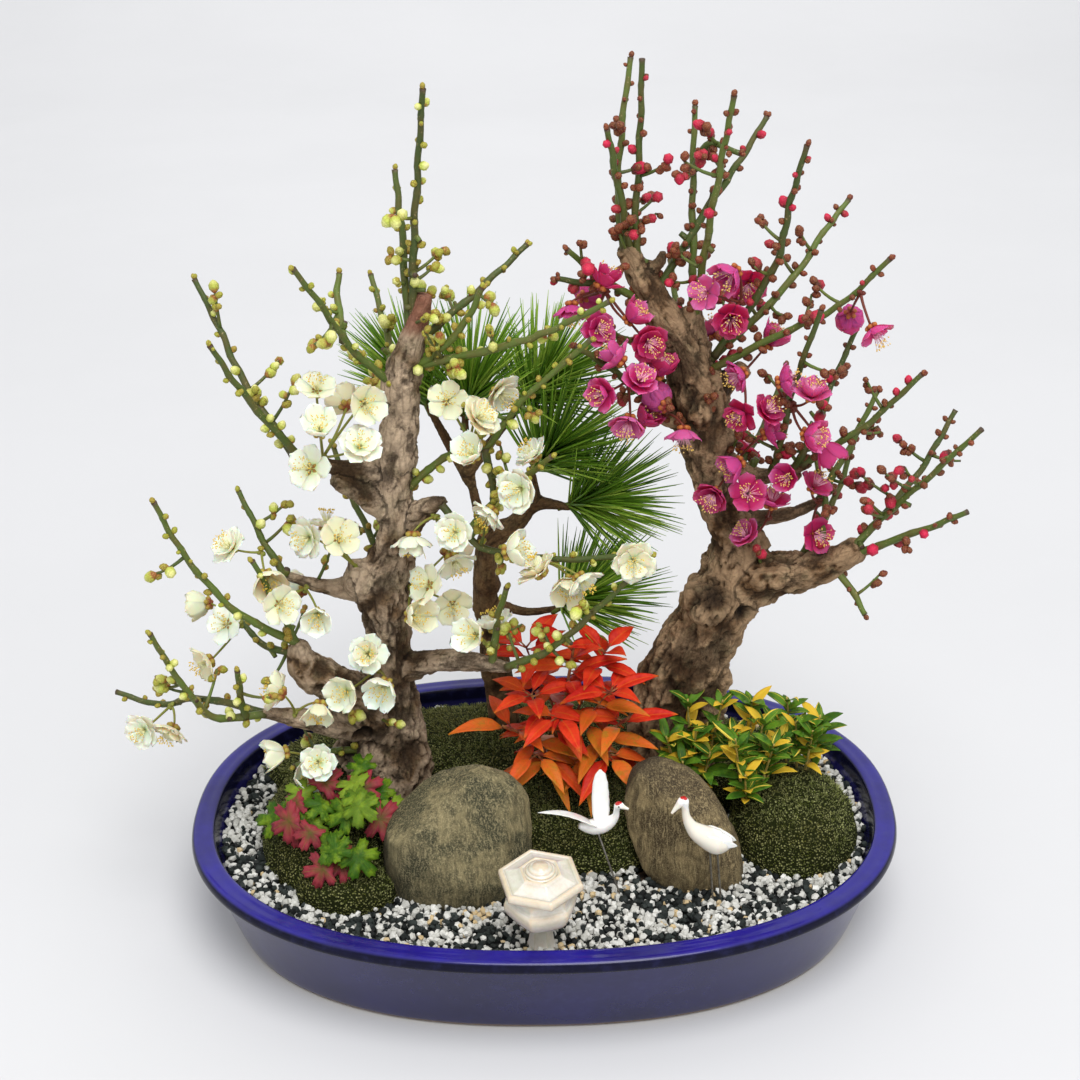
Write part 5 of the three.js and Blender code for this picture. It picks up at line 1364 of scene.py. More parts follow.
shootMaterial = makeShootMaterial("green bark of young shoots")
for kind, tree, slotName in (("white", whiteTree, "white_apricot_bark"),
                             ("pink", pinkTree, "pink_apricot_bark")):
    woodNode = kind + "_apricot_wood"
    woodShape, woodBars = makeWoodShape(tree, woods[kind])
    addPiece(kind + "_apricot_trunk", woodShape, makeBark(kind + " apricot bark", woods[kind]),
             [woodNode])
    twigShape, budCopies = makeTwigs(tree, woodBars, woods[kind], buds[kind], 100 + len(kind))
    addPiece(kind + "_apricot_shoots", twigShape, shootMaterial)
    addPiece(kind + "_apricot_buds", budCopies, makeBudMaterial(kind + " apricot bud", buds[kind]))

# Blossoms: five round cupped petals, a brush of stamens, a calyx of five sepals and a stalk to the spur
blossoms = {
    "white": {"radius": 10.8, "double": 0.5, "seed": 71, "stamens": 34, "brush": 0.84,
              "inner": "#d3d47c", "petal": "#fbf5df",
              "rim": "#fffdf2", "back": "#f1e9d0", "filament": "#f4f2c0", "anther": "#efd45e",
              "calyx": "#8c4a2e", "calyxTip": "#a59a3c", "stalk": "#7f8a3a", "cupped": 0.36,
              "loose": 0.6, "deep": "#ecdab4", "pollen": "#e2b84a"},
    "pink": {"radius": 9.4, "double": 0.6, "seed": 81, "stamens": 32, "brush": 1.05,
             "inner": "#98083a", "petal": "#c2286e",
             "rim": "#e277ad", "back": "#c23f80", "filament": "#f6b4cb", "anther": "#f0cf86",
             "calyx": "#7c2426", "calyxTip": "#b8702e", "stalk": "#6a3426", "cupped": 0.44,
             "loose": 0.85, "deep": "#a40d42", "pollen": "#e2b84a"},
}


# The same run of seeded numbers as the solids use, so that each blossom looks the way its solid does
def seededRun(seed, count):
    state, run = seed, []
    for _ in range(count):
        state = (state * 1664525 + 1013904223) % 4294967296
        run.append(state / 4294967296)
    return np.array(run)


# Foot, heart, facing, spin and size of every blossom of a tree; a spur stands on the nearest bark
def blossomFrames(kind, clusters):
    look = blossoms[kind]
    total = sum(len(hearts) for _, hearts in clusters)
    run = iter(seededRun(look["seed"], 3 * total + 3))
    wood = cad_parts[kind + "_apricot_wood"].data
    bark = BVHTree.FromPolygons([spot.co for spot in wood.vertices],
                                [face.vertices for face in wood.polygons])
    feet, middles, facings, spins, radii = [], [], [], [], []
    for spur, hearts in clusters:
        mean = np.mean(hearts, axis=0)
        seek = mixed(np.array(spur, dtype=float), mean, 0.3)
        near = np.array(bark.find_nearest((seek * mm).tolist())[0]) / mm
        foot = near + unit(mean - near) * 1.2
        for heart in np.array(hearts, dtype=float):
            size, turn = next(run), next(run)
            away = unit(heart - foot)
            toward = 0.5 if heart[1] > foot[1] + 5 else -0.7
            feet.append(foot)
            middles.append(heart)
            facings.append(unit(away + [0.3 * (turn - 0.5), toward, 0.3]))
            radii.append(look["radius"] * (0.9 + 0.15 * size))
            spins.append(next(run))
    return [np.array(rows) for rows in (feet, middles, facings, spins, radii)]


# Petal sheets: along the petal the half-width follows a rounded spade, the sheet rises with the square
# of its reach, cups across and ruffles at its rim
def petalSheets(frames, radii, spins, cupped, random):
    rows, columns, count = 7, 5, len(radii)
    along = np.linspace(0, 1, rows)[:, None]
    across = np.linspace(-1, 1, columns)[None]
    half = np.interp(along, [0, 0.12, 0.3, 0.5, 0.7, 0.85, 0.95, 1],
                     [0.07, 0.17, 0.31, 0.42, 0.46, 0.41, 0.28, 0.1])
    loose = random.uniform(-1, 1, (count, 5, 6, 1, 1))
    x = 0.07 + 0.93 * along * (1 + 0.05 * loose[:, :, 0]) - 0.05 * across ** 2 * along
    y = half * across * (1 + 0.07 * loose[:, :, 1]) + 0.02 * loose[:, :, 2] * along
    opening = np.where(random.random((count, 1, 1, 1)) < 0.3, 0.55, 0.0) + 0.1 * loose[:, :1, 3]
    rise = (cupped + 0.1 * loose[:, :, 3] + opening) * along ** 1.6
    x = x * (1 - 0.32 * opening * along)
    z = (rise + 0.15 * (across * half / 0.46) ** 2 * along
         + 0.03 * np.sin(5 * across + 3 * loose[:, :, 4]) * along ** 2
         + 0.055 * np.sin(9 * across + 5 * loose[:, :, 5]) * along ** 4)
    z = z + 0.018 * np.array([0, 2, 4, 1, 3])[None, :, None, None] * along
    angle = spins[:, None] + 2 * np.pi / 5 * np.arange(5)[None] + 0.05 * loose[:, :, 0, 0, 0]
    outward = roundAxis(frames, angle)
    sideways = frames[:, None, 1] * np.cos(angle)[..., None] - frames[:, None, 0] * np.sin(angle)[..., None]
    local = (x[..., None] * outward[:, :, None, None] + y[..., None] * sideways[:, :, None, None]
             + z[..., None] * frames[:, None, None, None, 2])
    sheets = (local * radii[:, None, None, None, None]).reshape(count * 5, rows, columns, 3)
    return sheets, along, across


def makeBlossomShapes(kind, clusters):
    look = blossoms[kind]
    random = np.random.default_rng(look["seed"])
    feet, middles, facings, spins, radii = blossomFrames(kind, clusters)
    facings = unit(facings + random.normal(0, look["loose"], facings.shape))
    frames = framesAlong(facings)
    count = len(radii)
    sheets, along, across = petalSheets(frames, radii, spins, look["cupped"], random)
    sheets = sheets + np.repeat(middles, 5, axis=0)[:, None, None]
    # some are half double: five smaller petals stand inside, turned by half a petal
    full = np.flatnonzero(random.random(count) < look["double"])
    small = petalSheets(frames[full], radii[full] * 0.74, spins[full] + math.pi / 5, look["cupped"] + 0.3,
                        random)[0]
    small = small + np.repeat(middles[full] + facings[full] * 0.6, 5, axis=0)[:, None, None]
    shade = random.random(count)
    petals = shells(np.concatenate([sheets, small])[..., ::-1, :], 0.2, along=along, across=across,
                    tint=np.repeat(np.concatenate([shade, shade[full]]), 5)[:, None, None, None])
    # stamens: thin needles that fan out of the heart, each with a small anther on its end
    many = look["stamens"]
    angle = random.random((count, many)) * 2 * np.pi
    spread = np.sqrt(random.random((count, many))) * 0.62
    aim = unit(frames[:, None, 2] + spread[..., None] * roundAxis(frames, angle)).reshape(-1, 3)
    root = np.repeat(middles + facings * 0.4, many, axis=0) + 0.8 * aim * [0.5, 0.5, 0.5]
    reach = np.repeat(radii, many) * look["brush"] * random.uniform(0.75, 1.08, count * many)
    corners = np.array([[1, 0, 0], [-0.5, 0.87, 0], [-0.5, -0.87, 0], [0, 0, 1.0]])
    needleShape = shape(corners * [0.26, 0.26, 1], (), [[0, 2, 1], [0, 1, 3], [1, 2, 3], [2, 0, 3]],
                        along=0.0)
    turns = framesAlong(aim, angle.ravel())
    ones = np.ones(len(reach))
    filaments = copies(needleShape, root, turns, np.stack([ones, ones, reach], axis=1))
    knob = shape([[1, 0, 0], [0, 1, 0], [-1, 0, 0], [0, -1, 0], [0, 0, 1], [0, 0, -1]], (),
                 [[0, 1, 4], [1, 2, 4], [2, 3, 4], [3, 0, 4], [1, 0, 5], [2, 1, 5], [3, 2, 5], [0, 3, 5]],
                 along=1.0)
    knobs = copies(knob, root + aim * reach[:, None], turns, np.full((len(reach), 1), 0.46) * [1, 0.8, 1.2])
    brush = together([filaments, knobs])
    # calyx: a small cup with five round sepals spread under the petals
    turn = spins[:, None] + 2 * np.pi / 5 * (np.arange(5)[None] + 0.5)
    outward = roundAxis(frames, turn)
    place = middles[:, None] - facings[:, None] * 0.9 + outward * (0.19 * radii)[:, None, None]
    sepal = ball(3, 6)
    sepals = copies(sepal, place.reshape(-1, 3),
                    framesAlong((outward + facings[:, None] * 0.25).reshape(-1, 3), up=(0, 1, 0)),
                    np.repeat(radii, 5)[:, None] * [0.15, 0.15, 0.2], tint=np.repeat(random.random(count), 5))
    cups = copies(sepal, middles - facings * 1.1, framesAlong(facings), radii[:, None] * [0.15, 0.15, 0.13],
                  tint=random.random(count))
    stalks = []
    for foot, middle, facing in zip(feet, middles, facings):
        share = np.linspace(0, 1, 7)[:, None]
        end = middle - facing * 1.6
        path = mixed(foot, end, share) - facing * 1.5 * np.sin(np.pi * share)
        stalks.append(tube(path, mixed(0.75, 0.55, share[:, 0]), 6, tint=0.3))
    stalks = together(stalks)
    scales = copies(budShape(), np.repeat(feet, 2, axis=0), framesAlong(random.normal(0, 1, (2 * count, 3))),
                    np.full((2 * count, 3), 1.15), tint=0.2)
    calyces, stems = marked(together([sepals, cups]), part=0), marked(together([stalks, scales]), part=1)
    return petals, brush, together([calyces, stems])


def makePetalMaterial(kind):
    look = blossoms[kind]
    material, tree, shader = newMaterial(kind + " petal", 0.6, Subsurface_Weight=0.4, Subsurface_Scale=0.003,
                                         Specular_IOR_Level=0.25)
    along, across = readMark(tree, "along"), readMark(tree, "across")
    # veins fan out from the foot of the petal
    veins = addNode(tree, "ShaderNodeTexWave", {
        "Vector": addNode(tree, "ShaderNodeCombineXYZ", {"X": across, "Y": addMath(
            tree, "MULTIPLY", along, 0.25)}).outputs["Vector"],
        "Scale": 2.6, "Distortion": 2.2, "Detail": 2.0, "Detail Scale": 2.0}).outputs["Fac"]
    cloud = addMottle(tree, objectPlace(tree), 5.0, 0.35, 0.7)
    face = addMix(tree, addRamp(tree, along, [(0.05, 0.0), (0.42, 1.0)]), look["inner"], look["petal"])
    face = addMix(tree, addRamp(tree, along, [(0.6, 0.0), (1.0, 1.0)]), face, look["rim"])
    base = addMix(tree, readMark(tree, "front"), look["back"], face)
    base = addMix(tree, addRamp(tree, readMark(tree, "tint"), [(0.5, 0.0), (0.95, 0.75)]), base, look["deep"])
    base = addMix(tree, addRamp(tree, readMark(tree, "tint"), [(0.0, 0.5), (0.35, 0.0)]), base, look["rim"])
    base = wash(tree, cloud["Mask"], 0.22, base, look["back"])
    base = wash(tree, veins, 0.1, base, look["inner"])
    feed(tree, shader, Base_Color=base)
    addBump(tree, shader, veins, 0.25, 0.0004)
    return material


def makeBrushMaterial(kind):
    look = blossoms[kind]
    material, tree, shader = newMaterial(kind + " stamens", 0.6, Specular_IOR_Level=0.3)
    grain = addMottle(tree, objectPlace(tree), 0.8, 0.4, 0.6)
    anther = addMix(tree, grain["Mask"], look["anther"], look["pollen"])
    feed(tree, shader, Base_Color=addMix(tree, readMark(tree, "along"), look["filament"], anther))
    return material


def makeCalyxMaterial(kind):
    look = blossoms[kind]
    material, tree, shader = newMaterial(kind + " calyx", 0.5, Specular_IOR_Level=0.3)
    fine = addMottle(tree, objectPlace(tree), 1.0, 0.4, 0.65)
    cup = addMix(tree, addRamp(tree, readMark(tree, "along"), [(0.3, 0.0), (0.9, 1.0)]), look["calyx"],
                 look["calyxTip"])
    base = addMix(tree, readMark(tree, "part"), cup, look["stalk"])
    feed(tree, shader, Base_Color=wash(tree, fine["Mask"], 0.4, base, look["calyx"]))
    addBump(tree, shader, fine["Height"], 0.3, 0.0004)
    return material


for kind, clusters in (("white", whiteClusters), ("pink", pinkClusters)):
    petalShape, brushShape, calyxShape = makeBlossomShapes(kind, clusters)
    nodeNames = [f"{kind}_blossoms_{number:02d}" for number in range(1, len(clusters) + 1)]
    addPiece(kind + "_petals", petalShape, makePetalMaterial(kind), nodeNames)
    addPiece(kind + "_stamens", brushShape, makeBrushMaterial(kind))
    addPiece(kind + "_calyces", calyxShape, makeCalyxMaterial(kind))

# Leafy plants. A leaf runs along its first direction, its face looks along its third; the half-width
# follows a curve, the two halves fold up from the middle rib, and the tip droops with the square of reach
def leafSheets(feet, aims, faces, lengths, widths, outline, droop, fold, random, rows=9, columns=5):
    count = len(feet)
    along = np.linspace(0, 1, rows)[None, :, None]
    across = np.linspace(-1, 1, columns)[None, None]
    aims = unit(aims)
    side = unit(np.cross(faces, aims))
    up = np.cross(aims, side)
    half = np.interp(along, *outline) * widths[:, None, None] / 2
    sway = random.uniform(-1, 1, (count, 1, 1)) * 0.07 * lengths[:, None, None]
    reach = along * lengths[:, None, None]
    y = half * across + sway * along ** 2
    ripple = 0.035 * np.sin(7 * along + 6 * random.random((count, 1, 1))) * across
    z = (fold * np.abs(across) * half + ripple * widths[:, None, None]
         + 0.06 * lengths[:, None, None] * np.sin(np.pi * along) * random.uniform(0, 1, (count, 1, 1)))
    sheets = (feet[:, None, None] + reach[..., None] * aims[:, None, None]
              + y[..., None] * side[:, None, None] + z[..., None] * up[:, None, None])
    # a leaf bows down less where it already points down
    level = np.sqrt(np.maximum(1 - aims[:, 2] ** 2, 0.05))[:, None, None]
    bow = np.broadcast_to(np.asarray(droop, dtype=float).reshape(-1, 1, 1), (count, 1, 1))
    sheets[..., 2] -= bow * lengths[:, None, None] * along ** 2 * level
    return sheets, along, across


# Pine: each spray is a twig crowded with pairs of straight needles; the tilt grows towards the foot
pine = {"pairs": 98, "length": 50.0, "radius": 0.6, "parting": 0.09,
        "dark": "#3f6318", "green": "#6f9a28", "light": "#a6c24c", "sheath": "#8a6a3a"}
sprays = {
    "pine_spray_top": ((-37, 60, 240), (-33, 62, 262), 1.0),
    "pine_spray_upper_right": ((-9, 67, 246), (4, 68, 262), 1.05),
    "pine_spray_middle_right": ((-4, 52, 216), (8, 50, 232), 1.0),
    "pine_spray_right": ((12, 51, 198), (30, 48, 204), 1.0),
    "pine_spray_low": ((8, 54, 137), (24, 52, 148), 1.0),
    "pine_spray_upper_left": ((-55, 68, 245), (-62, 70, 260), 0.8),
}
twigRadii = [3.4, 2.6, 1.9]
pineTree = {
    "trunk": [(-20, 64, 24), (-21, 63, 60), (-26, 62, 115), (-29, 60, 146), (-25, 58, 177), (-13, 56, 186),
              (-2, 54, 198), (16, 50, 198)],
    "trunkRadii": [9, 9, 7, 6.5, 6, 5, 4, 2],
    "limbs": [([(-2, 54, 198), (-3, 53, 210), (-4, 52, 220)], twigRadii),
              ([(-26, 59, 170), (-34, 60, 205), (-37, 60, 246)], twigRadii),
              ([(-36, 60, 214), (-18, 66, 236), (-6, 68, 250)], twigRadii),
              ([(-28, 60, 140), (-8, 56, 135), (10, 54, 138)], twigRadii),
              ([(-35, 60, 208), (-48, 66, 232), (-56, 68, 248)], twigRadii)],
    "lumps": [(-28, 59, 150, 7.5), (-22, 58, 180, 6.5), (-24, 62, 96, 7.6)],
}
woods["pine"] = {"voxel": 1.3, "groove": 0.7, "lump": 0.7, "knots": 20, "seed": 80,
                 "marks": [((-27, 53, 122), 4, 1.6)], "low": "#281c10", "bark": "#66492f",
                 "light": "#8d704c", "film": "#66623f", "filmShare": 0.25, "smoothFrom": 420,
                 "smooth": "#8d5745"}


def makeSprays():
    random = np.random.default_rng(31)
    roots, aims, lengths, twigs = [], [], [], []
    for foot, tip, spread in sprays.values():
        foot, tip = np.array(foot, dtype=float), np.array(tip, dtype=float)
        ahead = unit(tip - foot)
        side, over = acrossOf(ahead)
        share = (np.arange(pine["pairs"]) + 0.5) / pine["pairs"]
        turn = 2.4 * np.arange(pine["pairs"])
        tilt = spread * (1.15 - 0.75 * share) * random.uniform(0.72, 1.15, len(share))
        out = side * np.cos(turn)[:, None] + over * np.sin(turn)[:, None]
        aim = ahead * np.cos(tilt)[:, None] + out * np.sin(tilt)[:, None]
        root = foot + (tip - foot) * (0.12 + 0.85 * share)[:, None] + out * 0.6
        # the two needles of a pair part a little
        part = unit(np.cross(aim, random.normal(0, 1, aim.shape)))
        aims.append(unit(np.concatenate([aim + part * pine["parting"], aim - part * pine["parting"]])))
        roots.append(np.concatenate([root, root]))
        length = pine["length"] * random.uniform(0.72, 1.0, len(share))
        lengths.append(np.concatenate([length, length]))
        twigs.append(tube(mixed(foot - ahead * 3, tip, np.linspace(0, 1, 8)[:, None]),
                          np.linspace(1.9, 1.0, 8), 8))
    roots, aims, lengths = np.concatenate(roots), np.concatenate(aims), np.concatenate(lengths)
    ends = roots + aims * lengths[:, None]
    low, high = np.array([-112.0, 8, 72]), np.array([84.0, 108, 312])
    shrink = np.ones(len(roots))
    for edge, sign in ((low, -1), (high, 1)):
        past = np.where(sign * (ends - edge) > 0, (edge - roots) / np.where(ends == roots, 1, ends - roots),
                        1)
        shrink = np.minimum(shrink, past.min(axis=1))
    path = np.linspace(0, 1, 5)[:, None]
    needle = tube(path * [0.0, 0.0, 1.0], [1.0, 1.0, 0.95, 0.7, 0.16], 4, up=(0, 1, 0))
    sizes = np.stack([np.full(len(roots), pine["radius"])] * 2 + [lengths * np.maximum(shrink, 0.3)], axis=1)
    return copies(needle, roots, framesAlong(aims, random.random(len(roots)) * 6.28), sizes,
                  tint=random.random(len(roots))), together(twigs)


def makeNeedleMaterial():
    material, tree, shader = newMaterial("pine needle", 0.5, Specular_IOR_Level=0.15)
    fine = addMottle(tree, objectPlace(tree), 2.0, 0.35, 0.65)
    base = addRamp(tree, readMark(tree, "tint"), [(0.0, pine["dark"]), (0.55, pine["green"]),
                                                  (1.0, pine["light"])])
    base = addMix(tree, addRamp(tree, readMark(tree, "along"), [(0.0, 1.0), (0.08, 0.0)]), base,
                  pine["sheath"])
    base = wash(tree, fine["Mask"], 0.3, base, pine["dark"])
    feed(tree, shader, Base_Color=base)
    addBump(tree, shader, fine["Height"], 0.2, 0.0003)
    return material


pineWood = makeWoodShape(pineTree, woods["pine"])[0]
pineBark = makeBark("pine bark", woods["pine"])
addPiece("pine_trunk", pineWood, pineBark, ["pine_wood"])
needleShape, twigShape = makeSprays()
addPiece("pine_needles", needleShape, makeNeedleMaterial(), list(sprays))
addPiece("pine_twigs", twigShape, shootMaterial)


# Nandina: jointed stems with whorls of pointed smooth leaflets, scarlet above and orange below
nandina = {"length": 29.5, "width": 8.2, "droop": 0.28, "fold": 0.25, "stem": 1.15,
           "outline": ([0, 0.05, 0.2, 0.38, 0.6, 0.8, 0.93, 1], [0.1, 0.25, 0.8, 1, 0.84, 0.47, 0.18, 0.02]),
           "red": "#b5160f", "scarlet": "#d63a1c", "orange": "#d26322", "bronze": "#b9731c",
           "green": "#75781f", "stemRed": "#6e2417", "stemTan": "#9a6b3c"}
nandinaStems = {
    "nandina_stem_tall": ([(13, 6, 42), (12, 6, 84), (12, 6, 112), (16, 8, 140)],
                          [(0.56, 4, -0.1), (0.7, 4, 0.1), (0.82, 4, 0.4), (0.93, 2, 1.1)]),
    "nandina_stem_left": ([(9, 3, 42), (4, 0, 78), (-10, -6, 98), (-20, -10, 106)],
                          [(0.5, 3, -0.2), (0.7, 3, 0.0), (0.88, 4, 0.25)]),
    "nandina_stem_right": ([(18, 3, 42), (24, 1, 78), (34, -4, 98), (44, -6, 108)],
                           [(0.5, 3, -0.25), (0.7, 3, 0.0), (0.88, 4, 0.35)]),
}
# finer side stems that fill the crown between the three
crownWhorls = [(0.5, 3, 0.0), (0.75, 4, 0.1), (0.95, 5, 0.4)]
rearWhorls = [(0.55, 3, 0.1), (0.8, 4, 0.3), (0.97, 4, 0.6)]
lowWhorls = [(0.7, 3, -0.3), (0.97, 4, -0.2)]
nandinaSides = [
    ([(12, 6, 70), (6, -2, 96), (-2, -8, 116), (-6, -10, 124)], crownWhorls),
    ([(13, 6, 74), (22, 0, 100), (30, -6, 118), (34, -8, 124)], crownWhorls),
    ([(12, 6, 84), (10, -4, 104), (8, -12, 112), (7, -16, 114)], [(0.6, 3, -0.1), (0.95, 5, 0.0)]),
    ([(12, 6, 90), (0, 12, 118), (-6, 14, 132), (-8, 14, 138)], rearWhorls),
    ([(12, 6, 90), (24, 12, 116), (30, 12, 130), (32, 12, 136)], rearWhorls),
    ([(12, 4, 66), (4, -8, 84), (-2, -16, 92), (-4, -18, 94)], lowWhorls),
    ([(16, 4, 66), (26, -6, 84), (32, -14, 90), (34, -16, 92)], lowWhorls),
]


# Foot, aim and size of each leaf of a whorled stem, turned as its solid is
def whorlLeaves(route, whorls, run, lengthRange=(0.85, 0.3)):
    path, _ = routeCurve(route, 1.0)
    rows = []
    for share, count, lift in whorls:
        for i in range(count):
            turn = 2 * math.pi * (i + 0.6 * next(run)) / count + 5 * share
            rise = lift + 0.3 * (next(run) - 0.5)
            at = path[int(min(0.995, share + 0.1 * i / count) * (len(path) - 1))]
            rows.append((*at, math.cos(turn), math.sin(turn), rise,
                         lengthRange[0] + lengthRange[1] * next(run),
                         lengthRange[0] + lengthRange[1] * next(run)))
    rows = np.array(rows)
    return path, rows[:, :3], unit(rows[:, 3:6]), rows[:, 6], rows[:, 7]


def makeNandina():
    random = np.random.default_rng(41)
    leaves, stems = [], []
    for number, (route, whorls) in enumerate(list(nandinaStems.values()) + nandinaSides):
        path, feet, aims, longer, wider = whorlLeaves(route, whorls, iter(seededRun(41 + number, 200)))
        feet = feet + aims * 1.2
        faces = unit(np.cross(np.cross(aims, [0.0, -0.35, 1.0]), aims))
        sheets, along, across = leafSheets(
            feet + aims * 2.5, aims, faces, longer * (nandina["length"] - 2.5) * (1 if number < 3 else 0.84),
            wider * nandina["width"], nandina["outline"], nandina["droop"], nandina["fold"], random, 11, 7)
        height = np.clip((feet[:, 2] - 74) / 50, 0, 1)[:, None, None, None]
        leaves.append(shells(sheets, 0.32, along=along[None],
                             across=across[None], high=height,
                             tint=random.random(len(feet))[:, None, None, None]))
        thick = nandina["stem"] * (1 if number < 3 else 0.55)
        stems.append(tube(path, np.linspace(thick * 1.35, thick * 0.6, len(path)), 8,
                          lambda angle, i: 1 + 0.25 * (np.sin(i / 3.4) > 0.96) + 0 * angle, part=0.0))
        for foot, aim in zip(feet, aims):
            stems.append(tube(foot + aim * np.linspace(-1.4, 4.2, 4)[:, None], [0.6, 0.5, 0.45, 0.4], 6,
                              part=1.0))
    return together(leaves), together(stems)


# Veins of a leaf: a light middle rib and side veins that slant to the rim, drawn from its own marks
def makeVeinGroup():
    tree, given, result = newGroup("leaf veins", {"Along": 0.0, "Across": 0.0, "Veins": 9.0},
                                   {"Rib": "NodeSocketFloat", "Side": "NodeSocketFloat"})
    reach = addMath(tree, "ABSOLUTE", given["Across"])
    rib = addNode(tree, "ShaderNodeMapRange", {"Value": reach, "From Min": 0.03, "From Max": 0.14,
                                               "To Min": 1.0, "To Max": 0.0})
    slant = addMath(tree, "SUBTRACT", given["Along"], addMath(tree, "MULTIPLY", reach, 0.16))
    wave = addMath(tree, "SINE", addMath(tree, "MULTIPLY", slant, addMath(
        tree, "MULTIPLY", given["Veins"], 6.283)))
    side = addNode(tree, "ShaderNodeMapRange", {"Value": wave, "From Min": 0.72, "From Max": 1.0})
    tree.links.new(rib.outputs["Result"], result["Rib"])
    tree.links.new(side.outputs["Result"], result["Side"])
    return tree


veinGroup = makeVeinGroup()


def placeVeins(tree, veins):
    return placeGroup(tree, veinGroup, {"Along": readMark(tree, "along"), "Across": readMark(tree, "across"),
                                        "Veins": veins})


def makeNandinaMaterial():
    material, tree, shader = newMaterial("nandina leaf", 0.48, Subsurface_Weight=0.1, Subsurface_Scale=0.002,
                                         Specular_IOR_Level=0.14)
    veins = placeVeins(tree, 8.0)
    place = objectPlace(tree)
    cloud, patch = addMottle(tree, place, 11.0, 0.38, 0.66), addMottle(tree, place, 5.0, 0.52, 0.66)
    low = addMix(tree, cloud["Mask"], nandina["orange"], nandina["bronze"])
    low = wash(tree, patch["Mask"], 0.5, low, nandina["green"])
    high = addMix(tree, cloud["Mask"], nandina["scarlet"], nandina["red"])
    shift = addMath(tree, "ADD", readMark(tree, "high"), addMath(tree, "MULTIPLY", addMath(
        tree, "SUBTRACT", readMark(tree, "tint"), 0.5), 0.9))
    base = addMix(tree, addRamp(tree, shift, [(0.3, 0.0), (0.75, 1.0)]), low, high)
    base = wash(tree, veins["Rib"], 0.5, base, nandina["orange"])
    base = wash(tree, veins["Side"], 0.18, base, nandina["red"])
    base = addMix(tree, addRamp(tree, readMark(tree, "along"), [(0.86, 0.0), (1.0, 0.7)]), base,
                  nandina["bronze"])
    feed(tree, shader, Base_Color=base)
    bumps = addMath(tree, "ADD", veins["Side"], cloud["Height"])
    addBump(tree, shader, bumps, 0.25, 0.0004)
    return material


def makeStemMaterial(name, low, high, size=3.0):
    material, tree, shader = newMaterial(name, 0.5, Specular_IOR_Level=0.3)
    fine = addMottle(tree, objectPlace(tree), size, 0.38, 0.64)
    base = addMix(tree, fine["Mask"], low, high)
    feed(tree, shader, Base_Color=base)
    addBump(tree, shader, fine["Height"], 0.3, 0.0004)
    return material


leafShape, stemShape = makeNandina()
addPiece("nandina_leaves", leafShape, makeNandinaMaterial(), list(nandinaStems))
addPiece("nandina_stems", stemShape, makeStemMaterial("nandina stem", nandina["stemRed"], nandina["stemTan"]))


# Dwarf bamboo: short tan culms crowded with striped lance leaves that stand out all round and bow
bamboo = {"length": 18.5, "width": 6.0, "droop": 0.24, "fold": 0.2, "culm": 0.75, "perCulm": 15,
          "outline": ([0, 0.08, 0.25, 0.5, 0.75, 0.92, 1], [0.12, 0.55, 0.95, 1, 0.72, 0.3, 0.02]),
          "green": "#557c1e", "dark": "#305614", "cream": "#eacb50", "yellow": "#e3b734", "tan": "#b8a056",
          "olive": "#7d7a3c"}
bambooCulms = {
    "bamboo_left": ((77, -2, 50), [(62, -6, 96), (74, 10, 108), (84, -12, 90), (91, 2, 112), (70, -14, 86),
                                   (84, 4, 98), (77, -6, 100)]),
    "bamboo_middle": ((104, -12, 50), [(95, -22, 104), (105, -2, 114), (115, -18, 98), (110, -10, 106),
                                       (100, -27, 86), (96, -8, 98), (120, -6, 92)]),
    "bamboo_right": ((133, 8, 50), [(125, 14, 106), (136, -6, 98), (146, 14, 92), (128, 0, 100),
                                    (141, 4, 101), (120, 6, 94)]),
}


def makeBamboo():
    random = np.random.default_rng(51)
    feet, aims, sizes, culms = [], [], [], []
    for crown, tips in bambooCulms.values():
        crown = np.array(crown, dtype=float)
        for tip in tips:
            tip = np.array(tip, dtype=float)
            path, _ = routeCurve([crown - [0, 0, 4], mixed(crown, tip, 0.5) - [0, 0, 4], tip], 1.5)
            culms.append(tube(path, np.linspace(bamboo["culm"] * 1.3, bamboo["culm"] * 0.6, len(path)), 7,
                              lambda angle, i: 1 + 0.3 * (np.cos(i * 0.9) > 0.93) + 0 * angle))
            share = np.sort(random.uniform(0.4, 1.0, bamboo["perCulm"]) ** 0.7)
            at = path[(share * (len(path) - 1)).astype(int)]
            turn = 2.4 * np.arange(len(share)) + random.random() * 6
            rise = mixed(-0.05, 0.95, share) + random.uniform(-0.2, 0.25, len(share))
            feet.append(at)
            aims.append(np.stack([np.cos(turn), np.sin(turn), rise], axis=1))
            sizes.append(random.uniform(0.72, 1.08, len(share)) * mixed(1.05, 0.85, share))
    feet, aims, sizes = np.concatenate(feet), unit(np.concatenate(aims)), np.concatenate(sizes)
    faces = unit(np.cross(np.cross(aims, [0.0, -0.3, 1.0]), aims))
    sheets, along, across = leafSheets(
        feet, aims, faces, sizes * bamboo["length"], sizes * bamboo["width"], bamboo["outline"],
        bamboo["droop"] * random.uniform(0.4, 1.5, len(feet)), bamboo["fold"], random, 8, 5)
    leaves = shells(sheets, 0.26, along=along[None],
                    across=across[None],
                    tint=random.random(len(feet))[:, None, None, None])
    return leaves, together(culms)


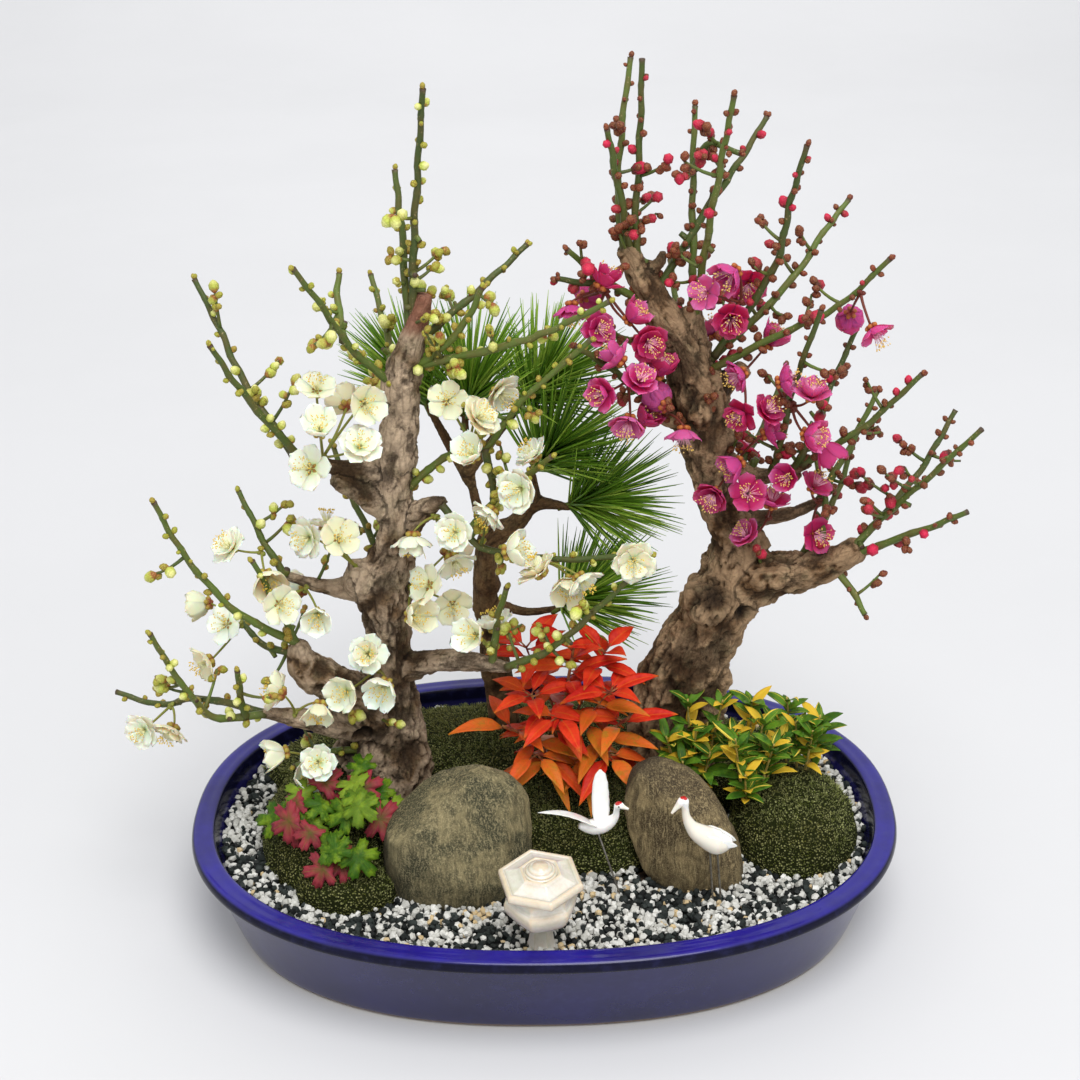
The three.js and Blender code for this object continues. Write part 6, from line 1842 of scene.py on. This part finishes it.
# Bamboo leaf: green with cream stripes along it, whole leaves yellow now and then
def makeBambooMaterial():
    material, tree, shader = newMaterial("dwarf bamboo leaf", 0.5, Subsurface_Weight=0.1,
                                         Subsurface_Scale=0.002, Specular_IOR_Level=0.15)
    across, tint = readMark(tree, "across"), readMark(tree, "tint")
    shift = addMath(tree, "MULTIPLY", tint, 9.0)
    stripe = addNode(tree, "ShaderNodeTexNoise", {
        "Vector": addNode(tree, "ShaderNodeCombineXYZ", {
            "X": across, "Y": addMath(tree, "MULTIPLY", readMark(tree, "along"), 0.12),
            "Z": shift}).outputs["Vector"], "Scale": 2.0, "Detail": 2.0}).outputs["Fac"]
    green = addMix(tree, addMottle(tree, objectPlace(tree), 7.0, 0.4, 0.65)["Mask"], bamboo["green"],
                   bamboo["dark"])
    base = addMix(tree, addRamp(tree, stripe, [(0.60, 0.0), (0.66, 1.0)]), green, bamboo["cream"])
    rim = addRamp(tree, addMath(tree, "ADD", addMath(tree, "ABSOLUTE", across), addMath(
        tree, "MULTIPLY", readMark(tree, "along"), 0.25)), [(1.0, 0.0), (1.16, 0.85)])
    base = addMix(tree, rim, base, bamboo["cream"])
    base = addMix(tree, addRamp(tree, tint, [(0.74, 0.0), (0.79, 0.85)]), base, bamboo["yellow"])
    feed(tree, shader, Base_Color=base)
    addBump(tree, shader, stripe, 0.3, 0.0004)
    return material


leafShape, culmShape = makeBamboo()
addPiece("bamboo_leaves", leafShape, makeBambooMaterial(), list(bambooCulms))
addPiece("bamboo_culms", culmShape, makeStemMaterial("bamboo culm", bamboo["tan"], bamboo["olive"]))


# Lobed plants: small ivy-like leaves with five lobes and toothed rims on thin stalks from three crowns
lobed = {"radius": 10.6, "stalk": 0.45, "fold": 0.22, "green": "#345710", "bright": "#6a851e",
         "young": "#93a838", "dark": "#1b3309", "red": "#8f343c", "plum": "#5e242c", "stalkRed": "#7a4436",
         "rim": "#a9642a"}
lobedCrowns = {
    "lobed_plant_right": ((-86, -40, 70), [(-94, -38, 92), (-80, -34, 86), (-97, -50, 82), (-78, -48, 77),
                                            (-88, -54, 88), (-90, -28, 97)]),
    "lobed_plant_left": ((-112, -40, 69), [(-120, -36, 86), (-109, -46, 84), (-126, -48, 76), (-114, -56, 74),
                                            (-106, -32, 90), (-134, -38, 72)]),
    "lobed_plant_front": ((-98, -66, 58), [(-102, -64, 74), (-88, -68, 68), (-108, -70, 64)]),
}


# Lobed leaf: rings round the foot of the blade whose reach is widest on five lobes, cut by fine teeth;
# the foot sits near the rear edge, so the leaf reads as a hand
def makeLobedLeaves():
    random = np.random.default_rng(61)
    rings, sides = 4, 76
    angle = np.linspace(0, 2 * np.pi, sides, endpoint=False)
    lobes = np.zeros(sides)
    for middle, length, wide in ((0.0, 1.0, 0.42), (1.0, 0.86, 0.40), (-1.0, 0.86, 0.40), (2.0, 0.7, 0.38),
                                 (-2.0, 0.7, 0.38)):
        apart = np.angle(np.exp(1j * (angle - middle))) / wide
        teeth = 1 + 0.15 * np.cos(2 * np.pi * apart / 0.66)
        lobes = np.maximum(lobes, length * teeth * np.exp(-np.abs(apart) ** 4))
    outline = 0.44 + 0.56 * lobes
    share = np.linspace(0.12, 1, rings)[:, None]
    flatX, flatY = share * outline * np.cos(angle), share * outline * np.sin(angle)
    veinNear = np.exp(-(np.abs(np.angle(np.exp(1j * 5.6 * angle))) / 0.5) ** 2)
    lift = lobed["fold"] * share * (1 - veinNear) * 0.35 - 0.2 * share ** 2
    quads = gridQuads(rings, sides, True)
    around = np.arange(sides)
    after = (around + 1) % sides
    leaves, stalks = [], []
    for crown, middles in lobedCrowns.values():
        crown = np.array(crown, dtype=float)
        middles = np.array(middles, dtype=float)
        # one more leaf between each two, nearer to the crown
        inner = mixed(crown, (middles + np.roll(middles, 2, axis=0)) / 2, 0.86)
        inner = inner + random.normal(0, 2.5, middles.shape)
        for middle in np.concatenate([middles, inner]):
            ahead = middle - crown
            # low leaves hang and show their faces to the front
            hang = mixed(-1.3, -0.5, np.clip((middle[2] - 66) / 18, 0, 1))
            facing = unit(np.array([ahead[0] * 0.02, hang + ahead[1] * 0.02, 1.0])
                          + random.normal(0, 0.22, 3))
            forward = unit(ahead * [1, 1, 0.15] + random.normal(0, 3, 3))
            forward = unit(forward - facing * (forward @ facing))
            side = np.cross(facing, forward)
            size = lobed["radius"] * random.uniform(0.78, 1.15)
            random.uniform(0, 0.12)      # not used, but keeps the draws after it as they are
            bend = lift + 0.05 * np.sin(3 * angle + random.random() * 6) * share
            points = (flatX[..., None] * forward + flatY[..., None] * side + bend[..., None] * facing) * size
            points = points - forward * size * 0.18 + middle
            top = np.concatenate([points.reshape(-1, 3), [middle - forward * size * 0.18]])
            bottom = top - facing * 0.3
            number = len(top)
            heart = number - 1
            fanTop = np.stack([np.full(sides, heart), around, after], axis=1)
            last = (rings - 1) * sides
            strip = np.stack([last + after, last + around, number + last + around, number + last + after],
                             axis=1)
            made = shape(np.concatenate([top, bottom]),
                         np.concatenate([quads[:, ::-1], quads + number, strip]),
                         np.concatenate([fanTop, fanTop[:, ::-1] + number]),
                         along=np.tile(np.append(np.repeat(share[:, 0], sides), 0.0), 2),
                         vein=np.tile(np.append(np.tile(veinNear, rings), 1.0), 2),
                         tint=random.random(), lowDown=np.clip((74 - middle[2]) / 14, 0, 1))
            leaves.append(made)
            knee = mixed(crown, middle, 0.5) - facing * 1.5 + [0, 0, 3]
            path, _ = routeCurve([crown - [0, 0, 3], knee, middle - forward * size * 0.18 - facing * 0.4],
                                 1.5)
            stalks.append(tube(path, np.full(len(path), lobed["stalk"]), 6))
    return together(leaves), together(stalks)


def makeLobedMaterial():
    material, tree, shader = newMaterial("lobed leaf", 0.5, Subsurface_Weight=0.08, Subsurface_Scale=0.002,
                                         Specular_IOR_Level=0.12)
    place = objectPlace(tree)
    cloud, fine = addMottle(tree, place, 6.0, 0.4, 0.66), addMottle(tree, place, 1.6, 0.4, 0.66)
    along, vein, tint = readMark(tree, "along"), readMark(tree, "vein"), readMark(tree, "tint")
    green = addMix(tree, cloud["Mask"], lobed["green"], lobed["bright"])
    green = wash(tree, fine["Mask"], 0.3, green, lobed["dark"])
    # young leaves are yellower
    green = addMix(tree, addRamp(tree, tint, [(0.0, 0.6), (0.4, 0.0)]), green, lobed["young"])
    ribs = addMath(tree, "MULTIPLY", addRamp(tree, vein, [(0.82, 0.0), (1.0, 1.0)]), 0.6)
    red = wash(tree, cloud["Mask"], 0.6, lobed["red"], lobed["plum"])
    red = wash(tree, addRamp(tree, along, [(0.0, 1.0), (0.7, 0.0)]), 0.7, red, lobed["green"])
    turned = addRamp(tree, addMath(tree, "ADD", addMath(tree, "MULTIPLY", readMark(tree, "lowDown"), 0.5),
                                   addMath(tree, "MULTIPLY", tint, 0.98)), [(0.66, 0.0), (0.72, 1.0)])
    # the rim turns first, and glows orange before it goes dark
    rim = addRamp(tree, addMath(tree, "ADD", along, addMath(tree, "MULTIPLY", tint, 0.3)),
                  [(1.08, 0.0), (1.24, 0.6)])
    green = addMix(tree, rim, green, lobed["rim"])
    base = addMix(tree, turned, green, red)
    base = addMix(tree, ribs, base, lobed["bright"])
    feed(tree, shader, Base_Color=base)
    addBump(tree, shader, addMath(tree, "ADD", vein, fine["Height"]), 0.35, 0.0005)
    return material


leafShape, stalkShape = makeLobedLeaves()
addPiece("lobed_leaves", leafShape, makeLobedMaterial(), list(lobedCrowns))
addPiece("lobed_stalks", stalkShape, makeStemMaterial("lobed leaf stalk", lobed["stalkRed"], lobed["green"]))

# Snow-viewing lantern: a glazed figure built of six-sided sections, each corner rounded; the roof has a
# raised rim, a raised inner ring and a ringed knob; the bowl stands on a waisted post
lantern = {"place": (-2, -101, 38.9), "radius": 20.4, "high": 46.0, "turn": 0.24, "lean": 0.08,
           "cream": "#d6c6ac", "white": "#e0ded8", "blush": "#d9c3a0", "shade": "#93836a",
           "green": "#b9c6b0", "violet": "#bfb6c8"}


# Six-sided section: the reach of the flat sides over the reach of the corners, blended towards a circle as
# sharp goes from 1 to 0
def sixSided(angle, sharp):
    apart = np.abs((angle / (np.pi / 3)) % 1 - 0.5)          # 0.5 at a corner, 0 in the middle of a side
    flat = math.cos(math.pi / 6) / np.cos(apart * np.pi / 3)
    flat = flat / flat.max()
    return mixed(1.0, flat, sharp)


def turnedFigure(profile, sides, sharp, start=0.0):
    profile = np.asarray(profile, dtype=float)
    angle = np.linspace(0, 2 * np.pi, sides, endpoint=False)[None]
    edge = sixSided(angle + start, np.asarray(sharp)[:, None])
    reach = profile[:, :1] * edge
    points = np.stack([reach * np.cos(angle), reach * np.sin(angle), profile[:, 1:] + 0 * angle], axis=-1)
    points = np.concatenate([points.reshape(-1, 3), [[0, 0, profile[0, 1]], [0, 0, profile[-1, 1]]]])
    return shape(points, gridQuads(len(profile), sides, True), endFans(len(profile), sides))


def makeLantern():
    r, high = lantern["radius"], lantern["high"]
    knobRings = 16
    # roof: underside, rounded rim, a groove inside it, the slope with its inner ring, the crown
    roof = [(0.0001, high - 5.2), (r * 0.42, high - 5.7), (r * 0.8, high - 5.8), (r * 0.95, high - 5.5),
            (r * 0.995, high - 4.7), (r, high - 3.4), (r * 0.99, high - 1.9), (r * 0.955, high - 1.1),
            (r * 0.91, high - 0.85), (r * 0.875, high - 1.15), (r * 0.85, high - 1.5),
            (r * 0.82, high - 1.35), (r * 0.76, high - 0.85), (r * 0.68, high - 0.25),
            (r * 0.6, high + 0.45), (r * 0.53, high + 1.1), (r * 0.5, high + 1.75),
            (r * 0.475, high + 2.35), (r * 0.445, high + 2.45), (r * 0.415, high + 1.9),
            (r * 0.39, high + 1.6), (r * 0.3, high + 1.9), (0.0001, high + 2.1)]
    sharp = np.interp(np.arange(len(roof)), [0, 3, 14, 19, len(roof) - 1], [1, 1, 1, 0.75, 0.2])
    parts = [turnedFigure(roof, 180, sharp, math.pi / 6)]
    knob = [(0.0001, high + 1.2), (r * 0.36, high + 1.2)]
    for i in range(knobRings):
        share = i / (knobRings - 1)
        knob.append((r * (0.37 - 0.20 * share ** 1.6) + 0.30 * math.sin(share * 19),
                     high + 1.5 + 3.6 * share))
    knob.append((0.0001, high + 5.25))
    parts.append(turnedFigure(knob, 48, np.zeros(len(knob))))
    bowl = [(0.0001, high - 27.6), (r * 0.33, high - 27.6), (r * 0.42, high - 27.0),
            (r * 0.56, high - 25.4), (r * 0.70, high - 23.0), (r * 0.80, high - 20.0),
            (r * 0.855, high - 16.8), (r * 0.86, high - 14.4), (r * 0.835, high - 12.8),
            (r * 0.79, high - 12.2), (r * 0.77, high - 10.6), (r * 0.77, high - 7.6),
            (r * 0.72, high - 6.0), (0.0001, high - 4.8)]
    parts.append(turnedFigure(bowl, 120, np.full(len(bowl), 0.7)))
    post = [(0.0001, 0.15), (r * 0.37, 0.15), (r * 0.385, 0.7), (r * 0.375, 1.8), (r * 0.33, 4.0),
            (r * 0.29, 7.0), (r * 0.27, 10.5), (r * 0.27, 14.0), (r * 0.285, 17.0), (r * 0.31, 19.5),
            (r * 0.35, high - 26.8), (0.0001, high - 25.0)]
    parts.append(turnedFigure(post, 96, np.full(len(post), 0.7), 0.3))
    made = together(parts)
    points = turned(turned(made["points"], lantern["turn"], 0, 1), lantern["lean"], 1, 2)
    low = points[:, 2].min()
    made["points"] = points - [0, 0, low] + np.array(lantern["place"])
    return made


# Pearly glaze: cream with a painted pearly sheen that turns green and violet with the slope of the face to
# the view, blush on the raised edges and painted shade in the hollows
def makePearlGlaze():
    material, tree, shader = newMaterial("pearl glaze", 0.24, Coat_Weight=0.6, Coat_Roughness=0.12,
                                         Subsurface_Weight=0.08, Subsurface_Scale=0.003)
    place = objectPlace(tree)
    cloud, fine = addMottle(tree, place, 9.0, 0.36, 0.66), addMottle(tree, place, 2.2, 0.4, 0.66)
    layer = tree.nodes.new("ShaderNodeLayerWeight")
    layer.inputs["Blend"].default_value = 0.42
    # the pearl ramp by the angle to the view is a painted sheen
    pearl = addRamp(tree, addMath(tree, "ADD", layer.outputs["Facing"], addMath(
        tree, "MULTIPLY", cloud["Height"], 0.35)), [(0.1, lantern["cream"]), (0.35, lantern["white"]),
                                                    (0.55, lantern["green"]), (0.72, lantern["white"]),
                                                    (0.9, lantern["violet"])])
    base = addMix(tree, 0.55, lantern["cream"], pearl)
    base = wash(tree, cloud["Mask"], 0.5, base, lantern["white"])
    edges = addNode(tree, "ShaderNodeNewGeometry").outputs["Pointiness"]
    raised = addRamp(tree, edges, [(0.505, 0.0), (0.55, 1.0)])
    hollow = addRamp(tree, edges, [(0.44, 1.0), (0.495, 0.0)])
    base = wash(tree, raised, 0.65, base, lantern["blush"])
    # hollows washed with the shade colour: painted shade
    base = wash(tree, hollow, 0.5, base, lantern["shade"])
    base = wash(tree, fine["Mask"], 0.12, base, lantern["shade"])
    feed(tree, shader, Base_Color=base)
    addBump(tree, shader, cloud["Height"], 0.15, 0.0006)
    return material


addPiece("lantern_glazed", makeLantern(), makePearlGlaze(), ["ceramic_lantern"])


# Cranes: smooth glazed bodies with a thin neck and wings like long leaves with feather lines, on one
# wire or two; the marks tell the crown, the eyes and the beak
cranes = {"white": "#f7f6f2", "shade": "#cfcbc2", "crown": "#b8201c", "eye": "#17130f", "beak": "#e6dfcf",
          "grey": "#8c8a84"}
# line from the tail over the body, the neck and the head to the beak, with a radius for each point
flyingLine = ([(16.5, -59, 79.5), (19, -59, 79.2), (23.5, -59.5, 79.3), (28, -60.3, 80.6),
               (31.8, -61.2, 83.4), (34.2, -62, 87.2), (34.7, -62.6, 91), (35.6, -63.4, 94.2),
               (38, -64.6, 93.7), (40.2, -65.6, 93.3)], [1, 2.6, 4, 3.9, 2.9, 1.7, 1.35, 2.1, 1.1, 0.45])
standingLine = ([(89, -75, 80), (87, -75, 80), (82, -75, 80.3), (77, -75, 83), (72, -75, 86.5),
                 (69, -75, 90), (66.8, -75, 95), (66, -75, 100), (65.2, -75.3, 104.3), (62.3, -76, 101.5),
                 (59.6, -77, 98.4)], [1.8, 3.4, 6.2, 5.6, 4.4, 3, 2, 1.7, 2.5, 1.4, 0.5])


# Wing: from shoulder to tip, its half-width vector times a rounded outline, feather ridges across it
# that grow towards the rear edge
def makeWing(shoulder, tip, half, outline, thick, feathers, bow=0.0):
    rows, columns = 33, 13
    along = np.linspace(0, 1, rows)[:, None]
    across = np.linspace(-1, 1, columns)[None]
    shoulder, tip, half = (np.array(value, dtype=float) for value in (shoulder, tip, half))
    width = np.interp(along, *outline)
    facing = unit(np.cross(tip - shoulder, half))
    notch = 0.02 * np.sin(feathers * 2 * np.pi * along) * np.clip(across, 0, 1) ** 2
    sheet = (shoulder + (tip - shoulder) * (along + notch * 0.3)[..., None]
             + half * (across * width * (1 + notch))[..., None])
    sheet = sheet + facing * (bow * np.sin(np.pi * along) + 0.1 * np.abs(np.sin(
        feathers * np.pi * along)) * np.clip(across, -0.2, 1))[..., None]
    closed = shells(sheet[None], 1.0, along=along, across=across)
    taper = np.broadcast_to(thick * np.sqrt(np.clip(1 - across ** 2 * 0.92, 0, 1)) * (1.15 - 0.85 * along),
                            (1, 2, rows, columns)).reshape(-1, 1)
    middle = np.broadcast_to(sheet[None, None], (1, 2, rows, columns, 3)).reshape(-1, 3)
    closed["points"] = middle + (closed["points"] - middle) * taper
    return marked(closed, part=0, crown=0, beak=0, tail=0)


def makeCrane(lineAndRadii, wings):
    line, radii = lineAndRadii
    path, share = routeCurve(line, 0.35)
    radii = np.interp(share, np.arange(len(radii)), radii)
    radii = np.convolve(np.pad(radii, 4, mode="edge"), np.ones(9) / 9, mode="valid")
    sides = 22
    body = marked(tube(path, radii, sides), across=0, front=1, part=0)
    head, beak = np.array(line[-3], dtype=float), np.array(line[-1], dtype=float)
    toBeak = unit(beak - head)
    points = body["points"]
    top = points - (head + np.array([0, 0, 1.5]) - toBeak * 0.3)
    body["marks"]["crown"] = np.clip(1.5 - np.linalg.norm(top, axis=1) / 1.7, 0, 1)
    body["marks"]["beak"] = smoothStep(1.6, 2.6, (points - head) @ toBeak)
    body["marks"]["tail"] = np.concatenate([np.repeat(smoothStep(0.45, 0.0, share), sides), [1.0, 0.0]])
    parts = [body] + [makeWing(*wing) for wing in wings]
    for side in (-1, 1):
        eye = ball(6, 9)
        level = unit(np.cross(toBeak, [0, 0, 1.0]))
        eye["points"] = eye["points"] * 0.42 + head + level * 1.75 * side + toBeak * 0.8 + [0, 0, 0.35]
        parts.append(marked(eye, across=0, crown=0, beak=0, tail=0, front=1, part=1))
    return together(parts)


def makeCraneGlaze():
    material, tree, shader = newMaterial("white crane glaze", 0.16, Coat_Weight=0.5, Coat_Roughness=0.08,
                                         Subsurface_Weight=0.1, Subsurface_Scale=0.002)
    fine = addMottle(tree, objectPlace(tree), 3.5, 0.36, 0.66)
    # creases between feathers and at the wing roots turn grey: painted shade
    feather = addMath(tree, "MULTIPLY", addRamp(tree, addNode(tree, "ShaderNodeNewGeometry").outputs[
        "Pointiness"], [(0.44, 1.0), (0.5, 0.0)]), 0.6)
    base = wash(tree, fine["Mask"], 0.18, cranes["white"], cranes["shade"])
    base = addMix(tree, feather, base, cranes["shade"])
    base = wash(tree, readMark(tree, "tail"), 0.8, base, cranes["grey"])
    base = addMix(tree, readMark(tree, "beak"), base, cranes["beak"])
    base = addMix(tree, addRamp(tree, readMark(tree, "crown"), [(0.3, 0.0), (0.5, 1.0)]), base,
                  cranes["crown"])
    base = addMix(tree, readMark(tree, "part"), base, cranes["eye"])
    feed(tree, shader, Base_Color=base)
    addBump(tree, shader, fine["Height"], 0.1, 0.0003)
    return material


wire = {"radius": 0.5, "steel": "#a8a49c", "dull": "#5e5448"}


def makeSteelWire():
    material, tree, shader = newMaterial("steel wire", 0.3, Metallic=0.9)
    fine = addMottle(tree, objectPlace(tree), 2.0, 0.4, 0.66)
    feed(tree, shader, Base_Color=wash(tree, fine["Mask"], 0.6, wire["steel"], wire["dull"]))
    addBump(tree, shader, fine["Height"], 0.1, 0.0003)
    return material


pointedWing = ([0, 0.15, 0.4, 0.7, 0.9, 1], [0.9, 1.15, 0.95, 0.55, 0.25, 0.04])
roundWing = ([0, 0.2, 0.5, 0.75, 0.92, 1], [0.85, 1.05, 1.05, 0.9, 0.6, 0.12])
foldedWing = ([0, 0.15, 0.45, 0.75, 0.93, 1], [0.7, 1.05, 1.0, 0.7, 0.35, 0.05])
craneGlaze, steelWire = makeCraneGlaze(), makeSteelWire()
addPiece("flying_crane_glazed", makeCrane(flyingLine, [
    ((23.5, -60, 81.5), (-3, -57, 86), (2, -4.4, 0.5), pointedWing, 0.9, 7, 2.2),
    ((27.5, -60, 82), (27, -56, 109.5), (4, 0.8, 0), roundWing, 0.8, 6, 0.8)]),
    craneGlaze, ["flying_crane"])
addPiece("standing_crane_glazed", makeCrane(standingLine, [
    ((76, -79.2, 85), (91, -77.2, 79.5), (0.8, 0.2, 2.6), foldedWing, 0.9, 5, 0.8),
    ((76, -70.8, 85), (91, -72.8, 79.5), (0.8, 0.2, 2.6), foldedWing, 0.9, 5, -0.8)]),
    craneGlaze, ["standing_crane"])
wireEnds = [((25, -60, 79), (38, -67, 39)), ((78, -75.8, 79), (81.5, -69.5, 39)),
            ((81.5, -74.5, 79), (85.5, -68.5, 39))]
addPiece("crane_wires", together([tube(mixed(np.array(top, dtype=float), np.array(foot, dtype=float),
                                             np.linspace(0, 1, 12)[:, None]), np.full(12, wire["radius"]), 8)
                                  for top, foot in wireEnds]), steelWire,
         ["flying_crane_wire", "standing_crane_wire_left", "standing_crane_wire_right"])
